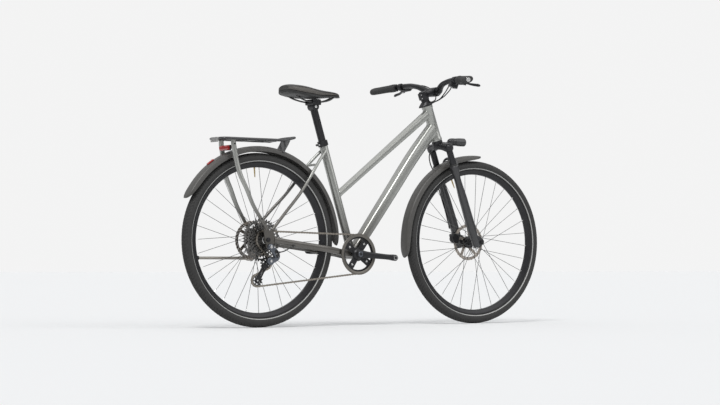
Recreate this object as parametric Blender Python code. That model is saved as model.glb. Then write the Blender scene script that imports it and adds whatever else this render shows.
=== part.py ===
"""Trekking bike with a low stagger frame, suspension fork, disc brakes, mudguards and a rear carrier.

Units are metres, +Z is up, +X is forward and +Y is the rider's left. The origin is on the floor, midway
between the wheels. Empties carry the assembly: each one stands on an axis of the bike, and the pieces round
that axis are drawn in its coordinates. Lists of points in a side view are (x, z), others are (x, y, z), in
the empty's coordinates.
"""

import math

import bmesh
import bpy
from mathutils import Matrix, Vector
from mathutils.geometry import tessellate_polygon

FIT_GAP = 0.0003
CUT_MARGIN = 0.0100

# Wheels and the stance of the bike
WHEELBASE = 1.106
WHEEL_RADIUS = 0.356
HEAD_ANGLE = math.radians(70.3)
SEAT_ANGLE = math.radians(72.5)
FORK_OFFSET = 0.040
FORK_TRAVEL = 0.040
BOTTOM_BRACKET_X = 0.459
BOTTOM_BRACKET_DROP = 0.056
BOTTOM_BRACKET_HEIGHT = WHEEL_RADIUS - BOTTOM_BRACKET_DROP

# Tyre, rim and spokes
TYRE_SECTION_RADIUS = 0.0235
TYRE_BEAD_HALF_WIDTH = 0.0112
TYRE_HEIGHT = 0.0395
RIM_DEPTH = 0.0200
RIM_CHANNEL_DEPTH = 0.0090
RIM_SHOULDER_DEPTH = 0.0130
RIM_FLANGE_RADIUS = WHEEL_RADIUS - TYRE_HEIGHT
RIM_INNER_RADIUS = RIM_FLANGE_RADIUS - RIM_DEPTH
RIM_CHANNEL_RADIUS = RIM_FLANGE_RADIUS - RIM_CHANNEL_DEPTH
RIM_SHOULDER_RADIUS = RIM_FLANGE_RADIUS - RIM_SHOULDER_DEPTH
RIM_HALF_WIDTH = 0.0140
RIM_INNER_HALF_WIDTH = 0.0060
RIM_WALL = 0.0016
WHEEL_STEPS = 32
SPOKE_COUNT = 32
SPOKE_RADIUS = 0.0012
SPOKE_FLANGE_RADIUS = 0.0225
SPOKE_HEAD_SHIFT = 0.0015
SPOKE_TIP_Y = 0.0022
SPOKE_LEAD_ANGLE = math.radians(67.5)
REAR_FLANGES = (-0.0165, 0.0330)
FRONT_FLANGES = (-0.0330, 0.0270)
HUB_SHELL_RADIUS = 0.0135
HUB_BORE_RADIUS = 0.0062

# Axles, dropouts and brake rotors
AXLE_RADIUS = 0.0050
AXLE_NUT_RADIUS = 0.0095
REAR_DROPOUT_FACE = 0.0675
FRONT_DROPOUT_FACE = 0.0500
DROPOUT_THICKNESS = 0.0070
ROTOR_RADIUS = 0.0800
ROTOR_RING_WIDTH = 0.0135
ROTOR_THICKNESS = 0.0018
REAR_ROTOR_Y = 0.0520
FRONT_ROTOR_Y = 0.0365

# Frame tubes
SEAT_TUBE_LENGTH = 0.4950
SEAT_TUBE_RADIUS = 0.01745
HEAD_TUBE_FOOT = 0.4806
HEAD_TUBE_TOP = 0.6400
HEAD_TUBE_RADIUS = 0.0225
HEAD_TUBE_LIP_RADIUS = 0.0245
HEAD_TUBE_BORE_RADIUS = 0.0175
STEERER_RADIUS = 0.0143
BB_SHELL_RADIUS = 0.0210
BB_SHELL_HALF_WIDTH = 0.0365
BB_BORE_RADIUS = 0.0175
CRANK_AXLE_RADIUS = 0.0120
CHAINSTAY_HALF_WIDTH = 0.0075
SEATSTAY_RADIUS = 0.0065

# Seatpost and saddle
SEATPOST_RADIUS = 0.0158
SEATPOST_LENGTH = 0.3250
SEATPOST_EXPOSED = 0.1480
SEATPOST_BORE_DEPTH = 0.3000
SADDLE_RAIL_RADIUS = 0.0035
SADDLE_RAIL_SPREAD = 0.0220

# Fork
LEG_SPREAD = 0.0600
LEG_X = 0.0070
STANCHION_RADIUS = 0.0140
LOWER_RADIUS = 0.0195
LOWER_TOP = 0.3600
STANCHION_FOOT = 0.1500

# Handlebar, stem and controls
BAR_CLAMP_RADIUS = 0.0159
BAR_GRIP_RADIUS = 0.0111
STEM_REACH = 0.0586
STEM_HEIGHT = 0.6838
GRIP_START = 0.2220
GRIP_END = 0.3500
LEVER_ANGLE = math.radians(37)
LEVER_MOUNT_Y = 0.2020

# Drive
CHAIN_PITCH = 0.0127
CHAINRING_TEETH = 40
ENGAGED_COG = 5
COG_TEETH = (42, 34, 28, 24, 21, 18, 15, 13, 11)
COG_SPACING = 0.00435
LARGEST_COG_Y = -0.0210
COG_THICKNESS = 0.0016
CHAINRING_THICKNESS = 0.0018
JOCKEY_TEETH = 12
CRANK_LENGTH = 0.1700
CRANK_DROP = math.radians(5)
CRANK_EYE_RADIUS = 0.0070
CRANK_ARM_THICKNESS = 0.0130
CAGE_PIVOT = (0.020, 0.270)
UPPER_JOCKEY_OFFSET = 0.0140
JOCKEY_SPACING = 0.0820

# Mudguards, carrier and kickstand
MUDGUARD_CLEARANCE = 0.0280
FRONT_MUDGUARD_CLEARANCE = 0.0240
MUDGUARD_RADIUS = WHEEL_RADIUS + MUDGUARD_CLEARANCE
FRONT_MUDGUARD_RADIUS = WHEEL_RADIUS + FRONT_MUDGUARD_CLEARANCE
MUDGUARD_HALF_WIDTH = 0.0280
MUDGUARD_WALL = 0.0022
CARRIER_CLEARANCE = 0.0240
CARRIER_HEIGHT = WHEEL_RADIUS + MUDGUARD_RADIUS + CARRIER_CLEARANCE
CARRIER_HALF_WIDTH = 0.0600
CARRIER_TUBE_RADIUS = 0.0050
KICKSTAND_LENGTH = 0.2650

SMOOTH_ANGLE = math.radians(38)


def clear_scene():
    """Start from an empty scene."""
    for item in list(bpy.data.objects):
        bpy.data.objects.remove(item, do_unlink=True)


def make_material(name, colour, roughness, metallic=0.0):
    """A Principled material of one colour."""
    material = bpy.data.materials.new(name)
    material.use_nodes = True
    shader = material.node_tree.nodes["Principled BSDF"]
    shader.inputs["Base Color"].default_value = (*colour, 1.0)
    shader.inputs["Roughness"].default_value = roughness
    shader.inputs["Metallic"].default_value = metallic
    return material


def make_empty(name, location, pitch=0.0, parent=None):
    """An empty on an axis of the bike, leaned back about Y by the pitch angle."""
    empty = bpy.data.objects.new(name, None)
    bpy.context.scene.collection.objects.link(empty)
    empty.empty_display_size = 0.05
    empty.parent = parent
    empty.location = location
    empty.rotation_euler = (0.0, -pitch, 0.0)
    return empty


def add_node(name, mesh_data, material, parent):
    """Turn a bmesh into a named object with its own material, smooth across shallow edges."""
    bmesh.ops.remove_doubles(mesh_data, verts=mesh_data.verts, dist=1e-6)
    bmesh.ops.recalc_face_normals(mesh_data, faces=mesh_data.faces)
    mesh = bpy.data.meshes.new(name)
    mesh_data.to_mesh(mesh)
    mesh_data.free()
    if material is not None:
        mesh.materials.append(material)
    mesh.shade_smooth()
    mesh.set_sharp_from_angle(angle=SMOOTH_ANGLE)
    node = bpy.data.objects.new(name, mesh)
    bpy.context.scene.collection.objects.link(node)
    node.parent = parent
    return node


def add_boolean(node, tool_mesh, operation, parent=None):
    """Unite a node with a hidden tool shape, or cut it by one."""
    tool = add_node(f"{node.name}_tool", tool_mesh, None, parent or node.parent)
    tool.hide_render = True
    tool.display_type = "WIRE"
    modifier = node.modifiers.new(operation.title(), "BOOLEAN")
    modifier.operation = operation
    modifier.object = tool
    return node


def unite(node, *shapes):
    """Fuse more shapes into a node."""
    for shape in shapes:
        add_boolean(node, shape, "UNION")
    return node


def cut(node, *shapes, parent=None):
    """Take shapes out of a node; they may be drawn in another empty's coordinates."""
    for shape in shapes:
        add_boolean(node, shape, "DIFFERENCE", parent)
    return node


def loft(rings, closed=False):
    """Skin a row of equal point rings; an open row gets flat ends."""
    mesh = bmesh.new()
    loops = [[mesh.verts.new(point) for point in ring] for ring in rings]
    followers = loops[1:] + (loops[:1] if closed else [])
    for loop, follower in zip(loops, followers):
        for index, corner in enumerate(loop):
            after = (index + 1) % len(loop)
            mesh.faces.new((corner, loop[after], follower[after], follower[index]))
    if not closed:
        mesh.faces.new(loops[0])
        mesh.faces.new(loops[-1])
    return mesh


def section_ring(centre, across, over, half_across, half_over, sides, squareness=1.0):
    """An oval ring round a centre; squareness below 1 pushes its corners out."""
    ring = []
    for index in range(sides):
        angle = 2 * math.pi * (index + 0.5) / sides
        cosine = math.cos(angle)
        sine = math.sin(angle)
        across_part = math.copysign(abs(cosine) ** squareness, cosine) * half_across
        over_part = math.copysign(abs(sine) ** squareness, sine) * half_over
        ring.append(centre + across * across_part + over * over_part)
    return ring


def sweep(points, radii, sides=10, over=(0, 0, 1), closed=False, squareness=1.0):
    """Loft oval sections along points; a radius is one number or (half width, half depth).

    The half depth lies towards the vector named over, and the half width square to it.
    """
    points = [Vector(point) for point in points]
    if not isinstance(radii, list):
        radii = [radii] * len(points)
    rings = []
    for index, point in enumerate(points):
        before = points[index - 1] if index or closed else point
        after = points[(index + 1) % len(points)] if index + 1 < len(points) or closed else point
        tangent = (after - point).normalized() + (point - before).normalized()
        tangent.normalize()
        across = tangent.cross(Vector(over)).normalized()
        depth = across.cross(tangent).normalized()
        radius = radii[index]
        half_across, half_over = radius if isinstance(radius, tuple) else (radius, radius)
        rings.append(section_ring(point, across, depth, half_across, half_over, sides, squareness))
    return loft(rings, closed)


def aimed(mesh, axis, centre):
    """Turn a shape drawn along Z to another axis and move it to its centre."""
    if axis == "Y":
        bmesh.ops.rotate(mesh, verts=mesh.verts, cent=(0, 0, 0), matrix=Matrix.Rotation(-math.pi / 2, 3, "X"))
    if axis == "X":
        bmesh.ops.rotate(mesh, verts=mesh.verts, cent=(0, 0, 0), matrix=Matrix.Rotation(math.pi / 2, 3, "Y"))
    bmesh.ops.translate(mesh, verts=mesh.verts, vec=Vector(centre))
    return mesh


def turn(profile, steps=32, axis="Y", centre=(0, 0, 0)):
    """Spin (radius, height) points about an axis; a profile that closes on itself makes a ring."""
    mesh = bmesh.new()
    corners = [mesh.verts.new((radius, 0, height)) for radius, height in profile]
    edges = [mesh.edges.new(pair) for pair in zip(corners, corners[1:])]
    if min(radius for radius, _ in profile) > 0:
        edges.append(mesh.edges.new((corners[-1], corners[0])))
    bmesh.ops.spin(
        mesh,
        geom=corners + edges,
        cent=(0, 0, 0),
        axis=(0, 0, 1),
        angle=2 * math.pi,
        steps=steps,
        use_merge=True,
    )
    bmesh.ops.remove_doubles(mesh, verts=mesh.verts, dist=1e-6)
    bmesh.ops.recalc_face_normals(mesh, faces=mesh.faces)
    return aimed(mesh, axis, centre)


def cylinder(radius, low, high, steps=16, axis="Y", centre=(0, 0, 0)):
    """A plain round bar between two heights on its axis."""
    mesh = bmesh.new()
    bmesh.ops.create_cone(
        mesh, cap_ends=True, segments=steps, radius1=radius, radius2=radius, depth=high - low
    )
    bmesh.ops.translate(mesh, verts=mesh.verts, vec=(0, 0, (low + high) / 2))
    return aimed(mesh, axis, centre)


def box(low, high):
    """A block between two corners."""
    mesh = bmesh.new()
    bmesh.ops.create_cube(mesh, size=1.0)
    size = Vector(high) - Vector(low)
    bmesh.ops.scale(mesh, vec=size, verts=mesh.verts)
    bmesh.ops.translate(mesh, vec=(Vector(low) + Vector(high)) / 2, verts=mesh.verts)
    return mesh


def plate(outline, low, high, holes=()):
    """Extrude a flat side-view outline of (x, z) points, with holes, between two y values."""
    loops = [outline, *holes]
    flat = [point for loop in loops for point in loop]
    if holes:
        patches = tessellate_polygon([[Vector((x, z, 0)) for x, z in loop] for loop in loops])
    else:
        patches = [range(len(outline))]
    mesh = bmesh.new()
    near = [mesh.verts.new((x, low, z)) for x, z in flat]
    far = [mesh.verts.new((x, high, z)) for x, z in flat]
    for patch in patches:
        mesh.faces.new([near[index] for index in patch])
        mesh.faces.new([far[index] for index in reversed(patch)])
    start = 0
    for loop in loops:
        for index in range(len(loop)):
            here = start + index
            after = start + (index + 1) % len(loop)
            mesh.faces.new((near[here], near[after], far[after], far[here]))
        start += len(loop)
    bmesh.ops.recalc_face_normals(mesh, faces=mesh.faces)
    return mesh


def circle(centre, radius, sides, phase=0.0):
    """Points (x, z) round a circle."""
    return [
        (
            centre[0] + radius * math.cos(phase + 2 * math.pi * index / sides),
            centre[1] + radius * math.sin(phase + 2 * math.pi * index / sides),
        )
        for index in range(sides)
    ]


def arc_points(radius, start, end, steps, centre=(0, 0)):
    """Points (x, z) along an arc, both ends included."""
    return [
        (
            centre[0] + radius * math.cos(start + (end - start) * index / steps),
            centre[1] + radius * math.sin(start + (end - start) * index / steps),
        )
        for index in range(steps + 1)
    ]


def curve_through(points, steps):
    """A smooth Catmull-Rom path through points, with the given steps per stretch."""
    points = [Vector(point) for point in points]
    padded = [2 * points[0] - points[1], *points, 2 * points[-1] - points[-2]]
    path = []
    for index in range(len(points) - 1):
        p0, p1, p2, p3 = padded[index : index + 4]
        for step in range(steps):
            t = step / steps
            slope = (p2 - p0) * t
            bend = (2 * p0 - 5 * p1 + 4 * p2 - p3) * t**2
            twist = (3 * p1 - p0 - 3 * p2 + p3) * t**3
            path.append((2 * p1 + slope + bend + twist) / 2)
    path.append(points[-1])
    return path


def moved(mesh, matrix):
    """Place a shape by a matrix."""
    bmesh.ops.transform(mesh, matrix=matrix, verts=mesh.verts)
    return mesh


def mirrored(points):
    """The same points on the bike's other side."""
    return [(x, -y, z) for x, y, z in points]


def add_cord(name, points, radius, material, parent, resolution=2, steps=2):
    """A cord as a poly curve with round bevel and filled caps, along a smooth path."""
    data = bpy.data.curves.new(name, "CURVE")
    data.dimensions = "3D"
    path = curve_through(points, steps)
    spline = data.splines.new("POLY")
    spline.points.add(len(path) - 1)
    for target, point in zip(spline.points, path):
        target.co = (*point, 1.0)
    data.bevel_depth = radius
    data.bevel_resolution = resolution
    data.use_fill_caps = True
    data.materials.append(material)
    cord = bpy.data.objects.new(name, data)
    bpy.context.scene.collection.objects.link(cord)
    cord.parent = parent
    return cord


clear_scene()

STEEL = make_material("brushed steel", (0.42, 0.40, 0.38), 0.38, 0.95)
SILVER_PAINT = make_material("silver grey paint", (0.43, 0.44, 0.41), 0.30, 0.75)
DARK_PAINT = make_material("brown grey paint", (0.13, 0.125, 0.115), 0.38, 0.60)
BLACK_METAL = make_material("black anodised metal", (0.02, 0.02, 0.022), 0.36, 0.60)
BLACK_PAINT = make_material("satin black paint", (0.022, 0.022, 0.024), 0.45, 0.20)
GUARD_PLASTIC = make_material("dark grey mudguard plastic", (0.055, 0.055, 0.056), 0.42)
TYRE_RUBBER = make_material("tyre rubber", (0.022, 0.021, 0.020), 0.85)
GRIP_RUBBER = make_material("grip rubber", (0.030, 0.030, 0.030), 0.80)
HOSE_PLASTIC = make_material("hose jacket", (0.015, 0.015, 0.015), 0.50)
SADDLE_COVER = make_material("saddle cover", (0.035, 0.033, 0.031), 0.60)
SADDLE_PLASTIC = make_material("saddle shell plastic", (0.020, 0.020, 0.020), 0.50)
CHAIN_STEEL = make_material("chain steel", (0.33, 0.28, 0.23), 0.35, 1.0)
COG_STEEL = make_material("cog steel", (0.30, 0.29, 0.28), 0.35, 1.0)
ROTOR_STEEL = make_material("rotor steel", (0.36, 0.32, 0.28), 0.32, 1.0)
LENS_PLASTIC = make_material("lamp housing", (0.030, 0.030, 0.032), 0.25)
RED_PLASTIC = make_material("red lens", (0.35, 0.01, 0.01), 0.20)
GREY_METAL = make_material("blue grey metal", (0.12, 0.13, 0.15), 0.35, 0.80)

HEAD_LEAN = math.pi / 2 - HEAD_ANGLE
SEAT_LEAN = math.pi / 2 - SEAT_ANGLE
STEERING_FOOT = (
    WHEELBASE - FORK_OFFSET * math.cos(HEAD_LEAN),
    0.0,
    WHEEL_RADIUS - FORK_OFFSET * math.sin(HEAD_LEAN),
)

chassis = make_empty("chassis", (-WHEELBASE / 2, 0.0, 0.0))
rear_hub = make_empty("rear_hub", (0.0, 0.0, WHEEL_RADIUS), parent=chassis)
crank_axis = make_empty("crank_axis", (BOTTOM_BRACKET_X, 0.0, BOTTOM_BRACKET_HEIGHT), parent=chassis)
seat_axis = make_empty("seat_axis", (BOTTOM_BRACKET_X, 0.0, BOTTOM_BRACKET_HEIGHT), SEAT_LEAN, chassis)
steering = make_empty("steering", STEERING_FOOT, HEAD_LEAN, chassis)
front_hub = make_empty("front_hub", (FORK_OFFSET, 0.0, 0.0), parent=steering)
bpy.context.view_layer.update()


def on_seat_tube(distance):
    """The chassis point on the seat tube's axis, this far above the bottom bracket."""
    return Vector(
        (
            BOTTOM_BRACKET_X - distance * math.sin(SEAT_LEAN),
            0.0,
            BOTTOM_BRACKET_HEIGHT + distance * math.cos(SEAT_LEAN),
        )
    )


def on_head_tube(height, forward=0.0):
    """The chassis point at a height on the steering axis, and forward of it."""
    return Vector(STEERING_FOOT) + Vector(
        (
            forward * math.cos(HEAD_LEAN) - height * math.sin(HEAD_LEAN),
            0.0,
            forward * math.sin(HEAD_LEAN) + height * math.cos(HEAD_LEAN),
        )
    )


# Head tube: butted ends and a through bore for the steerer
LIP_HEIGHT = 0.012
add_node(
    "head_tube",
    turn(
        [
            (HEAD_TUBE_LIP_RADIUS, HEAD_TUBE_TOP),
            (HEAD_TUBE_LIP_RADIUS, HEAD_TUBE_TOP - LIP_HEIGHT),
            (HEAD_TUBE_RADIUS, HEAD_TUBE_TOP - LIP_HEIGHT - 0.004),
            (HEAD_TUBE_RADIUS, HEAD_TUBE_FOOT + LIP_HEIGHT + 0.004),
            (HEAD_TUBE_LIP_RADIUS, HEAD_TUBE_FOOT + LIP_HEIGHT),
            (HEAD_TUBE_LIP_RADIUS, HEAD_TUBE_FOOT),
            (HEAD_TUBE_BORE_RADIUS, HEAD_TUBE_FOOT),
            (HEAD_TUBE_BORE_RADIUS, HEAD_TUBE_TOP),
        ],
        16,
        "Z",
    ),
    SILVER_PAINT,
    steering,
)


def head_tube_envelope():
    """The head tube's outer form with a fit gap all round."""
    return cylinder(
        HEAD_TUBE_LIP_RADIUS + FIT_GAP, HEAD_TUBE_FOOT - CUT_MARGIN, HEAD_TUBE_TOP + CUT_MARGIN, 16, "Z"
    )


def seat_tube_envelope():
    """The seat tube's outer form with a fit gap all round."""
    return cylinder(SEAT_TUBE_RADIUS + FIT_GAP, 0.0, SEAT_TUBE_LENGTH + CUT_MARGIN, 16, "Z")


def shell_envelope():
    """The bottom bracket shell's outer form with a fit gap all round."""
    return cylinder(
        BB_SHELL_RADIUS + FIT_GAP, -BB_SHELL_HALF_WIDTH - CUT_MARGIN, BB_SHELL_HALF_WIDTH + CUT_MARGIN, 16
    )


# Seat tube with the bottom bracket shell welded to its foot
seat_tube = add_node(
    "seat_tube",
    cylinder(SEAT_TUBE_RADIUS, BB_BORE_RADIUS / 2, SEAT_TUBE_LENGTH, 16, "Z"),
    SILVER_PAINT,
    seat_axis,
)
unite(seat_tube, cylinder(BB_SHELL_RADIUS, -BB_SHELL_HALF_WIDTH, BB_SHELL_HALF_WIDTH, 16))
cut(
    seat_tube,
    cylinder(
        SEATPOST_RADIUS + FIT_GAP,
        SEAT_TUBE_LENGTH - SEATPOST_BORE_DEPTH,
        SEAT_TUBE_LENGTH + CUT_MARGIN,
        16,
        "Z",
    ),
    cylinder(BB_BORE_RADIUS, -BB_SHELL_HALF_WIDTH - CUT_MARGIN, BB_SHELL_HALF_WIDTH + CUT_MARGIN, 16),
)

# Main tubes: oval sections that swell towards the head, mitred to the tubes they meet
TOP_TUBE_SEAT_END = 0.2560
TOP_TUBE_HEAD_END = 0.6080
TOP_TUBE_HALF_WIDTH = 0.0170
DOWN_TUBE_HEAD_END = 0.5380
DOWN_TUBE_HALF_WIDTH = 0.0270

# Each step of a taper is (share of the length, width share, depth share)
TOP_TUBE_TAPER = [
    (0.0, 0.82, 0.80),
    (0.35, 0.86, 0.88),
    (0.7, 0.94, 1.0),
    (0.9, 1.0, 1.08),
    (1.0, 1.04, 1.12),
]


def top_tube_form(clearance=0.0):
    """The top tube's solid; the clearance grows it all round."""
    seat_end = on_seat_tube(TOP_TUBE_SEAT_END)
    head_end = on_head_tube(TOP_TUBE_HEAD_END)
    points = [seat_end.lerp(head_end, place) for place, _, _ in TOP_TUBE_TAPER]
    radii = [
        (TOP_TUBE_HALF_WIDTH * width + clearance, TOP_TUBE_HALF_WIDTH * depth + clearance)
        for _, width, depth in TOP_TUBE_TAPER
    ]
    return sweep(points, radii, 12, squareness=0.75)


top_tube = add_node("top_tube", top_tube_form(), SILVER_PAINT, chassis)
cut(top_tube, head_tube_envelope(), parent=steering)
cut(top_tube, seat_tube_envelope(), parent=seat_axis)

down_tube_points = [
    Vector((BOTTOM_BRACKET_X, 0.0, BOTTOM_BRACKET_HEIGHT)),
    Vector((0.528, 0.0, 0.390)),
    Vector((0.660, 0.0, 0.566)),
    Vector((0.790, 0.0, 0.738)),
    on_head_tube(DOWN_TUBE_HEAD_END),
]
down_tube = add_node(
    "down_tube",
    sweep(
        down_tube_points,
        [
            (DOWN_TUBE_HALF_WIDTH * width, DOWN_TUBE_HALF_WIDTH * depth)
            for width, depth in ((0.92, 0.74), (0.95, 0.86), (1.0, 0.94), (1.0, 1.0), (0.86, 1.08))
        ],
        12,
        squareness=0.70,
    ),
    SILVER_PAINT,
    chassis,
)
cut(down_tube, shell_envelope(), parent=seat_axis)
cut(down_tube, head_tube_envelope(), parent=steering)
cut(down_tube, seat_tube_envelope(), parent=seat_axis)
cut(down_tube, top_tube_form(FIT_GAP))

# Rear triangle: bowed chainstays with plate dropouts, thin seatstays with a half bridge each
DROPOUT_Y = REAR_DROPOUT_FACE + DROPOUT_THICKNESS / 2
DROPOUT_TOP = 0.400
chainstay_line = [
    (0.030, DROPOUT_Y, 0.3560),
    (0.084, 0.0660, 0.3480),
    (0.200, 0.0600, 0.3330),
    (0.310, 0.0540, 0.3190),
    (0.355, 0.0430, 0.3130),
    (0.395, 0.0345, 0.3060),
    (0.459, 0.0230, 0.3000),
]
chainstay_depths = [0.0120, 0.0130, 0.0135, 0.0135, 0.0130, 0.0125, 0.0120]
dropout_top_edge = [
    (0.0440, 0.3680),
    (0.0320, DROPOUT_TOP),
    (-0.0100, DROPOUT_TOP),
    (-0.0150, 0.3660),
    (-0.0160, 0.3540),
]
dropout_outlines = {
    "left": dropout_top_edge
    + [(-0.0080, 0.3400), (-0.0040, 0.3160), (0.0300, 0.3160), (0.0360, 0.3430), (0.0440, 0.3440)],
    "right": dropout_top_edge
    + [
        (-0.0085, 0.3440),
        (-0.0062, 0.3300),
        (-0.0005, 0.3205),
        (0.0070, 0.3180),
        (0.0145, 0.3215),
        (0.0185, 0.3340),
        (0.0270, 0.3415),
        (0.0440, 0.3440),
    ],
}
seatstay_line = [
    (0.0215, DROPOUT_Y, DROPOUT_TOP - 0.004),
    (0.0900, 0.0660, 0.4700),
    (0.1730, 0.0540, 0.5560),
    (0.2130, 0.0470, 0.6060),
    (0.2500, 0.0400, 0.6560),
    (0.2800, 0.0300, 0.6920),
    (0.3210, 0.0190, 0.7350),
]
BRIDGE_X = 0.2620
BRIDGE_HEIGHT = 0.6700
BRIDGE_RADIUS = 0.0055
BRIDGE_REACH = 0.0370
for side, hand in (("left", 1), ("right", -1)):
    stay_points = [(x, y * hand, z) for x, y, z in chainstay_line]
    radii = [(CHAINSTAY_HALF_WIDTH, depth) for depth in chainstay_depths]
    chainstay = add_node(
        f"chainstay_{side}", sweep(stay_points, radii, 8, squareness=0.8), DARK_PAINT, chassis
    )
    faces = sorted((hand * REAR_DROPOUT_FACE, hand * (REAR_DROPOUT_FACE + DROPOUT_THICKNESS)))
    unite(chainstay, plate(dropout_outlines[side], *faces))
    cut(chainstay, shell_envelope(), parent=seat_axis)
    cut(chainstay, seat_tube_envelope(), parent=seat_axis)
    cut(chainstay, cylinder(AXLE_RADIUS + FIT_GAP, *sorted((hand * 0.05, hand * 0.09)), 12), parent=rear_hub)

    stay_points = [(x, y * hand, z) for x, y, z in seatstay_line]
    seatstay = add_node(f"seatstay_{side}", sweep(stay_points, SEATSTAY_RADIUS, 8), DARK_PAINT, chassis)
    bridge_ends = sorted((hand * FIT_GAP / 2, hand * BRIDGE_REACH))
    unite(seatstay, cylinder(BRIDGE_RADIUS, *bridge_ends, 8, centre=(BRIDGE_X, 0.0, BRIDGE_HEIGHT)))
    cut(seatstay, seat_tube_envelope(), parent=seat_axis)
    cut(seatstay, box((-0.05, -0.1, DROPOUT_TOP - 0.1), (0.06, 0.1, DROPOUT_TOP + FIT_GAP)))

# Seat clamp: a collar with two ears and a bolt behind
CLAMP_HEIGHT = 0.0220
CLAMP_WALL = 0.0040
CLAMP_BOLT_RADIUS = 0.0034
CLAMP_BOLT_REACH = 0.0130
CLAMP_BOLT_OFFSET = 0.0050
clamp_inner = SEAT_TUBE_RADIUS + FIT_GAP
seat_clamp = add_node(
    "seat_clamp",
    turn(
        [
            (clamp_inner + CLAMP_WALL, SEAT_TUBE_LENGTH),
            (clamp_inner + CLAMP_WALL, SEAT_TUBE_LENGTH - CLAMP_HEIGHT),
            (clamp_inner, SEAT_TUBE_LENGTH - CLAMP_HEIGHT),
            (clamp_inner, SEAT_TUBE_LENGTH),
        ],
        16,
        "Z",
    ),
    BLACK_METAL,
    seat_axis,
)
clamp_rear = clamp_inner + CLAMP_WALL
unite(
    seat_clamp,
    box(
        (-clamp_rear - 0.010, -0.0075, SEAT_TUBE_LENGTH - CLAMP_HEIGHT + 0.003),
        (-clamp_rear + 0.0015, 0.0075, SEAT_TUBE_LENGTH - 0.003),
    ),
    cylinder(
        CLAMP_BOLT_RADIUS,
        -CLAMP_BOLT_REACH,
        CLAMP_BOLT_REACH,
        8,
        centre=(-clamp_rear - CLAMP_BOLT_OFFSET, 0.0, SEAT_TUBE_LENGTH - CLAMP_HEIGHT / 2),
    ),
)

# Bottom bracket: a cup outside each face of the shell, joined by the sleeve between them
CUP_RADIUS = 0.0215
CUP_WIDTH = 0.0065
cup_face = BB_SHELL_HALF_WIDTH + FIT_GAP
sleeve_bore = CRANK_AXLE_RADIUS + FIT_GAP
sleeve_radius = BB_BORE_RADIUS - FIT_GAP
add_node(
    "bottom_bracket",
    turn(
        [
            (sleeve_bore, -cup_face - CUP_WIDTH),
            (CUP_RADIUS - 0.002, -cup_face - CUP_WIDTH),
            (CUP_RADIUS, -cup_face - CUP_WIDTH + 0.002),
            (CUP_RADIUS, -cup_face),
            (sleeve_radius, -cup_face),
            (sleeve_radius, cup_face),
            (CUP_RADIUS, cup_face),
            (CUP_RADIUS, cup_face + CUP_WIDTH - 0.002),
            (CUP_RADIUS - 0.002, cup_face + CUP_WIDTH),
            (sleeve_bore, cup_face + CUP_WIDTH),
        ],
        16,
    ),
    BLACK_METAL,
    seat_axis,
)


def axle_profile(face, thickness, cone_length, end_length):
    """Axle outline as (radius, y): cones inside the dropouts, the bar through them, nuts outside."""
    outer = face + thickness + FIT_GAP
    inner = face - FIT_GAP
    half = [
        (AXLE_RADIUS, inner - cone_length),
        (0.0085, inner - cone_length),
        (0.0085, inner),
        (AXLE_RADIUS, inner),
        (AXLE_RADIUS, outer),
        (AXLE_NUT_RADIUS, outer),
        (AXLE_NUT_RADIUS - 0.001, outer + end_length),
        (0.0, outer + end_length),
    ]
    return [(radius, -y) for radius, y in reversed(half)] + half


rear_axle_profile = axle_profile(REAR_DROPOUT_FACE, DROPOUT_THICKNESS, 0.0050, 0.0075)
add_node("rear_axle", turn(rear_axle_profile, 8), BLACK_METAL, rear_hub)

# Rear brake caliper: straddles the rotor on top of the left chainstay
CALIPER_HALF_WIDTH = 0.0095
CALIPER_SLOT = 0.0052
CALIPER_LENGTH = 0.0460
CALIPER_HEIGHT = 0.0300


def caliper_form(outer_reach):
    """A caliper over the rotor's rim; the rotor turns in the plane y = 0, with its centre below."""
    half = CALIPER_LENGTH / 2
    outline = [
        (-half, -0.0040),
        (-half + 0.006, -CALIPER_HEIGHT / 2),
        (half - 0.006, -CALIPER_HEIGHT / 2),
        (half, -0.0040),
        (half - 0.004, 0.0100),
        (half - 0.013, CALIPER_HEIGHT / 2 + 0.004),
        (-half + 0.013, CALIPER_HEIGHT / 2 + 0.004),
        (-half + 0.004, 0.0100),
    ]
    return plate(outline, -CALIPER_HALF_WIDTH, outer_reach)


def rotor_slot():
    """The room that a rotor needs in its caliper."""
    return cylinder(ROTOR_RADIUS + 0.0015, -CALIPER_SLOT / 2, CALIPER_SLOT / 2, 32)


rear_caliper_angle = math.radians(43)
rear_caliper_radius = ROTOR_RADIUS - 0.0060
caliper_place = (
    Matrix.Translation((0.0, REAR_ROTOR_Y, 0.0))
    @ Matrix.Rotation(-(rear_caliper_angle - math.pi / 2), 4, "Y")
    @ Matrix.Translation((0.0, 0.0, rear_caliper_radius))
)
rear_caliper = add_node(
    "rear_brake_caliper", moved(caliper_form(CALIPER_HALF_WIDTH), caliper_place), BLACK_METAL, rear_hub
)
foot_low = (0.0480, REAR_ROTOR_Y + 0.0065, 0.0020)
foot_high = (0.0860, REAR_ROTOR_Y + 0.0200, 0.0500)
unite(rear_caliper, box(foot_low, foot_high))
cut(rear_caliper, moved(rotor_slot(), Matrix.Translation((0.0, REAR_ROTOR_Y, 0.0))))
cut(
    rear_caliper,
    sweep(
        chainstay_line,
        [(CHAINSTAY_HALF_WIDTH + FIT_GAP, depth + FIT_GAP) for depth in chainstay_depths],
        8,
        squareness=0.8,
    ),
    parent=chassis,
)
add_cord(
    "rear_brake_hose",
    [
        (0.0860, 0.0560, 0.4160),
        (0.0990, 0.0570, 0.4110),
        (0.1220, 0.0590, 0.3900),
        (0.1480, 0.0615, 0.3600),
        (0.1660, 0.0612, 0.3532),
        (0.1880, 0.0605, 0.3503),
    ],
    0.0024,
    HOSE_PLASTIC,
    chassis,
)

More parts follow.
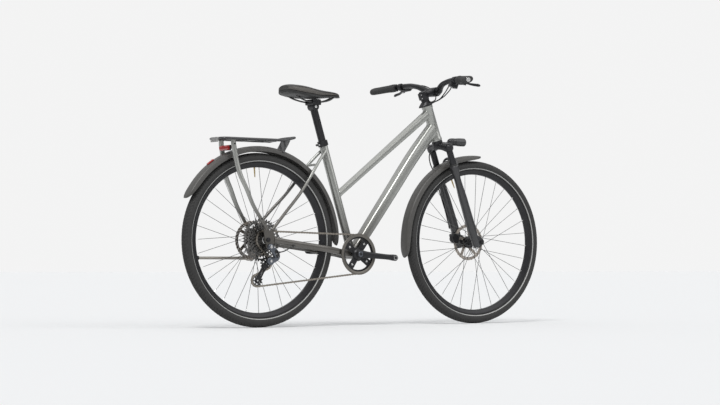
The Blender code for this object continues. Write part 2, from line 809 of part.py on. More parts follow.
# Rear carrier: a rounded loop of tube with cross bars, an end plate and a strut to the mudguard
CARRIER_REAR = -0.2040
CARRIER_FRONT = 0.1500
CARRIER_CORNER = 0.0300
CARRIER_FRONT_RISE = 0.0140
CROSS_BAR_RADIUS = 0.0040
RAIL_RADIUS = 0.0035
RAIL_Y = 0.0220
END_PLATE_HALF_WIDTH = 0.0290
deck = []
for corner_x, corner_y, start in (
    (CARRIER_FRONT - CARRIER_CORNER, CARRIER_HALF_WIDTH - CARRIER_CORNER, 0.0),
    (CARRIER_REAR + CARRIER_CORNER, CARRIER_HALF_WIDTH - CARRIER_CORNER, 0.5),
    (CARRIER_REAR + CARRIER_CORNER, -CARRIER_HALF_WIDTH + CARRIER_CORNER, 1.0),
    (CARRIER_FRONT - CARRIER_CORNER, -CARRIER_HALF_WIDTH + CARRIER_CORNER, 1.5),
):
    for x, y in arc_points(CARRIER_CORNER, start * math.pi, (start + 0.5) * math.pi, 3, (corner_x, corner_y)):
        slope_share = max(0.0, (x - CARRIER_FRONT + 2 * CARRIER_CORNER) / (2 * CARRIER_CORNER))
        rise = CARRIER_FRONT_RISE * slope_share
        deck.append((x, y, CARRIER_HEIGHT + rise))
rear_carrier = add_node(
    "rear_carrier", sweep(deck, CARRIER_TUBE_RADIUS, 6, closed=True), BLACK_PAINT, chassis
)
for bar_x in (-0.1400, -0.0400, 0.0600):
    bar = cylinder(
        CROSS_BAR_RADIUS,
        -CARRIER_HALF_WIDTH,
        CARRIER_HALF_WIDTH,
        6,
        centre=(bar_x, 0.0, CARRIER_HEIGHT - 0.0005),
    )
    unite(rear_carrier, bar)
for rail_y in (-RAIL_Y, RAIL_Y):
    rail = sweep(
        [
            (CARRIER_REAR, rail_y, CARRIER_HEIGHT),
            (CARRIER_FRONT - 2 * CARRIER_CORNER, rail_y, CARRIER_HEIGHT),
            (CARRIER_FRONT, rail_y, CARRIER_HEIGHT + CARRIER_FRONT_RISE),
        ],
        RAIL_RADIUS,
        6,
    )
    unite(rear_carrier, rail)
unite(
    rear_carrier,
    box(
        (CARRIER_REAR - 0.0060, -END_PLATE_HALF_WIDTH, CARRIER_HEIGHT - 0.0150),
        (CARRIER_REAR - 0.0010, END_PLATE_HALF_WIDTH, CARRIER_HEIGHT + CARRIER_TUBE_RADIUS),
    ),
    sweep(
        [
            (0.1330, 0.0, CARRIER_HEIGHT + 0.0100),
            (0.1240, 0.0, CARRIER_HEIGHT - 0.0100),
            (0.1000, 0.0, CARRIER_HEIGHT - 0.0490),
        ],
        (0.0350, 0.0032),
        4,
        squareness=1.0,
    ),
)
cut(rear_carrier, cylinder(MUDGUARD_RADIUS + FIT_GAP, -0.05, 0.05, 64), parent=rear_hub)

# Carrier hoop: two flattened legs in the frame's colour, joined by a cross bar behind the mudguard
# Each station is (x, y, share of the height from the dropout to the deck)
hoop_stations = [
    (-0.1490, 0.0480, 1.0),
    (-0.1470, 0.0490, 0.928),
    (-0.1420, 0.0500, 0.861),
    (-0.1370, 0.0520, 0.772),
    (-0.1300, 0.0550, 0.680),
    (-0.1200, 0.0580, 0.594),
    (-0.0960, 0.0610, 0.460),
    (-0.0630, 0.0640, 0.259),
    (-0.0300, 0.0680, 0.114),
    (-0.0020, DROPOUT_Y, -0.006),
]
hoop_top = CARRIER_HEIGHT - CARRIER_TUBE_RADIUS - FIT_GAP
hoop_line = [(x, y, DROPOUT_TOP + share * (hoop_top - DROPOUT_TOP)) for x, y, share in hoop_stations]
hoop_widths = [0.0105, 0.0110, 0.0110, 0.0108, 0.0105, 0.0100, 0.0090, 0.0080, 0.0075, 0.0070]
HOOP_HALF_THICKNESS = 0.0065
HOOP_BAR_RADIUS = 0.0050
HOOP_BAR_CLEARANCE = 0.0104
HOOP_BAR_ANGLE = math.radians(111.36)
hoop_bar_reach = MUDGUARD_RADIUS + HOOP_BAR_CLEARANCE + HOOP_BAR_RADIUS
hoop_bar_x = hoop_bar_reach * math.cos(HOOP_BAR_ANGLE)
hoop_bar_height = WHEEL_RADIUS + hoop_bar_reach * math.sin(HOOP_BAR_ANGLE)
hoop_sections = [(HOOP_HALF_THICKNESS, width) for width in hoop_widths]
legs = [
    sweep(points, hoop_sections, 8, over=(1, 0, 0.45), squareness=0.85)
    for points in (hoop_line, mirrored(hoop_line))
]
carrier_hoop = add_node("carrier_hoop", legs[0], SILVER_PAINT, chassis)
unite(
    carrier_hoop,
    cylinder(HOOP_BAR_RADIUS, -0.0495, 0.0495, 8, centre=(hoop_bar_x, 0.0, hoop_bar_height)),
    legs[1],
)
cut(carrier_hoop, box((-0.05, -0.1, DROPOUT_TOP - 0.1), (0.05, 0.1, DROPOUT_TOP + FIT_GAP)))
cut(carrier_hoop, box((-0.2, -0.1, hoop_top), (-0.1, 0.1, CARRIER_HEIGHT + 0.03)))


# Mudguards: a deep curved channel over each wheel
MUDGUARD_SKIRT_DEPTH = 0.0240


def mudguard_form(crown_radius, start, end, steps):
    """The mudguard's channel section swept about the wheel's axis between two angles from +X."""
    skirt = crown_radius - MUDGUARD_SKIRT_DEPTH
    wall = MUDGUARD_WALL
    rim_half = MUDGUARD_HALF_WIDTH
    outer = [
        (skirt, -rim_half),
        (crown_radius - 0.0070, -rim_half + 0.0020),
        (crown_radius, -rim_half + 0.0140),
        (crown_radius, rim_half - 0.0140),
        (crown_radius - 0.0070, rim_half - 0.0020),
        (skirt, rim_half),
    ]
    inner = [
        (skirt, rim_half - wall),
        (crown_radius - 0.0070 - wall / 2, rim_half - 0.0020 - wall),
        (crown_radius - wall, rim_half - 0.0140 - wall / 2),
        (crown_radius - wall, -rim_half + 0.0140 + wall / 2),
        (crown_radius - 0.0070 - wall / 2, -rim_half + 0.0020 + wall),
        (skirt, -rim_half + wall),
    ]
    rings = []
    for step in range(steps + 1):
        angle = start + (end - start) * step / steps
        rings.append([(r * math.cos(angle), y, r * math.sin(angle)) for r, y in outer + inner])
    return loft(rings)


rear_channel = mudguard_form(MUDGUARD_RADIUS, math.radians(-3), math.radians(154.6), 24)
add_node("rear_mudguard", rear_channel, GUARD_PLASTIC, rear_hub)

# Tail light behind the hoop's cross bar, and a reflector on the mudguard
TAIL_LIGHT_HALF_WIDTH = 0.0350
light_front = hoop_bar_x - HOOP_BAR_RADIUS - FIT_GAP
light_outline = [
    (light_front, hoop_bar_height - 0.0120),
    (light_front, hoop_bar_height + 0.0100),
    (light_front - 0.0120, hoop_bar_height + 0.0090),
    (light_front - 0.0165, hoop_bar_height + 0.0030),
    (light_front - 0.0165, hoop_bar_height - 0.0060),
    (light_front - 0.0120, hoop_bar_height - 0.0115),
]
tail_light = add_node(
    "tail_light", plate(light_outline, -TAIL_LIGHT_HALF_WIDTH, TAIL_LIGHT_HALF_WIDTH), RED_PLASTIC, chassis
)
bevel = tail_light.modifiers.new("Rounded rims", "BEVEL")
bevel.width = 0.0020
bevel.segments = 1
bevel.angle_limit = math.radians(60)

REFLECTOR_HALF_WIDTH = 0.0060
reflector_rings = []
for degrees in (123.6, 124.4, 127.9, 128.7):
    angle = math.radians(degrees)
    height = 0.0015 if degrees in (123.6, 128.7) else 0.0055
    base = MUDGUARD_RADIUS + FIT_GAP
    reflector_rings.append(
        [
            (r * math.cos(angle), y, r * math.sin(angle))
            for r, y in (
                (base, -REFLECTOR_HALF_WIDTH),
                (base + height, -REFLECTOR_HALF_WIDTH + 0.001),
                (base + height, REFLECTOR_HALF_WIDTH - 0.001),
                (base, REFLECTOR_HALF_WIDTH),
            )
        ]
    )
add_node("rear_reflector", loft(reflector_rings), RED_PLASTIC, rear_hub)

# Kickstand: a plate bolted outside the left dropout, and a leg that folds down and out on it
KICKSTAND_PIVOT = (0.0120, 0.2830)
KICKSTAND_SPLAY = math.radians(19.3)
BRACKET_THICKNESS = 0.0060
LEG_BARREL_RADIUS = 0.0110
LEG_BARREL_WIDTH = 0.0150
LEG_BARREL_START = 0.0045
LEG_RADIUS = 0.0062
bracket_low = REAR_DROPOUT_FACE + DROPOUT_THICKNESS + FIT_GAP
bracket_outline = [
    (-0.0030, 0.3430),
    (0.0280, 0.3430),
    (0.0300, 0.3180),
    *arc_points(0.0130, math.radians(10), math.radians(-190), 8, KICKSTAND_PIVOT),
    (-0.0040, 0.3180),
]
add_node(
    "kickstand_bracket", plate(bracket_outline, bracket_low, bracket_low + BRACKET_THICKNESS), STEEL, chassis
)

stand_inner = bracket_low + BRACKET_THICKNESS + FIT_GAP
stand_place = (KICKSTAND_PIVOT[0], stand_inner, KICKSTAND_PIVOT[1])
stand_axis = make_empty("kickstand_axis", stand_place, parent=chassis)
stand_axis.rotation_euler = (0.0, 0.0, KICKSTAND_SPLAY)
leg_way = Vector((-math.cos(KICKSTAND_SPLAY), math.sin(KICKSTAND_SPLAY), 0.0))
leg_start = Vector((0.0, 0.0125, 0.0))
kickstand_leg = add_node(
    "kickstand_leg",
    cylinder(LEG_BARREL_RADIUS, LEG_BARREL_START, LEG_BARREL_START + LEG_BARREL_WIDTH, 12),
    BLACK_PAINT,
    stand_axis,
)
unite(
    kickstand_leg,
    sweep(
        [
            leg_start,
            leg_start + leg_way * 0.040,
            leg_start + leg_way * (KICKSTAND_LENGTH - 0.030),
            leg_start + leg_way * (KICKSTAND_LENGTH - 0.024),
            leg_start + leg_way * KICKSTAND_LENGTH,
        ],
        [LEG_RADIUS + 0.001, LEG_RADIUS, LEG_RADIUS, LEG_RADIUS + 0.0030, LEG_RADIUS + 0.0022],
        8,
    ),
)
wedge_reach = 0.0300
cut(
    kickstand_leg,
    box(
        (-wedge_reach, -wedge_reach, KICKSTAND_PIVOT[1] - 0.02),
        (wedge_reach, stand_inner, KICKSTAND_PIVOT[1] + 0.02),
    ),
    parent=chassis,
)


# Drive train geometry, seen from the right side as (x, z) on the chassis
def pitch_radius(teeth):
    """Radius of the circle through the chain's pins on a sprocket."""
    return CHAIN_PITCH / (2 * math.sin(math.pi / teeth))


COG_Y = LARGEST_COG_Y - ENGAGED_COG * COG_SPACING
CHAINRING_Y = COG_Y - 0.0048
engaged_teeth = COG_TEETH[ENGAGED_COG]


def cage_points(angle):
    """Centres of the two jockey wheels for a cage swung to an angle from straight down."""
    upper = (
        CAGE_PIVOT[0] - UPPER_JOCKEY_OFFSET * math.cos(angle + 0.15),
        CAGE_PIVOT[1] - UPPER_JOCKEY_OFFSET * math.sin(angle + 0.15),
    )
    lower = (upper[0] - JOCKEY_SPACING * math.sin(angle), upper[1] - JOCKEY_SPACING * math.cos(angle))
    return upper, lower


def chain_route(angle):
    """The chain's closed path as stretches: straights, and arcs whose pace is one link per tooth.

    Each stretch is (kind, length in links, data). The turning sense is +1 for anticlockwise.
    """
    upper, lower = cage_points(angle)
    wheels = [
        ((BOTTOM_BRACKET_X, BOTTOM_BRACKET_HEIGHT), CHAINRING_TEETH, -1, CHAINRING_Y),
        (lower, JOCKEY_TEETH, -1, COG_Y),
        (upper, JOCKEY_TEETH, 1, COG_Y),
        ((0.0, WHEEL_RADIUS), engaged_teeth, -1, COG_Y),
    ]
    lines = []
    for index, (centre, teeth, sense, _) in enumerate(wheels):
        other, other_teeth, other_sense, _ = wheels[(index + 1) % len(wheels)]
        span = math.hypot(other[0] - centre[0], other[1] - centre[1])
        bearing = math.atan2(other[1] - centre[1], other[0] - centre[0])
        offset = other_sense * pitch_radius(other_teeth) - sense * pitch_radius(teeth)
        way = bearing - math.asin(offset / span)
        leave = (
            centre[0] + sense * pitch_radius(teeth) * math.sin(way),
            centre[1] - sense * pitch_radius(teeth) * math.cos(way),
        )
        arrive = (
            other[0] + other_sense * pitch_radius(other_teeth) * math.sin(way),
            other[1] - other_sense * pitch_radius(other_teeth) * math.cos(way),
        )
        lines.append((way, leave, arrive))
    stretches = []
    for index, (centre, teeth, sense, level) in enumerate(wheels):
        way_in = lines[index - 1][0]
        way_out, leave, arrive = lines[index]
        turned_by = (sense * (way_out - way_in)) % (2 * math.pi)
        start_angle = way_in - sense * math.pi / 2
        arc_links = turned_by * teeth / (2 * math.pi)
        stretches.append(("arc", arc_links, (centre, teeth, sense, level, start_angle)))
        next_level = wheels[(index + 1) % len(wheels)][3]
        length = math.hypot(arrive[0] - leave[0], arrive[1] - leave[1]) / CHAIN_PITCH
        stretches.append(("line", length, (leave, arrive, level, next_level)))
    return stretches


def route_length(angle):
    """The closed path's length in links."""
    return sum(stretch[1] for stretch in chain_route(angle))


def cage_angle_for(links, low, high):
    """The cage angle at which the path holds a whole number of links, by bisection."""
    rising = route_length(high) > route_length(low)
    for _ in range(60):
        middle = (low + high) / 2
        if (route_length(middle) < links) == rising:
            low = middle
        else:
            high = middle
    return (low + high) / 2


CHAIN_LINKS = 122
NOMINAL_CAGE_ANGLE = math.radians(34)
cage_angle = cage_angle_for(CHAIN_LINKS, NOMINAL_CAGE_ANGLE - 0.45, NOMINAL_CAGE_ANGLE + 0.45)
upper_jockey, lower_jockey = cage_points(cage_angle)
route = chain_route(cage_angle)


def pin_positions():
    """Every pin's (x, y, z), one per link, in order along the path."""
    pins = []
    for number in range(CHAIN_LINKS):
        place = float(number)
        for kind, length, data in route:
            if place < length:
                break
            place -= length
        if kind == "arc":
            centre, teeth, sense, level, start_angle = data
            angle = start_angle + sense * place * 2 * math.pi / teeth
            radius = pitch_radius(teeth)
            x = centre[0] + radius * math.cos(angle)
            z = centre[1] + radius * math.sin(angle)
            pins.append(Vector((x, level, z)))
        else:
            leave, arrive, level, next_level = data
            share = place / length
            pins.append(
                Vector(
                    (
                        leave[0] + (arrive[0] - leave[0]) * share,
                        level + (next_level - level) * share,
                        leave[1] + (arrive[1] - leave[1]) * share,
                    )
                )
            )
    return pins


def gap_phase(wheel_index):
    """The angle of one tooth gap of a sprocket, where a pin of the chain lies."""
    travelled = 0.0
    for index, (kind, length, data) in enumerate(route):
        if index == 2 * wheel_index:
            _, teeth, sense, _, start_angle = data
            return start_angle - sense * travelled * 2 * math.pi / teeth
        travelled += length
    return 0.0


# Chain: a row of link plates on each side, bridged by a roller at every pin
PLATE_HALF_HEIGHT = 0.0036
ROLLER_HALF_LENGTH = 0.0022
INNER_FACE = 0.0012
OUTER_FACE = 0.0027
pins = pin_positions()


def build_chain():
    """The chain as one mesh: a band of plates on each side, joined by a square roller at every pin."""
    mesh = bmesh.new()
    count = len(pins)
    inner = {-1: [], 1: []}
    outer = {-1: [], 1: []}
    for number, pin in enumerate(pins):
        before = (pin - pins[number - 1]).normalized()
        after = (pins[(number + 1) % count] - pin).normalized()
        along = (before + after).normalized()
        rise = Vector((-along.z, 0.0, along.x)).normalized() * PLATE_HALF_HEIGHT
        for hand in (-1, 1):
            shelf = pin + Vector((0, hand * INNER_FACE, 0))
            for reach in (-ROLLER_HALF_LENGTH, ROLLER_HALF_LENGTH):
                corner = shelf + along * reach
                inner[hand].append((mesh.verts.new(corner - rise), mesh.verts.new(corner + rise)))
            shelf = pin + Vector((0, hand * OUTER_FACE, 0))
            outer[hand].append((mesh.verts.new(shelf - rise), mesh.verts.new(shelf + rise)))
    for number in range(count):
        follower = (number + 1) % count
        for hand in (-1, 1):
            near, far = inner[hand][2 * number : 2 * number + 2]
            ahead = inner[hand][2 * follower]
            back, front = outer[hand][number], outer[hand][follower]
            mesh.faces.new((far[0], far[1], ahead[1], ahead[0]))
            mesh.faces.new((back[0], back[1], front[1], front[0]))
            for edge in (0, 1):
                mesh.faces.new((near[edge], far[edge], back[edge]))
                mesh.faces.new((far[edge], ahead[edge], front[edge], back[edge]))
        (a0, a1), (b0, b1) = inner[-1][2 * number : 2 * number + 2]
        (c0, c1), (d0, d1) = inner[1][2 * number : 2 * number + 2]
        for quad in ((a0, a1, c1, c0), (b0, b1, d1, d0), (a0, b0, d0, c0), (a1, b1, d1, c1)):
            mesh.faces.new(quad)
    return mesh


add_node("chain", build_chain(), CHAIN_STEEL, chassis)

TOOTH_ROOT_DROP = PLATE_HALF_HEIGHT + 0.0006
TOOTH_TIP_RISE = 0.0030


def sprocket_outline(teeth, phase, centre=(0.0, 0.0), fine=True):
    """A toothed outline whose gaps clear the rollers; a coarse one has two points per tooth."""
    radius = pitch_radius(teeth)
    step = 2 * math.pi / teeth
    root_share = (ROLLER_HALF_LENGTH + 0.0006) / CHAIN_PITCH
    points = []
    for tooth in range(teeth):
        gap = phase + tooth * step
        marks = [(-root_share, -TOOTH_ROOT_DROP), (root_share, -TOOTH_ROOT_DROP)]
        if fine:
            marks.append((0.5, TOOTH_TIP_RISE))
        else:
            marks = [(0.0, -TOOTH_ROOT_DROP), (0.5, TOOTH_TIP_RISE)]
        for share, rise in marks:
            angle = gap + share * step
            points.append(
                (centre[0] + (radius + rise) * math.cos(angle), centre[1] + (radius + rise) * math.sin(angle))
            )
    return points


# Cassette: nine toothed cogs on a splined carrier, turning round the freehub
FREEHUB_RADIUS = 0.0165
CARRIER_WALL = 0.0022
FREEHUB_CLEARANCE = 0.0007
cassette_bore = FREEHUB_RADIUS + FREEHUB_CLEARANCE
cog_levels = [LARGEST_COG_Y - index * COG_SPACING for index in range(len(COG_TEETH))]
cassette = add_node(
    "cassette",
    cylinder(cassette_bore + CARRIER_WALL, cog_levels[-1] - 0.0022, cog_levels[0] + 0.0012, 16),
    COG_STEEL,
    rear_hub,
)
for index, teeth in enumerate(COG_TEETH):
    level = cog_levels[index]
    fine = index == ENGAGED_COG
    phase = gap_phase(3) if fine else 0.0
    outline = sprocket_outline(teeth, phase, fine=fine)
    unite(cassette, plate(outline, level - COG_THICKNESS / 2, level + COG_THICKNESS / 2))
cut(cassette, cylinder(cassette_bore, cog_levels[-1] - 0.01, cog_levels[0] + 0.01, 16))

# Crankset: toothed ring with four arms, and two forged arms on one axle
RING_BORE = 0.0160
RING_WINDOWS = 4
RING_HUB_RADIUS = 0.0240
RING_BAND_RADIUS = 0.0670
window_holes = []
for number in range(RING_WINDOWS):
    start = number * 2 * math.pi / RING_WINDOWS + math.radians(14)
    end = (number + 1) * 2 * math.pi / RING_WINDOWS - math.radians(14)
    inner_trim = math.radians(9)
    window_holes.append(
        arc_points(RING_BAND_RADIUS, start, end, 8)
        + arc_points(RING_HUB_RADIUS, end - inner_trim, start + inner_trim, 3)
    )
add_node(
    "chainring",
    plate(
        sprocket_outline(CHAINRING_TEETH, gap_phase(0)),
        CHAINRING_Y - CHAINRING_THICKNESS / 2,
        CHAINRING_Y + CHAINRING_THICKNESS / 2,
        [circle((0, 0), RING_BORE + FIT_GAP, 24), *window_holes],
    ),
    BLACK_METAL,
    crank_axis,
)

cup_outer = cup_face + CUP_WIDTH + FIT_GAP
ARM_ROOT_INNER_Y = 0.0560


def crank_arm_form(hand, way):
    """A forged arm from the axle to the pedal eye; the way is its angle in the side view."""
    reach = Vector((math.cos(way), 0.0, math.sin(way)))
    rise = Vector((-math.sin(way), 0.0, math.cos(way)))
    stations = [
        (-0.0150, 0.0090, 0.0000, 0.0130),
        (-0.0080, 0.0150, 0.0000, 0.0140),
        (0.0060, 0.0170, 0.0000, 0.0150),
        (0.0350, 0.0140, 0.0030, 0.0140),
        (0.0900, 0.0120, 0.0080, 0.0130),
        (0.1400, 0.0115, 0.0125, CRANK_ARM_THICKNESS),
        (CRANK_LENGTH - 0.004, 0.0130, 0.0140, CRANK_ARM_THICKNESS),
        (CRANK_LENGTH + 0.0080, 0.0110, 0.0140, CRANK_ARM_THICKNESS),
        (CRANK_LENGTH + 0.0125, 0.0055, 0.0140, CRANK_ARM_THICKNESS - 0.001),
    ]
    rings = []
    for distance, half_width, splay, thickness in stations:
        low = ARM_ROOT_INNER_Y + splay
        bevel = 0.0022
        ring = []
        for width, level in (
            (-1, low + bevel),
            (-1, low + thickness - bevel),
            (-0.8, low + thickness),
            (0.8, low + thickness),
            (1, low + thickness - bevel),
            (1, low + bevel),
            (0.8, low),
            (-0.8, low),
        ):
            point = reach * distance + rise * (half_width * width)
            point.y = hand * level
            ring.append(point)
        rings.append(ring)
    return loft(rings)


def pedal_eye(hand, way):
    """The threaded eye's bore, as a cutter."""
    centre = (CRANK_LENGTH * math.cos(way), 0.0, CRANK_LENGTH * math.sin(way))
    return cylinder(CRANK_EYE_RADIUS, *sorted((hand * 0.05, hand * 0.10)), 12, centre=centre)


right_way = -CRANK_DROP
left_way = math.pi - CRANK_DROP
AXLE_END_Y = 0.0580
ARM_BOSS_RADIUS = 0.0165
crank_arm_right = add_node("crank_arm_right", crank_arm_form(-1, right_way), BLACK_METAL, crank_axis)
unite(
    crank_arm_right,
    turn(
        [
            (0, AXLE_END_Y),
            (CRANK_AXLE_RADIUS, AXLE_END_Y),
            (CRANK_AXLE_RADIUS, -cup_outer),
            (RING_BORE, -cup_outer),
            (RING_BORE, CHAINRING_Y - CHAINRING_THICKNESS / 2 - FIT_GAP),
            (RING_HUB_RADIUS - 0.002, CHAINRING_Y - CHAINRING_THICKNESS / 2 - FIT_GAP),
            (RING_HUB_RADIUS - 0.002, CHAINRING_Y - CHAINRING_THICKNESS / 2 - 0.0030),
            (0.0150, -ARM_ROOT_INNER_Y - 0.0020),
            (0, -ARM_ROOT_INNER_Y - 0.0020),
        ],
        16,
    ),
)
cut(crank_arm_right, pedal_eye(-1, right_way))
crank_arm_left = add_node("crank_arm_left", crank_arm_form(1, left_way), BLACK_METAL, crank_axis)
unite(
    crank_arm_left,
    turn(
        [
            (0, ARM_ROOT_INNER_Y + 0.0030),
            (ARM_BOSS_RADIUS, ARM_ROOT_INNER_Y + 0.0030),
            (ARM_BOSS_RADIUS, cup_outer),
            (0, cup_outer),
        ],
        16,
    ),
)
cut(
    crank_arm_left,
    cylinder(CRANK_AXLE_RADIUS + FIT_GAP, 0.0, AXLE_END_Y + FIT_GAP, 16),
    pedal_eye(1, left_way),
)

# Derailleur cage: two plates round the jockey wheels, and the knuckle it swings on
CAGE_PLATE = 0.0014
CAGE_HALF_GAP = 0.0046
JOCKEY_PLATE = 0.0020
JOCKEY_BOSS_RADIUS = 0.0085
JOCKEY_BORE_RADIUS = 0.0025
PIVOT_BARREL_RADIUS = 0.0120
cage_axis = make_empty("cage_axis", (CAGE_PIVOT[0], COG_Y, CAGE_PIVOT[1]), parent=chassis)
cage_outer = CAGE_HALF_GAP + CAGE_PLATE


def on_cage(point):
    """A chassis side-view point in the cage pivot's coordinates."""
    return (point[0] - CAGE_PIVOT[0], point[1] - CAGE_PIVOT[1])


upper_local = on_cage(upper_jockey)
lower_local = on_cage(lower_jockey)
cage_way = math.atan2(lower_local[1] - upper_local[1], lower_local[0] - upper_local[0])


def cage_plate_outline(end_radius, waist):
    """A dog-bone plate over both jockey bolts, drawn as (x, z)."""
    spread = math.radians(70)
    outline = arc_points(end_radius, cage_way + math.pi - spread, cage_way + math.pi + spread, 4, upper_local)
    middle = ((upper_local[0] + lower_local[0]) / 2, (upper_local[1] + lower_local[1]) / 2)
    side = (-math.sin(cage_way) * waist, math.cos(cage_way) * waist)
    outline.append((middle[0] - side[0], middle[1] - side[1]))
    outline += arc_points(end_radius, cage_way - spread, cage_way + spread, 4, lower_local)
    outline.append((middle[0] + side[0], middle[1] + side[1]))
    return outline


cage = add_node(
    "derailleur_cage",
    plate(cage_plate_outline(0.0130, 0.0100), -cage_outer, -CAGE_HALF_GAP),
    BLACK_METAL,
    cage_axis,
)
unite(cage, plate(cage_plate_outline(0.0085, 0.0055), CAGE_HALF_GAP, cage_outer))
for centre in (upper_local, lower_local):
    unite(
        cage,
        cylinder(
            JOCKEY_BORE_RADIUS - FIT_GAP,
            -CAGE_HALF_GAP - CAGE_PLATE / 2,
            CAGE_HALF_GAP + CAGE_PLATE / 2,
            8,
            centre=(centre[0], 0, centre[1]),
        ),
    )
unite(cage, cylinder(PIVOT_BARREL_RADIUS, -cage_outer - 0.0030, -cage_outer + 0.0005, 12))

for name, centre, wheel_index in (("jockey_upper", upper_local, 2), ("jockey_lower", lower_local, 1)):
    jockey_axis = make_empty(f"{name}_axis", (centre[0], 0.0, centre[1]), parent=cage_axis)
    jockey = add_node(
        name,
        plate(sprocket_outline(JOCKEY_TEETH, gap_phase(wheel_index)), -JOCKEY_PLATE / 2, JOCKEY_PLATE / 2),
        BLACK_METAL,
        jockey_axis,
    )
    unite(jockey, cylinder(JOCKEY_BOSS_RADIUS, -CAGE_HALF_GAP + FIT_GAP, CAGE_HALF_GAP - FIT_GAP, 12))
    cut(jockey, cylinder(JOCKEY_BORE_RADIUS, -CAGE_HALF_GAP, CAGE_HALF_GAP, 8))

# Derailleur body: knuckle on the hanger, parallelogram link and the lower knuckle over the cage
HANGER_BOLT = (0.0070, 0.3270)
UPPER_KNUCKLE_RADIUS = 0.0125
UPPER_KNUCKLE_WIDTH = 0.0135
LOWER_KNUCKLE_RADIUS = 0.0160
LOWER_KNUCKLE_WIDTH = 0.0150
hanger_face = -(REAR_DROPOUT_FACE + DROPOUT_THICKNESS + FIT_GAP)
cage_knuckle_inner = COG_Y - cage_outer - 0.0030 - FIT_GAP
derailleur_body = add_node(
    "derailleur_body",
    cylinder(
        UPPER_KNUCKLE_RADIUS,
        hanger_face - UPPER_KNUCKLE_WIDTH,
        hanger_face,
        12,
        centre=(HANGER_BOLT[0], 0.0, HANGER_BOLT[1]),
    ),
    GREY_METAL,
    chassis,
)
body_link = [
    (HANGER_BOLT[0] + 0.0020, hanger_face - 0.0080, HANGER_BOLT[1] - 0.0040),
    (HANGER_BOLT[0] + 0.0220, hanger_face - 0.0055, HANGER_BOLT[1] - 0.0200),
    (CAGE_PIVOT[0] + 0.0260, cage_knuckle_inner - 0.0130, CAGE_PIVOT[1] + 0.0160),
    (CAGE_PIVOT[0] + 0.0080, cage_knuckle_inner - 0.0090, CAGE_PIVOT[1] + 0.0010),
]
link_sections = [(0.0110, 0.0065), (0.0150, 0.0075), (0.0150, 0.0075), (0.0120, 0.0065)]
unite(
    derailleur_body,
    sweep(body_link, link_sections, 8, (0, 1, 0), squareness=0.7),
    cylinder(
        LOWER_KNUCKLE_RADIUS,
        cage_knuckle_inner - LOWER_KNUCKLE_WIDTH,
        cage_knuckle_inner,
        12,
        centre=(CAGE_PIVOT[0], 0.0, CAGE_PIVOT[1]),
    ),
)
add_cord(
    "derailleur_cable",
    [
        (0.1280, -0.0745, 0.3330),
        (0.0980, -0.0800, 0.3220),
        (0.0660, -0.0880, 0.3100),
        (0.0470, -0.0880, 0.3060),
        (0.0380, -0.0870, 0.3050),
    ],
    0.0024,
    HOSE_PLASTIC,
    chassis,
)

# Wheels: deep box rim, tyre seated in its channel, laced hub and slotted rotor
rim_half = [
    (RIM_INNER_RADIUS, RIM_INNER_HALF_WIDTH),
    (RIM_SHOULDER_RADIUS, TYRE_BEAD_HALF_WIDTH + RIM_WALL),
    (RIM_FLANGE_RADIUS, RIM_HALF_WIDTH),
    (RIM_FLANGE_RADIUS, RIM_HALF_WIDTH - RIM_WALL),
    (RIM_CHANNEL_RADIUS, TYRE_BEAD_HALF_WIDTH),
]
rim_profile = rim_half + [(radius, -y) for radius, y in reversed(rim_half)]
tyre_centre_radius = WHEEL_RADIUS - TYRE_SECTION_RADIUS
tyre_half = [
    (RIM_CHANNEL_RADIUS + FIT_GAP, TYRE_BEAD_HALF_WIDTH - FIT_GAP),
    (RIM_FLANGE_RADIUS + FIT_GAP, RIM_HALF_WIDTH - RIM_WALL - 2 * FIT_GAP),
    (RIM_FLANGE_RADIUS + 0.0012, RIM_HALF_WIDTH + 0.0022),
    (tyre_centre_radius + 0.0020, TYRE_SECTION_RADIUS),
    (tyre_centre_radius + 0.0180, TYRE_SECTION_RADIUS * 0.66),
    (WHEEL_RADIUS, 0.0040),
]
tyre_profile = tyre_half + [(radius, -y) for radius, y in reversed(tyre_half)]
HUB_FLANGE_RADIUS = 0.0262
HUB_FLANGE_HALF = 0.0016
ROTOR_BORE_RADIUS = 0.0150


def hub_profile(flanges, rotor_y, right_end, left_end, right_radius):
    """The hub shell as (radius, y): ends, two spoke flanges and the rotor's seat."""
    right, left = flanges
    seat = rotor_y - ROTOR_THICKNESS / 2 - FIT_GAP
    nose = ROTOR_BORE_RADIUS - FIT_GAP
    return [
        (HUB_BORE_RADIUS, right_end),
        (right_radius, right_end),
        (right_radius, right - HUB_FLANGE_HALF - 0.0010),
        (HUB_FLANGE_RADIUS, right - HUB_FLANGE_HALF),
        (HUB_FLANGE_RADIUS, right + HUB_FLANGE_HALF),
        (HUB_SHELL_RADIUS, right + 0.0070),
        (HUB_SHELL_RADIUS, left - 0.0070),
        (HUB_FLANGE_RADIUS, left - HUB_FLANGE_HALF),
        (HUB_FLANGE_RADIUS, left + HUB_FLANGE_HALF),
        (0.0210, seat),
        (nose, seat),
        (nose, left_end),
        (HUB_BORE_RADIUS, left_end),
    ]


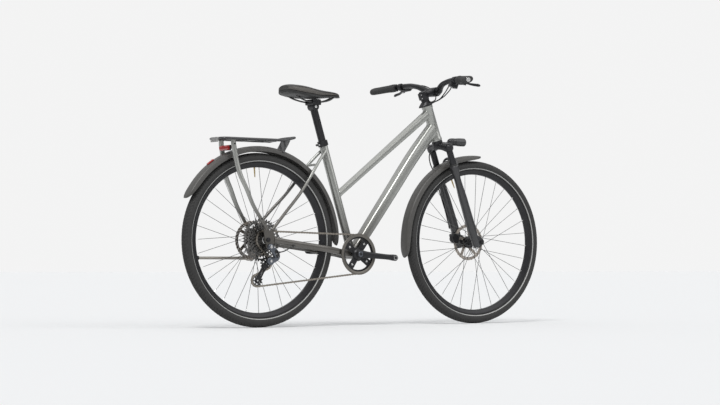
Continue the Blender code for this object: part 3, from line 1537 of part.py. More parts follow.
def spoke_set(flanges):
    """All spokes as square bars from the hub flanges to 0.3 mm short of the rim, crossed three times."""
    mesh = bmesh.new()
    for number in range(SPOKE_COUNT):
        flange = flanges[number % 2]
        lead = 1 if (number // 2) % 2 else -1
        rim_angle = 2 * math.pi * number / SPOKE_COUNT
        hub_angle = rim_angle + lead * SPOKE_LEAD_ANGLE
        head_y = flange + lead * SPOKE_HEAD_SHIFT
        head_x, head_z = arc_points(SPOKE_FLANGE_RADIUS, hub_angle, hub_angle, 1)[0]
        head = Vector((head_x, head_y, head_z))
        tip_x, tip_z = arc_points(RIM_INNER_RADIUS - FIT_GAP, rim_angle, rim_angle, 1)[0]
        tip = Vector((tip_x, math.copysign(SPOKE_TIP_Y, flange), tip_z))
        spoke = sweep([head, tip], SPOKE_RADIUS, 3, over=(0, 1, 0))
        spoke_mesh = bpy.data.meshes.new("spoke")
        spoke.to_mesh(spoke_mesh)
        spoke.free()
        mesh.from_mesh(spoke_mesh)
        bpy.data.meshes.remove(spoke_mesh)
    return mesh


ROTOR_ARMS = 5
ROTOR_CENTRE_RADIUS = 0.0250


def rotor_form(level):
    """The brake rotor: a thin ring on slanted arms, with a bore round the hub's nose."""
    holes = [circle((0, 0), ROTOR_BORE_RADIUS, 12)]
    band = ROTOR_RADIUS - ROTOR_RING_WIDTH
    for number in range(ROTOR_ARMS):
        start = number * 2 * math.pi / ROTOR_ARMS + math.radians(6)
        end = (number + 1) * 2 * math.pi / ROTOR_ARMS - math.radians(6)
        inner_start = start - math.radians(12)
        inner_end = end - math.radians(32)
        holes.append(
            arc_points(band, start, end, 4) + arc_points(ROTOR_CENTRE_RADIUS, inner_end, inner_start, 2)
        )
    return plate(
        circle((0, 0), ROTOR_RADIUS, 32), level - ROTOR_THICKNESS / 2, level + ROTOR_THICKNESS / 2, holes
    )


hub_end = REAR_DROPOUT_FACE - 0.0050 - 2 * FIT_GAP
front_hub_end = FRONT_DROPOUT_FACE - 0.0030 - 2 * FIT_GAP
wheel_sets = (
    ("rear", rear_hub, REAR_FLANGES, REAR_ROTOR_Y, -hub_end, hub_end, FREEHUB_RADIUS),
    ("front", front_hub, FRONT_FLANGES, FRONT_ROTOR_Y, -front_hub_end, front_hub_end, 0.0120),
)
for name, hub, flanges, rotor_y, right_end, left_end, right_radius in wheel_sets:
    add_node(f"{name}_tyre", turn(tyre_profile, WHEEL_STEPS), TYRE_RUBBER, hub)
    add_node(f"{name}_rim", turn(rim_profile, WHEEL_STEPS), BLACK_METAL, hub)
    add_node(f"{name}_rotor", rotor_form(rotor_y), ROTOR_STEEL, hub)
    hub_form = turn(hub_profile(flanges, rotor_y, right_end, left_end, right_radius), 12)
    spokes = add_node(f"{name}_spokes", hub_form, BLACK_METAL, hub)
    unite(spokes, spoke_set(flanges))
    spokes.modifiers[-1].use_self = True

# Seatpost with its head clamp, saddle shell with rails, and the cushion
post_top = SEAT_TUBE_LENGTH + SEATPOST_EXPOSED
HEAD_RADIUS = 0.0170
RAIL_LEVEL = 0.0218
seat_slide = make_empty("seat_slide", (0.0, 0.0, 0.0), parent=seat_axis)
saddle_frame = make_empty("saddle_frame", (0.0, 0.0, post_top), -SEAT_LEAN, seat_slide)
post_form = cylinder(SEATPOST_RADIUS, post_top - SEATPOST_LENGTH, post_top, 16, "Z")
seatpost = add_node("seatpost", post_form, BLACK_METAL, seat_slide)
unite(seatpost, cylinder(HEAD_RADIUS, -0.0200, 0.0200, 12, centre=(0.0, 0.0, post_top)))
clamp_block = box((-0.0210, -0.0295, 0.0050), (0.0210, 0.0295, RAIL_LEVEL + 0.0085))
bmesh.ops.bevel(
    clamp_block, geom=clamp_block.edges[:], offset=0.0030, segments=1, affect="EDGES", offset_type="OFFSET"
)
add_boolean(seatpost, clamp_block, "UNION", saddle_frame)

rail_line = [
    (-0.1180, 0.0340, 0.0480),
    (-0.0800, 0.0280, 0.0300),
    (-0.0500, SADDLE_RAIL_SPREAD, RAIL_LEVEL),
    (0.0400, SADDLE_RAIL_SPREAD, RAIL_LEVEL),
    (0.0720, 0.0150, 0.0300),
    (0.1060, 0.0080, 0.0480),
]
rail_lines = (rail_line, mirrored(rail_line))
for line in rail_lines:
    add_boolean(seatpost, sweep(line, SADDLE_RAIL_RADIUS + FIT_GAP, 8), "DIFFERENCE", saddle_frame)

# Each saddle station is (x, half width, top, seam between cushion and shell, underside)
saddle_stations = [
    (-0.1450, 0.0400, 0.0845, 0.0620, 0.0520),
    (-0.1330, 0.0620, 0.0872, 0.0580, 0.0455),
    (-0.1050, 0.0750, 0.0872, 0.0520, 0.0390),
    (-0.0650, 0.0750, 0.0840, 0.0480, 0.0330),
    (-0.0250, 0.0620, 0.0785, 0.0460, 0.0320),
    (0.0150, 0.0440, 0.0735, 0.0460, 0.0345),
    (0.0550, 0.0300, 0.0695, 0.0490, 0.0400),
    (0.0900, 0.0220, 0.0660, 0.0520, 0.0440),
    (0.1150, 0.0160, 0.0630, 0.0540, 0.0480),
    (0.1260, 0.0070, 0.0590, 0.0550, 0.0505),
]
CHANNEL_DEPTH = 0.0030
CHANNEL_HALF_WIDTH = 0.0090
CHANNEL_HALF_LENGTH = 0.1000
CHANNEL_MIDDLE = -0.0200
cushion_rings = []
shell_rings = []
for x, half_width, top, seam, underside in curve_through(saddle_stations, 2):
    crown = [(half_width * 0.93, seam + FIT_GAP)]
    for step in range(11):
        angle = math.pi * step / 10
        across = half_width * math.cos(angle)
        rise = (top - seam) * (0.10 + 0.90 * math.sin(angle) ** 0.55)
        hollow = math.exp(-((across / CHANNEL_HALF_WIDTH) ** 2))
        fade = max(0.0, 1 - ((x - CHANNEL_MIDDLE) / CHANNEL_HALF_LENGTH) ** 2)
        crown.append((across, seam + rise - CHANNEL_DEPTH * hollow * fade))
    crown.append((-half_width * 0.93, seam + FIT_GAP))
    cushion_rings.append([(x, y, z) for y, z in crown])
    shell = [
        (half_width * 0.92, seam),
        (half_width * 0.90, seam - (seam - underside) * 0.55),
        (half_width * 0.55, underside),
        (-half_width * 0.55, underside),
        (-half_width * 0.90, seam - (seam - underside) * 0.55),
        (-half_width * 0.92, seam),
    ]
    shell_rings.append([(x, y, z) for y, z in shell])
add_node("saddle_cushion", loft(cushion_rings), SADDLE_COVER, saddle_frame)
saddle_base = add_node("saddle_base", loft(shell_rings), SADDLE_PLASTIC, saddle_frame)
unite(saddle_base, *[sweep(line, SADDLE_RAIL_RADIUS, 8) for line in rail_lines])

# Fork upper part: steerer, crown race, crown with sloping shoulders, two stanchions
STEERER_TOP = 0.7000
CROWN_LEVEL = 0.4500
steerer_form = cylinder(STEERER_RADIUS, CROWN_LEVEL, STEERER_TOP, 12, "Z")
fork_crown = add_node("fork_crown", steerer_form, BLACK_METAL, steering)
crown_half = [
    (0.0020, 0.0000, 0.4570, 0.0240, 0.0155),
    (0.0045, 0.0250, 0.4540, 0.0225, 0.0155),
    (0.0070, 0.0480, 0.4470, 0.0215, 0.0170),
    (LEG_X, LEG_SPREAD, 0.4430, 0.0205, 0.0180),
    (LEG_X, LEG_SPREAD + 0.0120, 0.4420, 0.0170, 0.0165),
    (LEG_X, LEG_SPREAD + 0.0190, 0.4410, 0.0090, 0.0110),
]
crown_stations = [(x, -y, z, w, h) for x, y, z, w, h in reversed(crown_half[1:])] + crown_half
unite(
    fork_crown,
    sweep(
        [(x, y, z) for x, y, z, _, _ in crown_stations],
        [(w, h) for _, _, _, w, h in crown_stations],
        8,
        squareness=0.75,
    ),
    cylinder(HEAD_TUBE_LIP_RADIUS - 0.001, 0.4600, HEAD_TUBE_FOOT - FIT_GAP, 16, "Z"),
    *[
        cylinder(STANCHION_RADIUS, STANCHION_FOOT, CROWN_LEVEL, 12, "Z", (LEG_X, side * LEG_SPREAD, 0.0))
        for side in (1, -1)
    ],
)

# Headset cover: a cap drawn out to the rear, with the spacers under the stem
COVER_HEIGHT = 0.0170
SPACER_RADIUS = 0.0178
STEM_FOOT = HEAD_TUBE_TOP + 0.0265
cover_rings = []
for height, front, rear, half_width in (
    (HEAD_TUBE_TOP + FIT_GAP, 0.0270, 0.0400, 0.0250),
    (HEAD_TUBE_TOP + 0.0060, 0.0265, 0.0360, 0.0248),
    (HEAD_TUBE_TOP + COVER_HEIGHT, SPACER_RADIUS + 0.0015, 0.0220, SPACER_RADIUS + 0.0015),
):
    ring = []
    for index in range(16):
        angle = 2 * math.pi * index / 16
        reach = front if math.cos(angle) > 0 else rear
        ring.append((reach * math.cos(angle), half_width * math.sin(angle), height))
    cover_rings.append(ring)
headset_cover = add_node("headset_cover", loft(cover_rings), BLACK_METAL, steering)
unite(headset_cover, cylinder(SPACER_RADIUS, HEAD_TUBE_TOP + 0.0100, STEM_FOOT - FIT_GAP, 12, "Z"))
cut(headset_cover, cylinder(STEERER_RADIUS + FIT_GAP, HEAD_TUBE_TOP - 0.01, STEM_FOOT + 0.01, 12, "Z"))

# Stem: steerer clamp with its cap, a short extension and the handlebar clamp
STEM_TOP = 0.7040
stem = add_node("stem", cylinder(0.0190, STEM_FOOT, STEM_TOP, 16, "Z"), BLACK_METAL, steering)
unite(
    stem,
    sweep(
        [(0.0080, 0.0, 0.6860), (STEM_REACH - 0.0200, 0.0, 0.6850), (STEM_REACH, 0.0, STEM_HEIGHT)],
        [(0.0150, 0.0150), (0.0170, 0.0140), (0.0210, 0.0150)],
        8,
        squareness=0.75,
    ),
    cylinder(0.0208, -0.0225, 0.0225, 20, centre=(STEM_REACH, 0.0, STEM_HEIGHT)),
)
cut(
    stem,
    cylinder(STEERER_RADIUS + FIT_GAP, STEM_FOOT - 0.01, STEERER_TOP + FIT_GAP, 12, "Z"),
    cylinder(BAR_CLAMP_RADIUS + FIT_GAP, -0.03, 0.03, 20, centre=(STEM_REACH, 0.0, STEM_HEIGHT)),
)

# Handlebar: straight in the clamp, rising and swept back, straight again under the controls
BAR_BEND_END = Vector((0.0493, 0.1650, 0.7268))
BAR_TIP = Vector((-0.0018, 0.3450, 0.7325))
bend_points = [
    (STEM_REACH, 0.0260, STEM_HEIGHT),
    (0.0568, 0.0400, 0.6880),
    (0.0530, 0.0580, 0.7000),
    (0.0500, 0.0850, 0.7140),
    (0.0493, 0.1150, 0.7215),
    (0.0505, 0.1450, 0.7257),
    BAR_BEND_END,
]
bar_half = curve_through(bend_points, 1) + [BAR_TIP]
bar_radii = [BAR_CLAMP_RADIUS, 0.0152, 0.0136, 0.0120]
bar_radii += [BAR_GRIP_RADIUS] * (len(bar_half) - len(bar_radii))
full_bar = [Vector((p.x, -p.y, p.z)) for p in reversed(bar_half)] + bar_half
full_radii = list(reversed(bar_radii)) + bar_radii
add_node("handlebar", sweep(full_bar, full_radii, 10), BLACK_METAL, steering)

bar_way = (BAR_TIP - BAR_BEND_END).normalized()


def on_bar(reach, hand=1):
    """The point of the bar's straight end at this distance from the bike's middle plane."""
    point = BAR_BEND_END + bar_way * ((reach - BAR_BEND_END.y) / bar_way.y)
    return Vector((point.x, hand * point.y, point.z))


def bar_envelope(hand):
    """The straight end of the bar with a fit gap, as a cutter."""
    ends = [on_bar(BAR_BEND_END.y - 0.02, hand), on_bar(BAR_TIP.y + FIT_GAP, hand)]
    return sweep(ends, BAR_GRIP_RADIUS + FIT_GAP, 10)


# Grips: round at the thumb, widening rearwards into a palm rest
grip_stations = [
    (GRIP_START, 0.0150, 0.0150),
    (GRIP_START + 0.004, 0.0168, 0.0165),
    (GRIP_START + 0.045, 0.0172, 0.0158),
    (GRIP_START + 0.080, 0.0215, 0.0152),
    (GRIP_START + 0.108, 0.0262, 0.0140),
    (GRIP_START + 0.123, 0.0255, 0.0128),
    (GRIP_END, 0.0200, 0.0090),
]
for side, hand in (("left", 1), ("right", -1)):
    centres = []
    for reach, half_width, _ in grip_stations:
        centres.append(on_bar(reach, hand) - Vector((half_width - grip_stations[0][1], 0.0, 0.0)) * 0.75)
    grip = add_node(
        f"grip_{side}",
        sweep(centres, [(w, d) for _, w, d in grip_stations], 10, squareness=0.9),
        GRIP_RUBBER,
        steering,
    )
    cut(grip, bar_envelope(hand))

# Lever sets. Each is drawn in a frame on the bar: X out along the bar, Y forward and down, Z square to both.
PIVOT_OUT = 0.0140
PIVOT_FORWARD = 0.0360
LEVER_HALF_THICKNESS = 0.0048
BODY_RADIUS = 0.0110


def lever_matrix(hand):
    """The lever frame of one side in the steering coordinates."""
    out = Vector((bar_way.x, hand * bar_way.y, bar_way.z))
    ahead = Vector((math.cos(LEVER_ANGLE), 0.0, -math.sin(LEVER_ANGLE)))
    ahead = (ahead - out * ahead.dot(out)).normalized()
    square = out.cross(ahead)
    matrix = Matrix((out, ahead, square)).transposed().to_4x4()
    matrix.translation = on_bar(LEVER_MOUNT_Y, hand)
    return matrix


def pin_along_z(radius, low, high, centre, steps=8):
    """A round pin square to the lever's plane."""
    return cylinder(radius, low, high, steps, "Z", (centre[0], centre[1], 0.0))


for side, hand in (("left", 1), ("right", -1)):
    frame = make_empty(f"lever_frame_{side}", (0.0, 0.0, 0.0), parent=steering)
    frame.matrix_local = lever_matrix(hand)
    up = -hand
    mount = add_node(
        f"lever_mount_{side}", cylinder(0.0158, -0.0080, 0.0080, 12, "X"), BLACK_METAL, frame
    )
    reservoir = sorted((up * 0.0040, up * 0.0195))
    unite(
        mount,
        sweep(
            [(-0.0360, 0.0265, 0), (-0.0330, 0.0265, 0), (0.0020, 0.0285, 0), (0.0080, 0.0300, 0)],
            [0.0080, BODY_RADIUS, BODY_RADIUS, 0.0100],
            8,
        ),
        box((-0.0070, 0.0100, -0.0080), (0.0070, 0.0300, 0.0080)),
        box((-0.0290, 0.0160, reservoir[0]), (0.0052, 0.0330, reservoir[1])),
        box((0.0020, 0.0250, -0.0090), (0.0230, 0.0440, 0.0090)),
    )
    cut(mount, moved(bar_envelope(hand), lever_matrix(hand).inverted()))
    slot_half = LEVER_HALF_THICKNESS + FIT_GAP
    cut(mount, box((PIVOT_OUT - 0.0080, PIVOT_FORWARD - 0.0080, -slot_half), (0.0600, 0.0700, slot_half)))
    unite(mount, pin_along_z(0.0022, -0.0080, 0.0080, (PIVOT_OUT, PIVOT_FORWARD)))

    lever_axis = make_empty(f"lever_axis_{side}", (PIVOT_OUT, PIVOT_FORWARD, 0.0), parent=frame)
    lever = add_node(
        f"brake_lever_{side}",
        cylinder(0.0072, -LEVER_HALF_THICKNESS, LEVER_HALF_THICKNESS, 12, "Z"),
        BLACK_METAL,
        lever_axis,
    )
    blade = [
        (0.0000, 0.0000, 0.0),
        (0.0120, 0.0060, 0.0),
        (0.0280, 0.0180, 0.0),
        (0.0440, 0.0255, 0.0),
        (0.0600, 0.0300, 0.0),
        (0.0740, 0.0350, 0.0),
        (0.0800, 0.0390, 0.0),
    ]
    unite(
        lever,
        sweep(
            blade,
            [
                (0.0060, 0.0040),
                (0.0060, 0.0040),
                (0.0050, 0.0050),
                (0.0046, 0.0058),
                (0.0044, 0.0060),
                (0.0046, 0.0060),
                (0.0036, 0.0040),
            ],
            6,
            squareness=0.8,
        ),
    )
    cut(lever, cylinder(0.0025, -0.02, 0.02, 10, "Z"))

# Gear shifter under the right end of the bar, with its thumb lever
right_frame = bpy.data.objects["lever_frame_right"]
SHIFTER_OUT = -0.0200
POD_TOP = -0.0125
POD_FOOT = -0.0310
band_form = cylinder(0.0150, SHIFTER_OUT - 0.0055, SHIFTER_OUT + 0.0055, 12, "X")
shifter = add_node("shifter", band_form, BLACK_METAL, right_frame)
pod = box((-0.0420, -0.0130, POD_FOOT), (-0.0084, 0.0240, POD_TOP))
bmesh.ops.bevel(pod, geom=pod.edges[:], offset=0.0050, segments=1, affect="EDGES", offset_type="OFFSET")
unite(shifter, pod)
cut(shifter, moved(bar_envelope(-1), lever_matrix(-1).inverted()))
thumb_axis = make_empty("shift_lever_axis", (SHIFTER_OUT, 0.0040, POD_FOOT - FIT_GAP), parent=right_frame)
shift_lever = add_node("shift_lever", cylinder(0.0080, -0.0036, 0.0, 12, "Z"), BLACK_METAL, thumb_axis)
unite(
    shift_lever,
    sweep(
        [
            (0.0, 0.0, -0.0020),
            (0.0180, -0.0120, -0.0022),
            (0.0300, -0.0180, -0.0030),
            (0.0380, -0.0200, -0.0040),
        ],
        [(0.0060, 0.0015), (0.0050, 0.0016), (0.0075, 0.0024), (0.0060, 0.0020)],
        6,
    ),
)

# Hoses and gear cable on the bars: three runs into one grommet at the headset cover's front
GROMMET_FRONT = 0.0270 + FIT_GAP
GROMMET_DEPTH = 0.0080
GROMMET_HALF_WIDTH = 0.0140
grommet = box(
    (GROMMET_FRONT, -GROMMET_HALF_WIDTH, HEAD_TUBE_TOP + 0.0010),
    (GROMMET_FRONT + GROMMET_DEPTH, GROMMET_HALF_WIDTH, HEAD_TUBE_TOP + 0.0090),
)
grommet_face = GROMMET_FRONT + GROMMET_DEPTH / 2
level = HEAD_TUBE_TOP + 0.0050
hose_routes = []
for hand, entry in ((1, 0.0090), (-1, -0.0090)):
    start = lever_matrix(hand) @ Vector((-0.0363, 0.0265, 0.0))
    inward = (lever_matrix(hand).to_3x3() @ Vector((-1.0, 0.0, 0.0))).normalized()
    hose_routes.append(
        [
            start,
            start + inward * 0.020,
            Vector((0.0820, hand * 0.1120, 0.7150)),
            Vector((0.0930, hand * 0.0700, 0.6960)),
            Vector((0.0880, hand * 0.0360, 0.6700)),
            Vector((0.0640, hand * 0.0150, 0.6480)),
            Vector((grommet_face, entry, level)),
        ]
    )
cable_start = lever_matrix(-1) @ Vector((-0.0423, 0.0060, -0.0215))
cable_inward = (lever_matrix(-1).to_3x3() @ Vector((-1.0, 0.0, 0.0))).normalized()
hose_routes.append(
    [
        cable_start,
        cable_start + cable_inward * 0.018,
        Vector((0.0700, -0.1100, 0.6900)),
        Vector((0.0800, -0.0650, 0.6700)),
        Vector((0.0760, -0.0280, 0.6530)),
        Vector((0.0560, -0.0060, 0.6440)),
        Vector((grommet_face, 0.0, level - 0.0010)),
    ]
)
bar_hoses = add_node("bar_hoses", grommet, HOSE_PLASTIC, steering)
for points in hose_routes:
    unite(bar_hoses, sweep(curve_through(points, 2), 0.0025, 5, over=(0.3, 0.2, 1)))

# Headlight: a bullet housing on a bracket from the crown's front
light_axis = make_empty("headlight_axis", (0.0580, 0.0, 0.4570), -HEAD_LEAN, steering)
headlight = add_node(
    "headlight",
    turn(
        [
            (0, 0.0880),
            (0.0165, 0.0870),
            (0.0178, 0.0840),
            (0.0178, 0.0560),
            (0.0162, 0.0400),
            (0.0160, 0.0180),
            (0.0140, 0.0070),
            (0.0090, 0.0010),
            (0, 0.0),
        ],
        14,
        "X",
    ),
    LENS_PLASTIC,
    light_axis,
)
crown_front = 0.0020 + 0.0240 * math.cos(math.pi / 8) ** 0.75
bracket = box((crown_front + FIT_GAP, -0.0060, 0.4500), (0.0700, 0.0060, 0.4590))
add_boolean(headlight, bracket, "UNION", steering)

# Fork lowers: two legs with open tops for the stanchions, an arch over the mudguard and forward dropouts
lowers_frame = make_empty("fork_slide", (0.0, 0.0, 0.0), parent=steering)
LEG_FOOT = -0.0120
ARCH_HALF_DEPTH = 0.0055
FORK_DROPOUT_THICKNESS = 0.0100
STANCHION_BORE_FOOT = STANCHION_FOOT - FORK_TRAVEL - 0.0050
LEG_BORE_START = STANCHION_BORE_FOOT + 0.0050


def leg_outline(clearance=0.0):
    """The leg's outer form as (radius, height), from its open top down to its rounded foot."""
    outline = [
        (LOWER_RADIUS - 0.0020, LOWER_TOP),
        (LOWER_RADIUS, LOWER_TOP - 0.0040),
        (LOWER_RADIUS - 0.0010, 0.2000),
        (LOWER_RADIUS - 0.0025, 0.0200),
        (LOWER_RADIUS - 0.0050, LEG_FOOT + 0.0040),
        (LOWER_RADIUS - 0.0080, LEG_FOOT),
    ]
    return [(radius + clearance, height) for radius, height in outline] + [(0, LEG_FOOT)]


leg_core = [(0, LEG_BORE_START), (LOWER_RADIUS / 2, LEG_BORE_START), (LOWER_RADIUS / 2, LOWER_TOP)]
leg_profile = leg_core + leg_outline()
leg_centres = [(LEG_X, side * LEG_SPREAD, 0.0) for side in (1, -1)]
fork_lowers = add_node("fork_lowers", turn(leg_profile, 12, "Z", leg_centres[0]), BLACK_PAINT, lowers_frame)
arch_height = FRONT_MUDGUARD_RADIUS + FIT_GAP + ARCH_HALF_DEPTH
arch_half = [
    (FORK_OFFSET, 0.0000, arch_height),
    (FORK_OFFSET, 0.0230, arch_height - 0.0005),
    (FORK_OFFSET - 0.0020, 0.0380, arch_height - 0.0090),
    (FORK_OFFSET - 0.0100, 0.0500, arch_height - 0.0280),
    (LEG_X + 0.0012, LEG_SPREAD - 0.0009, arch_height - 0.0540),
]
arch_line = [(x, -y, z) for x, y, z in reversed(arch_half[1:])] + arch_half
unite(fork_lowers, turn(leg_profile, 12, "Z", leg_centres[1]))
unite(fork_lowers, sweep(arch_line, (0.0080, ARCH_HALF_DEPTH), 8, over=(-0.15, 0, 1), squareness=0.8))
fork_dropout = [
    (FORK_OFFSET + 0.0100, 0.0100),
    (LEG_X + 0.0120, 0.0450),
    (LEG_X - 0.0100, 0.0450),
    (LEG_X - 0.0120, LEG_FOOT + 0.0060),
    (LEG_X, LEG_FOOT - 0.0010),
    *arc_points(0.0140, math.radians(-115), math.radians(40), 6, (FORK_OFFSET, 0.0)),
]
for hand in (1, -1):
    faces = sorted((hand * FRONT_DROPOUT_FACE, hand * (FRONT_DROPOUT_FACE + FORK_DROPOUT_THICKNESS)))
    unite(fork_lowers, plate(fork_dropout, *faces))
cut(
    fork_lowers,
    *[
        cylinder(STANCHION_RADIUS + FIT_GAP, STANCHION_BORE_FOOT, LOWER_TOP + 0.01, 12, "Z", centre)
        for centre in leg_centres
    ],
    cylinder(AXLE_RADIUS + FIT_GAP, -0.09, 0.09, 12, centre=(FORK_OFFSET, 0.0, 0.0)),
)
front_axle_profile = axle_profile(FRONT_DROPOUT_FACE, FORK_DROPOUT_THICKNESS, 0.0030, 0.0065)
add_node("front_axle", turn(front_axle_profile, 8), BLACK_METAL, front_hub)

front_caliper_angle = math.radians(147)
front_caliper_place = (
    Matrix.Translation((0.0, FRONT_ROTOR_Y, 0.0))
    @ Matrix.Rotation(-(front_caliper_angle - math.pi / 2), 4, "Y")
    @ Matrix.Translation((0.0, 0.0, ROTOR_RADIUS - 0.0060))
)
front_caliper = add_node(
    "front_brake_caliper", moved(caliper_form(0.0150), front_caliper_place), BLACK_METAL, front_hub
)
unite(front_caliper, box((-0.0680, 0.0480, 0.0200), (-0.0400, 0.0660, 0.0600)))
cut(front_caliper, moved(rotor_slot(), Matrix.Translation((0.0, FRONT_ROTOR_Y, 0.0))))
cut(
    front_caliper,
    turn([(0, LOWER_TOP), *leg_outline(FIT_GAP)], 12, "Z", leg_centres[0]),
    parent=lowers_frame,
)
add_cord(
    "front_brake_hose",
    [
        (-0.0300, 0.0180, 0.4480),
        (-0.0390, 0.0260, 0.4300),
        (-0.0360, 0.0420, 0.3950),
        (-0.0200, 0.0580, 0.3500),
        (-0.0144, 0.0640, 0.3000),
        (-0.0138, 0.0640, 0.2200),
        (-0.0133, 0.0640, 0.1500),
        (-0.0200, 0.0580, 0.1080),
        (-0.0245, 0.0520, 0.0860),
    ],
    0.0025,
    HOSE_PLASTIC,
    lowers_frame,
)
add_node(
    "front_mudguard",
    mudguard_form(FRONT_MUDGUARD_RADIUS, math.radians(64.5), math.radians(171), 16),
    GUARD_PLASTIC,
    front_hub,
)
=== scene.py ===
"""Looks of the trekking bike, built piece by piece over its frame. Metres, +X forward, +Y left, +Z up."""

import math

import bpy
import numpy as np
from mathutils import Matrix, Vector
from mathutils.geometry import tessellate_polygon


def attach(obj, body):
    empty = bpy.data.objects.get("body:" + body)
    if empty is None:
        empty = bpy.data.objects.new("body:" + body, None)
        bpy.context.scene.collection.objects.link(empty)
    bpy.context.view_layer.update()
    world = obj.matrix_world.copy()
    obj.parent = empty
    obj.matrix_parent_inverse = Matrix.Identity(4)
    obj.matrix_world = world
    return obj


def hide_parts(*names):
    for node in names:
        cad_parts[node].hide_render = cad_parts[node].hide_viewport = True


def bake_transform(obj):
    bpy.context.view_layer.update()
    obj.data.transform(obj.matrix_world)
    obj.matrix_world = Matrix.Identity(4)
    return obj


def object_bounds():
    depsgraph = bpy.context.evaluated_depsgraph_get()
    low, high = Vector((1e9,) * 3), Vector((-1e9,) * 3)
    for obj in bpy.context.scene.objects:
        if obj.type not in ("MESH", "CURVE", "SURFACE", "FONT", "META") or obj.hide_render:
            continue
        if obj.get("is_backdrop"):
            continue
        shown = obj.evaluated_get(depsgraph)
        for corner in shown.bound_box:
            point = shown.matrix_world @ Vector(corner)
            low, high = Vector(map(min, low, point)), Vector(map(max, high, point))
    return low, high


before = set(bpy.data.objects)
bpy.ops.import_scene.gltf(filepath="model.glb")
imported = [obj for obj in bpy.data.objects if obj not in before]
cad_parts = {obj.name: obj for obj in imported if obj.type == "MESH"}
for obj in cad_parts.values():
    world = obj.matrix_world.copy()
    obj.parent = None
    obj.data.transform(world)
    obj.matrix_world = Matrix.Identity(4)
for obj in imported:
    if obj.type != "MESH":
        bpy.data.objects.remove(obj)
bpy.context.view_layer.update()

scene = bpy.context.scene
scene.view_settings.view_transform = "Standard"

# Camera: a long lens near the floor, ahead of the bike's right side and a little behind its middle.
# Its place comes from a fit to both wheels; no shift and no depth of field.
camera_data = bpy.data.cameras.new("camera")
camera_data.lens = 98.49
camera_data.sensor_width = 36.0
camera_data.clip_end = 200.0
camera = bpy.data.objects.new("camera", camera_data)
camera.location = (-4.76245, -6.85675, 0.2434)
camera.rotation_euler = (math.radians(90 + 1.8956), 0.0, math.radians(-34.4953))
scene.collection.objects.link(camera)
scene.camera = camera

# Stage: a plain pale floor under a soft key lamp from the camera's left and a weaker one from its right.
# The camera sees a backdrop as bright as the lit floor. Reflections see a dimmer room with a bright
# ceiling, so that paint and metal keep dark and light sides.
floor_mesh = bpy.data.meshes.new("studio_floor")
floor_mesh.from_pydata([(-90, -90, 0), (90, -90, 0), (90, 90, 0), (-90, 90, 0)], [], [(0, 1, 2, 3)])
floor = bpy.data.objects.new("studio_floor", floor_mesh)
scene.collection.objects.link(floor)
floor_paint = bpy.data.materials.new("studio floor")
floor_paint.use_nodes = True
floor_shader = floor_paint.node_tree.nodes["Principled BSDF"]
floor_shader.inputs["Base Color"].default_value = (0.86, 0.86, 0.86, 1.0)
floor_shader.inputs["Roughness"].default_value = 1.0
floor_shader.inputs["Specular IOR Level"].default_value = 0.0
floor_mesh.materials.append(floor_paint)
floor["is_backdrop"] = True

world = bpy.data.worlds.new("studio")
world.use_nodes = True
scene.world = world
sky_nodes = world.node_tree.nodes
sky_links = world.node_tree.links
ray_kind = sky_nodes.new("ShaderNodeLightPath")
sky = sky_nodes.new("ShaderNodeTexCoord")
height = sky_nodes.new("ShaderNodeSeparateXYZ")
sky_links.new(sky.outputs["Generated"], height.inputs["Vector"])
ceiling = sky_nodes.new("ShaderNodeValToRGB")
ceiling.color_ramp.elements[0].position = 0.05
ceiling.color_ramp.elements[0].color = (0.16, 0.16, 0.17, 1.0)
ceiling.color_ramp.elements[1].position = 0.75
ceiling.color_ramp.elements[1].color = (1.0, 1.0, 1.0, 1.0)
sky_links.new(height.outputs["Z"], ceiling.inputs["Fac"])
room = sky_nodes["Background"]
room.inputs["Color"].default_value = (0.96, 0.98, 1.0, 1.0)
room.inputs["Strength"].default_value = 0.6
mirrored_room = sky_nodes.new("ShaderNodeBackground")
sky_links.new(ceiling.outputs["Color"], mirrored_room.inputs["Color"])
backdrop = sky_nodes.new("ShaderNodeBackground")
backdrop.inputs["Color"].default_value = (1.0, 1.0, 1.0, 1.0)
backdrop.inputs["Strength"].default_value = 0.9
first_choice = sky_nodes.new("ShaderNodeMixShader")
sky_links.new(ray_kind.outputs["Is Glossy Ray"], first_choice.inputs["Fac"])
sky_links.new(room.outputs["Background"], first_choice.inputs[1])
sky_links.new(mirrored_room.outputs["Background"], first_choice.inputs[2])
choice = sky_nodes.new("ShaderNodeMixShader")
sky_links.new(ray_kind.outputs["Is Camera Ray"], choice.inputs["Fac"])
sky_links.new(first_choice.outputs["Shader"], choice.inputs[1])
sky_links.new(backdrop.outputs["Background"], choice.inputs[2])
sky_links.new(choice.outputs["Shader"], sky_nodes["World Output"].inputs["Surface"])


def soft_sun(name, way, strength, spread):
    """A wide far lamp that shines along a direction, soft over that many degrees."""
    data = bpy.data.lights.new(name, "SUN")
    data.energy = strength
    data.angle = math.radians(spread)
    lamp = bpy.data.objects.new(name, data)
    lamp.rotation_euler = Vector(way).to_track_quat("-Z", "Y").to_euler()
    scene.collection.objects.link(lamp)


soft_sun("key", (0.72, 0.62, -1.15), 1.5, 24)
soft_sun("fill", (-0.55, 0.75, -0.55), 0.5, 40)


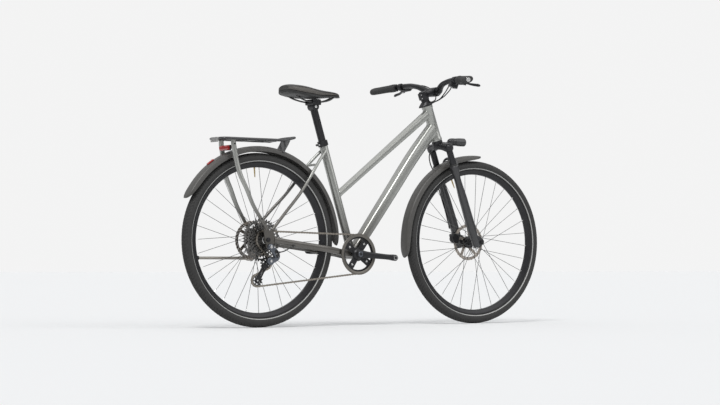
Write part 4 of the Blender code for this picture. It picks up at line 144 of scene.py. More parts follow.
# Tyres: 28-inch touring tyres, 47 mm wide, of black rubber over a cord casing, vulcanised in one piece.
# The crown carries rows of blocks between grooves; a thin reflecting stripe runs round each side wall.
WHEEL_RADIUS = 0.356
WHEEL_BASE_HALF = 0.553
STEERING_TILT = math.radians(19.7)
tilt_cos, tilt_sin = math.cos(STEERING_TILT), math.sin(STEERING_TILT)
upright = np.eye(3)
tilted = np.array([(tilt_cos, 0.0, tilt_sin), (0.0, 1.0, 0.0), (-tilt_sin, 0.0, tilt_cos)])
rear_hub = (np.array([-WHEEL_BASE_HALF, 0.0, WHEEL_RADIUS]), upright)
front_hub = (np.array([WHEEL_BASE_HALF, 0.0, WHEEL_RADIUS]), tilted)
wheels = {"rear": rear_hub, "front": front_hub}
TREAD_BLOCKS = 156
TREAD_DEPTH = 0.0022
TREAD_HALF_WIDTH = 0.0207
TREAD_DROP = 0.0125
BLOCK_SLANT = 60
BLOCK_SHARE = 0.74
MIDDLE_RIB = 0.0022
SHOULDER = 0.0095


def finish_of(name, colour, roughness, metallic, coat, spread, patch, grain=0.0, grain_size=0.0006):
    """A procedural finish: colour c(1 +- spread n), roughness r(1 +- spread n) and a bump of fine noise.

    n is noise with that many patches a metre, grain the bump's depth share and grain_size its pitch in
    metres, all in the object's own coordinates, which are metres at rest.
    """
    made = bpy.data.materials.new(name)
    made.use_nodes = True
    nodes, links = made.node_tree.nodes, made.node_tree.links
    shader = nodes["Principled BSDF"]
    where = nodes.new("ShaderNodeTexCoord")
    noise = nodes.new("ShaderNodeTexNoise")
    noise.inputs["Scale"].default_value = patch
    noise.inputs["Detail"].default_value = 3.0
    links.new(where.outputs["Object"], noise.inputs["Vector"])
    tint = nodes.new("ShaderNodeValToRGB")
    tint.color_ramp.elements[0].position = 0.3
    tint.color_ramp.elements[1].position = 0.7
    tint.color_ramp.elements[0].color = [min(1.0, c * (1 - spread)) for c in colour] + [1.0]
    tint.color_ramp.elements[1].color = [min(1.0, c * (1 + spread)) for c in colour] + [1.0]
    links.new(noise.outputs["Fac"], tint.inputs["Fac"])
    links.new(tint.outputs["Color"], shader.inputs["Base Color"])
    rough = nodes.new("ShaderNodeMapRange")
    rough.inputs["To Min"].default_value = max(0.02, roughness * (1 - spread))
    rough.inputs["To Max"].default_value = min(1.0, roughness * (1 + spread))
    links.new(noise.outputs["Fac"], rough.inputs["Value"])
    links.new(rough.outputs["Result"], shader.inputs["Roughness"])
    shader.inputs["Metallic"].default_value = metallic
    shader.inputs["Coat Weight"].default_value = coat
    shader.inputs["Coat Roughness"].default_value = 0.06
    if grain:
        fine = nodes.new("ShaderNodeTexNoise")
        fine.inputs["Scale"].default_value = 1.0 / grain_size
        fine.inputs["Detail"].default_value = 2.0
        links.new(where.outputs["Object"], fine.inputs["Vector"])
        bump = nodes.new("ShaderNodeBump")
        bump.inputs["Strength"].default_value = grain
        bump.inputs["Distance"].default_value = grain_size
        links.new(fine.outputs["Fac"], bump.inputs["Height"])
        links.new(bump.outputs["Normal"], shader.inputs["Normal"])
    return made


rubber = finish_of("tyre rubber", (0.024, 0.0235, 0.023), 0.7, 0.0, 0.0, 0.15, 40, 0.3, 0.0008)


def mm(*rows):
    """Rows of millimetres as a list of rows of metres."""
    return [tuple(value / 1000 for value in row) for row in rows]


def shell(grid, ring=False):
    """A closed surface over points p[i, j], where j goes round, and i too for a ring.

    Face (i, j) joins p[i, j], p[i+1, j], p[i+1, j+1] and p[i, j+1]. Without ring, triangles to the mean point
    close each end row. Faces turn outwards by the sign of the volume, the sum of a . (b x c) / 6.
    """
    grid = np.asarray(grid, float)
    rows, around = grid.shape[:2]
    i, j = np.meshgrid(np.arange(rows if ring else rows - 1), np.arange(around), indexing="ij")
    i, j = i.ravel(), j.ravel()
    after_i, after_j = (i + 1) % rows, (j + 1) % around
    quads = np.stack([i * around + j, after_i * around + j, after_i * around + after_j,
        i * around + after_j], axis=1)
    points = grid.reshape(-1, 3)
    fans = np.zeros((0, 3), int)
    if not ring:
        first = np.arange(around)
        last = first + (rows - 1) * around
        middle = len(points)
        points = np.vstack([points, points[first].mean(axis=0), points[last].mean(axis=0)])
        fans = np.vstack([np.stack([first, np.roll(first, -1), np.full(around, middle)], axis=1),
            np.stack([np.roll(last, -1), last, np.full(around, middle + 1)], axis=1)])
    corners = np.vstack([quads[:, [0, 1, 2]], quads[:, [0, 2, 3]], fans])
    a, b, c = (points[corners[:, k]] - points[0] for k in range(3))
    if np.einsum("ij,ij->i", a, np.cross(b, c)).sum() < 0:
        quads, fans = quads[:, ::-1], fans[:, ::-1]
    return points, quads, fans


def placed(made, place):
    """A shell moved from its own coordinates into a place (origin, rows of axes): p' = origin + p axes."""
    points, quads, fans = made
    origin, axes = place
    return origin + points @ axes, quads, fans


def piece(name, shells, place, finish, body, sharp=35.0, nodes=(), bevel=0.0, steps=2):
    """One mesh object of several closed shells, moved into a place, that stands for those CAD nodes.

    A piece called NODE_looks stands for that node. It rides on a body given by name; a body given as
    (body, body, start, end) leaves it baked where it stands, on no body. Edges sharper than an angle in
    degrees stay sharp, and a bevel of that width rounds them off in a few steps.
    """
    points, loops, sizes, offset = [], [], [], 0
    for made in shells:
        shell_points, quads, fans = placed(made, place) if place else made
        for faces in (quads, fans):
            loops.append((faces + offset).ravel())
            sizes.append(np.full(len(faces), faces.shape[1]))
        points.append(shell_points)
        offset += len(shell_points)
    points, loops, sizes = np.vstack(points), np.concatenate(loops), np.concatenate(sizes)
    mesh = bpy.data.meshes.new(name)
    mesh.vertices.add(len(points))
    mesh.vertices.foreach_set("co", points.ravel().astype(np.float32))
    mesh.loops.add(len(loops))
    mesh.loops.foreach_set("vertex_index", loops.astype(np.int32))
    mesh.polygons.add(len(sizes))
    mesh.polygons.foreach_set("loop_start", np.concatenate([[0], np.cumsum(sizes)[:-1]]).astype(np.int32))
    mesh.update(calc_edges=True)
    mesh.polygons.foreach_set("use_smooth", np.ones(len(sizes), bool))
    mesh.set_sharp_from_angle(angle=math.radians(sharp))
    mesh.materials.append(finish)
    made = bpy.data.objects.new(name, mesh)
    scene.collection.objects.link(made)
    if isinstance(body, str):
        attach(made, body)
    else:
        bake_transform(made)
    if name.endswith("_looks"):
        nodes = [name.removesuffix("_looks")]
    if nodes:
        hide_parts(*nodes)
    if bevel:
        edge = made.modifiers.new("soft edges", "BEVEL")
        edge.width = bevel
        edge.segments = steps
        edge.limit_method = "ANGLE"
        edge.angle_limit = math.radians(50)
    return made


def line_through(points, count, measured=3):
    """A curve through points, sampled evenly by its length over the first measured columns.

    p(s) = h00 a + h10 d ma + h01 b + h11 d mb between neighbours a and b a distance d apart, where m are the
    slopes from both sides and h the cubic Hermite weights of the share s.
    """
    points = np.asarray(points, float)
    lengths = np.linalg.norm(np.diff(points[:, :measured], axis=0), axis=1)
    marks = np.concatenate([[0.0], np.cumsum(lengths)])
    slopes = np.gradient(points, marks, axis=0)
    where = np.linspace(0.0, marks[-1], count)
    k = np.clip(np.searchsorted(marks, where, side="right") - 1, 0, len(points) - 2)
    span = (marks[k + 1] - marks[k])[:, None]
    s = (where - marks[k])[:, None] / span
    return (
        (2 * s**3 - 3 * s**2 + 1) * points[k]
        + (s**3 - 2 * s**2 + s) * span * slopes[k]
        + (3 * s**2 - 2 * s**3) * points[k + 1]
        + (s**3 - s**2) * span * slopes[k + 1]
    )


def turned(profile, around=48):
    """A profile (radius r, level y) turned round the Y axis: p(i, j) = (r_i cos a_j, y_i, r_i sin a_j)."""
    profile = np.asarray(profile, float)
    angle = np.arange(around) * 2 * math.pi / around
    radius, level = profile[:, :1], profile[:, 1:]
    across, upward = radius * np.cos(angle), radius * np.sin(angle)
    return np.stack(np.broadcast_arrays(across, level, upward), axis=2)


def lathe(profile, around=48, ring=False):
    """A closed shell turned round the Y axis."""
    return shell(turned(profile, around), ring)


def both_sides(half):
    """A half profile (r, y) from the +Y side to the middle, and on to the -Y side."""
    half = np.asarray(half, float)
    return np.vstack([half, (half * (1, -1))[-2::-1]])


def tread(profile, around):
    """The turned tyre section, drawn in towards the axle by the tread's depth where g is 1.

    g(a, y) is 1 in slanted cross grooves, where the fraction of blocks a / 2pi + slant |y| passes a block's
    share, half a block further on beyond the shoulder, and in ring grooves beside the middle rib and at the
    shoulder. The middle rib and the side walls have none.
    """
    grid = turned(profile, around)
    turn_share = np.arange(around)[None, :] / around * TREAD_BLOCKS
    level = np.abs(profile[:, 1:])
    outward = profile[:, :1] > WHEEL_RADIUS - TREAD_DROP
    slant = (turn_share + BLOCK_SLANT * level + 0.5 * (level > SHOULDER)) % 1.0
    cross = (slant > BLOCK_SHARE) & (level > MIDDLE_RIB)
    rings = (np.abs(level - 0.0034) < 0.0006) | (np.abs(level - 0.0098) < 0.0007)
    depth = TREAD_DEPTH * (outward & (level < TREAD_HALF_WIDTH) & (cross | rings))
    shrink = 1 - depth / np.linalg.norm(grid[:, :, [0, 2]], axis=2)
    grid[:, :, [0, 2]] *= shrink[:, :, None]
    return grid


casing = both_sides(line_through(mm((308.5, 10.4), (316.5, 11.2), (318.5, 16), (325, 21.1), (334.5, 23.4),
    (343, 21.3), (349.8, 16), (353.6, 10.5), (355.5, 5), (356, 0)), 36, 2))
lining = both_sides(line_through(mm((311, 8.2), (320, 13.5), (334.5, 21), (344, 18), (351.5, 8),
    (352.5, 0)), 7, 2))
for name, place in wheels.items():
    grid = tread(np.vstack([casing, lining[::-1]]), 7 * TREAD_BLOCKS)
    piece(f"{name}_tyre_looks", [shell(grid, True)], place, rubber, f"{name}_wheel", 30)
stripe_finish = finish_of("reflecting stripe", (0.4, 0.4, 0.39), 0.42, 0.2, 0.0, 0.12, 300)
stripe_angle = np.arange(10) * 2 * math.pi / 10
STRIPE_RADIUS, STRIPE_LEVEL = 0.322, 0.019
for name, place in wheels.items():
    stripes = []
    for hand in (-1, 1):
        profile = np.stack([STRIPE_RADIUS + 0.002 * np.cos(stripe_angle) - 0.0002 * np.sin(stripe_angle),
            hand * (STRIPE_LEVEL + 0.0016 * np.cos(stripe_angle) + 0.0003 * np.sin(stripe_angle))], axis=1)
        stripes.append(lathe(profile, 360, True))
    piece(f"{name}_tyre_stripes", stripes, place, stripe_finish, f"{name}_wheel")


# Rims: double-walled black anodised aluminium with hooked edges, extruded, bent round and pinned.
# A tube valve of turned brass stands through each, opposite the pinned joint.
black_metal = finish_of("black anodised metal", (0.02, 0.02, 0.022), 0.34, 0.4, 0.0, 0.15, 30, 0.15)
rim_profile = mm((316.5, 14.1), (316.8, 13.3), (316, 12.2), (313.8, 12), (312, 12.8), (309, 12.2),
    (307.8, 9.5), (306.2, 7), (306, 0))
rim_outer = mm((296.5, 0), (296.5, 4.8), (297, 6.2), (298.4, 7.3), (304, 9.8), (310, 12.6), (313.5, 13.9))
rim_half = np.array(rim_profile[::-1][1:] + rim_outer[::-1][:-1])
rim_loop = np.vstack([rim_half, [rim_outer[0]], (rim_half * (1, -1))[::-1], [rim_profile[-1]]])
for name, place in wheels.items():
    piece(f"{name}_rim_looks", [lathe(rim_loop, 360, True)], place, black_metal, f"{name}_wheel",
        30)


def rod(start, end, profile, around=12):
    """A turned bar between two points: profile rows (radius, distance from the start along it)."""
    start, end = np.asarray(start, float), np.asarray(end, float)
    along = (end - start) / np.linalg.norm(end - start)
    side = np.cross(along, (0.31, 0.53, 0.79))
    side /= np.linalg.norm(side)
    made = turned(profile, around)
    return shell(start + made @ np.array([side, along, np.cross(side, along)]))


brass = finish_of("valve brass", (0.55, 0.42, 0.2), 0.28, 1.0, 0.0, 0.08, 200)
silver_metal = finish_of("polished aluminium", (0.72, 0.72, 0.71), 0.24, 1.0, 0.0, 0.06, 120, 0.05)
VALVE_TURN = math.radians(94)
valve_profile = mm((3, 0), (3, 9), (4.5, 9.2), (4.5, 11.2), (3, 11.4), (2.9, 33), (2.4, 33.5), (2.4, 42),
    (2, 42.5), (1.9, 47), (1.2, 48))
out = np.array([math.cos(VALVE_TURN), 0.0, math.sin(VALVE_TURN)])
for name, place in wheels.items():
    valve = rod(out * 0.3045, out * 0.255, valve_profile, 14)
    piece(f"{name}_valve", [valve], place, brass, f"{name}_wheel")


# Spokes: 32 stainless spokes a wheel, 2 mm, blackened, hooked through the hub flanges and crossed.
# A plated brass nipple draws each one tight at the rim.
SPOKE_COUNT = 32
SPOKE_RADIUS = 0.001
SPOKE_LEAD = math.radians(67.5)
SPOKE_HEAD_RADIUS = 0.0225
SPOKE_TIP_RADIUS = 0.2962
SPOKE_CROSS_GAP = 0.0015
RIM_HOLE_OFFSET = 0.0022
FLANGES = {"rear": (-0.0165, 0.033), "front": (-0.033, 0.027)}
spoke_steel = finish_of("spoke steel", (0.1, 0.1, 0.1), 0.3, 0.9, 0.0, 0.1, 60)


def polar(radius, angle):
    """Points (x, z) at those radii and angles."""
    return np.stack(np.broadcast_arrays(radius * np.cos(angle), radius * np.sin(angle)), axis=-1)


def spoke_ends(name, number):
    """(hub point, rim point) of a spoke on the axle's coordinates."""
    flange = FLANGES[name][number % 2]
    lead = 1 if number // 2 % 2 else -1
    rim_turn = number * 2 * math.pi / SPOKE_COUNT
    hub_turn = rim_turn + lead * SPOKE_LEAD
    level = flange + lead * SPOKE_CROSS_GAP
    tip = math.copysign(RIM_HOLE_OFFSET, flange)
    hub_x, hub_z = polar(SPOKE_HEAD_RADIUS, hub_turn)
    rim_x, rim_z = polar(SPOKE_TIP_RADIUS, rim_turn)
    return np.array([hub_x, level, hub_z]), np.array([rim_x, tip, rim_z])


nipple_profile = mm((2.3, -0.4), (2.3, 1.2), (1.8, 1.8), (1.8, 9.5), (1.3, 11.5))
for name, place in wheels.items():
    wires, nipples = [], []
    for number in range(SPOKE_COUNT):
        hub_end, rim_end = spoke_ends(name, number)
        length = np.linalg.norm(rim_end - hub_end)
        wires.append(rod(hub_end, rim_end, [(SPOKE_RADIUS * 1.5, -0.0008), (SPOKE_RADIUS, 0.0008),
            (SPOKE_RADIUS, length - 0.002)], 8))
        nipples.append(rod(rim_end, hub_end, nipple_profile, 8))
    piece(f"{name}_spoke_wires", wires, place, spoke_steel, f"{name}_wheel",
        nodes=[f"{name}_spokes"])
    piece(f"{name}_nipples", nipples, place, silver_metal, f"{name}_wheel")


# Hubs: turned aluminium shells in black with two drilled flanges, on sealed bearings.
# The left end carries the rotor; the rear one has the freehub on its right.
hub_profiles = {
    "rear": mm((6, -61.8), (15.5, -61.6), (16.5, -60), (16.5, -21.2), (20, -19.2), (25.5, -18.6),
        (26.2, -17.8), (26.2, -15.2), (24, -14.2), (16, -12), (13.7, -8), (13.5, 24), (16, 29.2),
        (24.5, 31.2), (26.2, 32), (26.2, 34.4), (25, 35.2), (20, 36), (18, 42), (18, 50), (14.8, 50.6),
        (14.7, 61), (13.5, 61.8), (6, 61.9)),
    "front": mm((6, -46.3), (10.8, -46.2), (12, -45), (12.2, -37.2), (19, -35.2), (25, -34.6),
        (26.2, -33.8), (26.2, -32.2), (24, -31.2), (16, -28), (13.7, -23), (13.5, 18), (16, 23.2),
        (24.5, 25.4), (26.2, 26.2), (26.2, 28), (25, 28.6), (19, 29.2), (18, 35.2), (14.8, 35.7),
        (14.7, 44.8), (13.8, 46), (6, 46.3))
}
for name, place in wheels.items():
    piece(f"{name}_hub_shell", [lathe(hub_profiles[name], 64)], place, black_metal, f"{name}_wheel")


# Brake rotors: 160 mm rings of brownish stainless steel with a drilled track on five arms.
# Laser-cut, 1.8 mm thick, and held to the hub by six small bolts.
ROTOR_LEVEL = {"rear": 0.052, "front": 0.0365}
ROTOR_RADIUS = 0.08
ROTOR_THICKNESS = 0.0018
ROTOR_ARMS = 5
rotor_steel = finish_of("rotor steel", (0.46, 0.41, 0.36), 0.34, 1.0, 0.0, 0.1, 60, 0.1)


def plate(outlines, low, high):
    """A flat plate between two levels of y; the first outline (x, z) is its edge and the others its holes."""
    loops = []
    for number, outline in enumerate(outlines):
        loop = np.asarray(outline, float)
        x, z = loop[:, 0], loop[:, 1]
        area = (x * np.roll(z, -1) - np.roll(x, -1) * z).sum()
        loops.append(loop if (area > 0) == (number == 0) else loop[::-1])
    flat = np.vstack(loops)
    caps = np.array(tessellate_polygon([[Vector((x, z, 0.0)) for x, z in loop] for loop in loops]))
    a, b, c = (flat[caps[:, k]] for k in range(3))
    wrong = (b - a)[:, 0] * (c - a)[:, 1] - (b - a)[:, 1] * (c - a)[:, 0] < 0
    caps[wrong] = caps[wrong][:, ::-1]
    count = len(flat)
    here, ahead, start = [], [], 0
    for loop in loops:
        numbers = np.arange(start, start + len(loop))
        here.append(numbers)
        ahead.append(np.roll(numbers, -1))
        start += len(loop)
    here, ahead = np.concatenate(here), np.concatenate(ahead)
    quads = np.stack([ahead, here, here + count, ahead + count], axis=1)
    faces = [np.column_stack([flat[:, 0], np.full(count, level), flat[:, 1]]) for level in (low, high)]
    return np.vstack(faces), quads, np.vstack([caps, caps[:, ::-1] + count])


def circle(radius, centre=(0.0, 0.0), count=48):
    """Points (x, z) round a circle."""
    return polar(radius, np.arange(count) * 2 * math.pi / count) + centre


def rotor_outlines():
    """Edge, bore, windows between slanted arms, and the drilled track of a rotor."""
    edge = np.arange(300) * 2 * math.pi / 300
    outlines = [polar(ROTOR_RADIUS - 0.0006 + 0.0006 * np.cos(30 * edge), edge), circle(0.015)]
    for arm in range(ROTOR_ARMS):
        start = arm * 2 * math.pi / ROTOR_ARMS
        outer = np.linspace(start + 0.1, start + 2 * math.pi / ROTOR_ARMS - 0.1, 16)
        inner = np.linspace(start + 2 * math.pi / ROTOR_ARMS - 0.62, start - 0.06, 10)
        outlines.append(np.vstack([polar(0.066, outer), polar(0.0265, inner)]))
    for hole in range(30):
        turn = hole * 2 * math.pi / 30
        for radius, lead in ((0.0692, 0.0), (0.0728, 0.06), (0.0764, 0.12)):
            outlines.append(circle(0.0014, polar(radius, turn + lead), 8))
    return outlines


def socket_bolt(centre, axis, radius, height):
    """A round bolt head with a socket in it that stands out along the axis."""
    centre, axis = np.asarray(centre, float), np.asarray(axis, float)
    head = [(radius * 0.98, -0.0002), (radius, height * 0.3), (radius, height * 0.85), (radius * 0.9, height)]
    socket = [(radius * 0.52, height), (radius * 0.48, height * 0.35), (0.0002, height * 0.3)]
    return rod(centre, centre + axis, head + socket, 16)


for name, place in wheels.items():
    level = ROTOR_LEVEL[name]
    disc = plate(rotor_outlines(), level - ROTOR_THICKNESS / 2, level + ROTOR_THICKNESS / 2)
    piece(f"{name}_rotor_looks", [disc], place, rotor_steel, f"{name}_wheel")
    bolts = []
    for number in range(6):
        x, z = polar(0.0205, number * math.pi / 3)
        bolts.append(socket_bolt((x, level + 0.0008, z), (0, 1, 0), 0.003, 0.0018))
    piece(f"{name}_rotor_bolts", bolts, place, silver_metal, f"{name}_wheel")


# Frame tubes: aluminium, hydroformed into rounded squares, welded, with the weld beads smoothed off.
# Glossy silver grey paint, turning brown grey towards the bottom bracket: partly a fade in the paint and
# partly painted shade low on the down tube and seat tube. The seat tube is round.
PAINT_SILVER = (0.33, 0.335, 0.315)
PAINT_BROWN = (0.105, 0.098, 0.088)
chassis = (np.array([-WHEEL_BASE_HALF, 0.0, 0.0]), upright)
steering = (np.array([0.515341, 0.0, 0.342516]), tilted)
SEAT_TILT = math.radians(17.5)
seat_axes = np.array([(math.cos(SEAT_TILT), 0.0, math.sin(SEAT_TILT)), (0.0, 1.0, 0.0),
    (-math.sin(SEAT_TILT), 0.0, math.cos(SEAT_TILT))])
seat_frame = (np.array([-0.094, 0.0, 0.3]), seat_axes)
HEAD_TUBE_RADIUS = 0.0225
SEAT_TUBE_RADIUS = 0.01745
BRACKET = np.array([0.459, 0.0, 0.3])
STEERING_FOOT = steering[0] - chassis[0]


def on_head_tube(height):
    """The chassis point at a height on the steering axis."""
    return STEERING_FOOT + height * tilted[2]


def on_seat_tube(distance):
    """The chassis point at a distance up the seat tube's axis."""
    return BRACKET + distance * seat_axes[2]


def section_turns(around, power):
    """Unit section points f(cos a), f(sin a) with f(q) = sign(q) |q|^power, spaced evenly by length."""
    angle = np.linspace(0.0, 2 * math.pi, 1441)
    loop = np.stack([np.sign(q) * np.abs(q)**power for q in (np.cos(angle), np.sin(angle))])
    run = np.concatenate([[0.0], np.cumsum(np.linalg.norm(np.diff(loop, axis=1), axis=0))])
    where = np.arange(around) * run[-1] / around
    return np.interp(where, run, loop[0]), np.interp(where, run, loop[1])


def swept(path, sizes, around=28, over=(0.0, 0.0, 1.0), power=1.0, ring=False):
    """Rounded sections carried along a path, p(i, j) = c_i + w_i u_j s_i + d_i v_j r_i.

    s is square to the path and to over, r square to both, and u, v are the unit section's points.
    """
    path, sizes = np.asarray(path, float), np.asarray(sizes, float)
    sizes = np.broadcast_to(sizes if sizes.ndim == 2 else sizes[None, :], (len(path), 2))
    if ring:
        way = np.roll(path, -1, axis=0) - np.roll(path, 1, axis=0)
    else:
        way = np.gradient(path, axis=0)
    way /= np.linalg.norm(way, axis=1, keepdims=True)
    side = np.cross(way, over)
    side /= np.linalg.norm(side, axis=1, keepdims=True)
    rise = np.cross(side, way)
    wide, deep = section_turns(around, power)
    across = (sizes[:, :1] * wide)[:, :, None] * side[:, None]
    upward = (sizes[:, 1:] * deep)[:, :, None] * rise[:, None]
    return shell(path[:, None] + across + upward, ring)


def lathe_z(profile, around=48, ring=False):
    """A closed shell whose profile (radius, height) is turned round the Z axis."""
    return shell(turned(profile, around)[:, :, [0, 2, 1]], ring)


def painted_over(made, share, colour):
    """Mixes another colour over a finish by the share that a node gives."""
    nodes, links = made.node_tree.nodes, made.node_tree.links
    mix = nodes.new("ShaderNodeMix")
    mix.data_type = "RGBA"
    mix.inputs[7].default_value = (*colour, 1.0)
    links.new(share.outputs["Result"], mix.inputs[0])
    links.new(nodes["Color Ramp"].outputs["Color"], mix.inputs[6])
    links.new(mix.outputs[2], nodes["Principled BSDF"].inputs["Base Color"])


def fade_and_shade(name, low, high):
    """Brown grey turning silver grey between two heights: partly a paint fade, partly painted shade low down.
    """
    made = finish_of(name, PAINT_BROWN, 0.3, 0.65, 0.9, 0.04, 20)
    nodes, links = made.node_tree.nodes, made.node_tree.links
    height = nodes.new("ShaderNodeSeparateXYZ")
    links.new(nodes["Texture Coordinate"].outputs["Object"], height.inputs["Vector"])
    fade = nodes.new("ShaderNodeMapRange")
    fade.interpolation_type = "SMOOTHSTEP"
    fade.inputs["From Min"].default_value = low
    fade.inputs["From Max"].default_value = high
    links.new(height.outputs["Z"], fade.inputs["Value"])
    painted_over(made, fade, PAINT_SILVER)
    return made


def cleared_share(points, way, axis_point, axis_way, radius, root):
    """The share t that solves |(p + t way) square to the axis| = radius, its smaller or larger root."""
    flat = np.eye(3) - np.outer(axis_way, axis_way)
    start, step = (points - axis_point) @ flat, way @ flat
    a, b, c = step @ step, start @ step, (start**2).sum(axis=1) - radius**2
    return ((-b + root * np.sqrt(np.maximum(b * b - a * c, 0.0))) / a)[:, None]


def weld(centre, way, half_width, half_depth, power, axis_point, axis_way, radius, bead=0.0024):
    """A smoothed bead of that radius where a tube of that section meets a round tube.

    Each section point goes along way to the round tube's near side, and the bead runs through those points.
    """
    way = np.asarray(way, float) / np.linalg.norm(way)
    side = np.cross(way, (0.0, 0.0, 1.0))
    side /= np.linalg.norm(side)
    rise = np.cross(side, way)
    angle = np.arange(180) * 2 * math.pi / 180
    wide = np.sign(np.cos(angle)) * np.abs(np.cos(angle))**power * half_width
    deep = np.sign(np.sin(angle)) * np.abs(np.sin(angle))**power * half_depth
    rim = np.asarray(centre, float) + wide[:, None] * side + deep[:, None] * rise
    line = rim + cleared_share(rim, way, axis_point, axis_way, radius, -1) * way
    outward = line - line.mean(axis=0)
    outward -= (outward @ way)[:, None] * way
    outward /= np.linalg.norm(outward, axis=1, keepdims=True)
    turn = np.arange(10)[None, :, None] * 2 * math.pi / 10
    return shell(line[:, None] + bead * (np.cos(turn) * outward[:, None] + np.sin(turn) * way), True)


def cleared(made, way, axis_point, axis_way, radius):
    """Points of a joining tube that haven't cleared a round tube slide along way to its far side."""
    points, quads, fans = made
    reach = cleared_share(points, way, axis_point, axis_way, radius, 1)
    return points + np.maximum(reach, 0.0) * way, quads, fans


silver_paint = finish_of("silver grey paint", PAINT_SILVER, 0.3, 0.7, 1.0, 0.03, 20)
head_profile = mm((17.5, 639.6), (24, 640), (24.5, 639.4), (24.5, 628.6), (24, 627.4), (22.5, 623.6),
    (22.5, 497), (24, 493.2), (24.5, 492), (24.5, 481.2), (24, 480.6), (17.5, 481))
piece("head_tube_looks", [lathe_z(head_profile, 64)], steering, silver_paint, "frame", 30)

TOP_TUBE_HALF = 0.017
TOP_TUBE_FOOT, TOP_TUBE_HEAD = 0.256, 0.608
top_start, top_end = on_seat_tube(TOP_TUBE_FOOT), on_head_tube(TOP_TUBE_HEAD)
top_length = np.linalg.norm(top_end - top_start)
top_way = (top_end - top_start) / top_length
top_runs = np.concatenate([[0.0119, 0.01193, 0.01196, 0.012], np.linspace(0.03, top_length, 38)])
top_stations = line_through([(0.0, 0.82, 0.8), (0.35, 0.86, 0.88), (0.7, 0.94, 1.0), (0.9, 1.0, 1.08),
    (1.0, 1.04, 1.12)], 120, 1)
top_shares = [np.interp(top_runs / top_length, top_stations[:, 0], top_stations[:, k]) for k in (1, 2)]
top_sizes = TOP_TUBE_HALF * np.stack(top_shares, axis=1)
top_sizes[:3] *= np.array([[0.1], [0.4], [0.7]])
top_tube = swept(top_start + top_runs[:, None] * top_way, top_sizes, 64, power=0.75)
top_tube = cleared(top_tube, top_way, BRACKET, seat_axes[2], 0.0168)
piece("top_tube_looks", [top_tube], chassis, silver_paint, "frame")

# Down tube and seat tube turn brown grey below 0.6 m: partly a fade in the paint, partly painted shade.
frame_fade_and_shade = fade_and_shade("fading frame paint", 0.26, 0.6)
DOWN_TUBE_HALF = 0.027
down_stations = np.array([(0.459, 0.0, 0.3, 0.92, 0.74), (0.528, 0.0, 0.39, 0.95, 0.86),
    (0.66, 0.0, 0.566, 1.0, 0.94), (0.79, 0.0, 0.738, 1.0, 1.0), (*on_head_tube(0.538), 0.86, 1.08)])
down_line = line_through(down_stations, 60)
piece("down_tube_looks", [swept(down_line[:, :3], DOWN_TUBE_HALF * down_line[:, 3:], 80, power=0.66)],
    chassis, frame_fade_and_shade, "frame")
down_way = down_line[-1, :3] - down_line[-4, :3]

seat_profile = [(0.0162, 0.4946), (0.0172, 0.495), (SEAT_TUBE_RADIUS, 0.4944), (SEAT_TUBE_RADIUS, 0.0),
    (0.0004, 0.0)]
bracket_shell = mm((18, -36.5), (20.5, -36.5), (21, -36), (21, 36), (20.5, 36.5), (18, 36.5))
piece("seat_tube_looks", [lathe_z(seat_profile), lathe(bracket_shell)], seat_frame, frame_fade_and_shade, "frame",
    30)
head_end, seat_end = (STEERING_FOOT, tilted[2], HEAD_TUBE_RADIUS), (BRACKET, seat_axes[2])
foot_weld = weld(top_start + 0.05 * top_way, -top_way, 0.83 * TOP_TUBE_HALF, 0.81 * TOP_TUBE_HALF, 0.75,
    *seat_end, SEAT_TUBE_RADIUS, 0.002)
welds = [
    weld(top_end - 0.05 * top_way, top_way, 1.03 * TOP_TUBE_HALF, 1.1 * TOP_TUBE_HALF, 0.75, *head_end),
    cleared(foot_weld, top_way, *seat_end, 0.0164),
    weld(down_line[-4, :3], down_way, 0.87 * DOWN_TUBE_HALF, 1.07 * DOWN_TUBE_HALF, 0.66, *head_end),
]
piece("frame_welds", welds, chassis, silver_paint, "frame")


# Seat clamp and bottom bracket: a black forged collar with an Allen bolt behind it round the seat tube's top,
# and two turned black cups pressed into the bracket shell.
collar = mm((17.8, 495), (21, 495.2), (21.7, 494.4), (21.7, 473.6), (21, 473), (17.8, 473.1))
lug_profile = mm((4.2, 0), (4.8, 0.6), (4.8, 20.4), (4.2, 21))
lug = rod((-0.0255, -0.0105, 0.484), (-0.0255, 0.0105, 0.484), lug_profile, 20)
piece("seat_clamp_looks", [lathe_z(collar), lug], seat_frame, black_metal, "frame")
piece("seat_clamp_bolt", [socket_bolt((-0.0255, -0.0104, 0.484), (0.0, -1.0, 0.0), 0.0034, 0.0022)],
    seat_frame, silver_metal, "frame")
cup_half = mm((18.4, 43), (19.6, 43.3), (21.5, 41), (21.5, 37), (19, 36.6))
cups = [lathe([(r, hand * y) for r, y in cup_half], 64) for hand in (-1, 1)]
piece("bracket_cups", cups, seat_frame, black_metal, "frame", nodes=["bottom_bracket"])


# Stays: slim aluminium tubes bowed outwards round the wheel and welded to forged plate dropouts, with sleeves
# that take the chainstays' ends. Brown grey paint, turning silver up the seatstays, which a thin bridge
# joins;
# the seatstays' brown low down is partly a fade in the paint and partly painted shade.
stay_paint = finish_of("brown grey paint", PAINT_BROWN, 0.34, 0.55, 0.6, 0.05, 20)
stay_lines = {
    "chainstay": (mm((30, 71, 356), (84, 66, 348), (200, 60, 333), (310, 54, 319), (355, 43, 313),
        (395, 34.5, 306), (452, 24, 300.5)), [0.012, 0.013, 0.0135, 0.0135, 0.013, 0.0125, 0.012]),
    "seatstay": (mm((21.5, 71, 396), (90, 66, 470), (173, 54, 556), (213, 47, 606), (250, 40, 656),
        (280, 30, 692), (317, 19.5, 731)), [0.0065] * 7)
}
dropout_edge = mm((44, 367), (30, 372), (25, 380), (29, 395), (17.5, 402), (8, 388), (1, 403), (-19, 403),
    (-15, 370), (-15, 354))
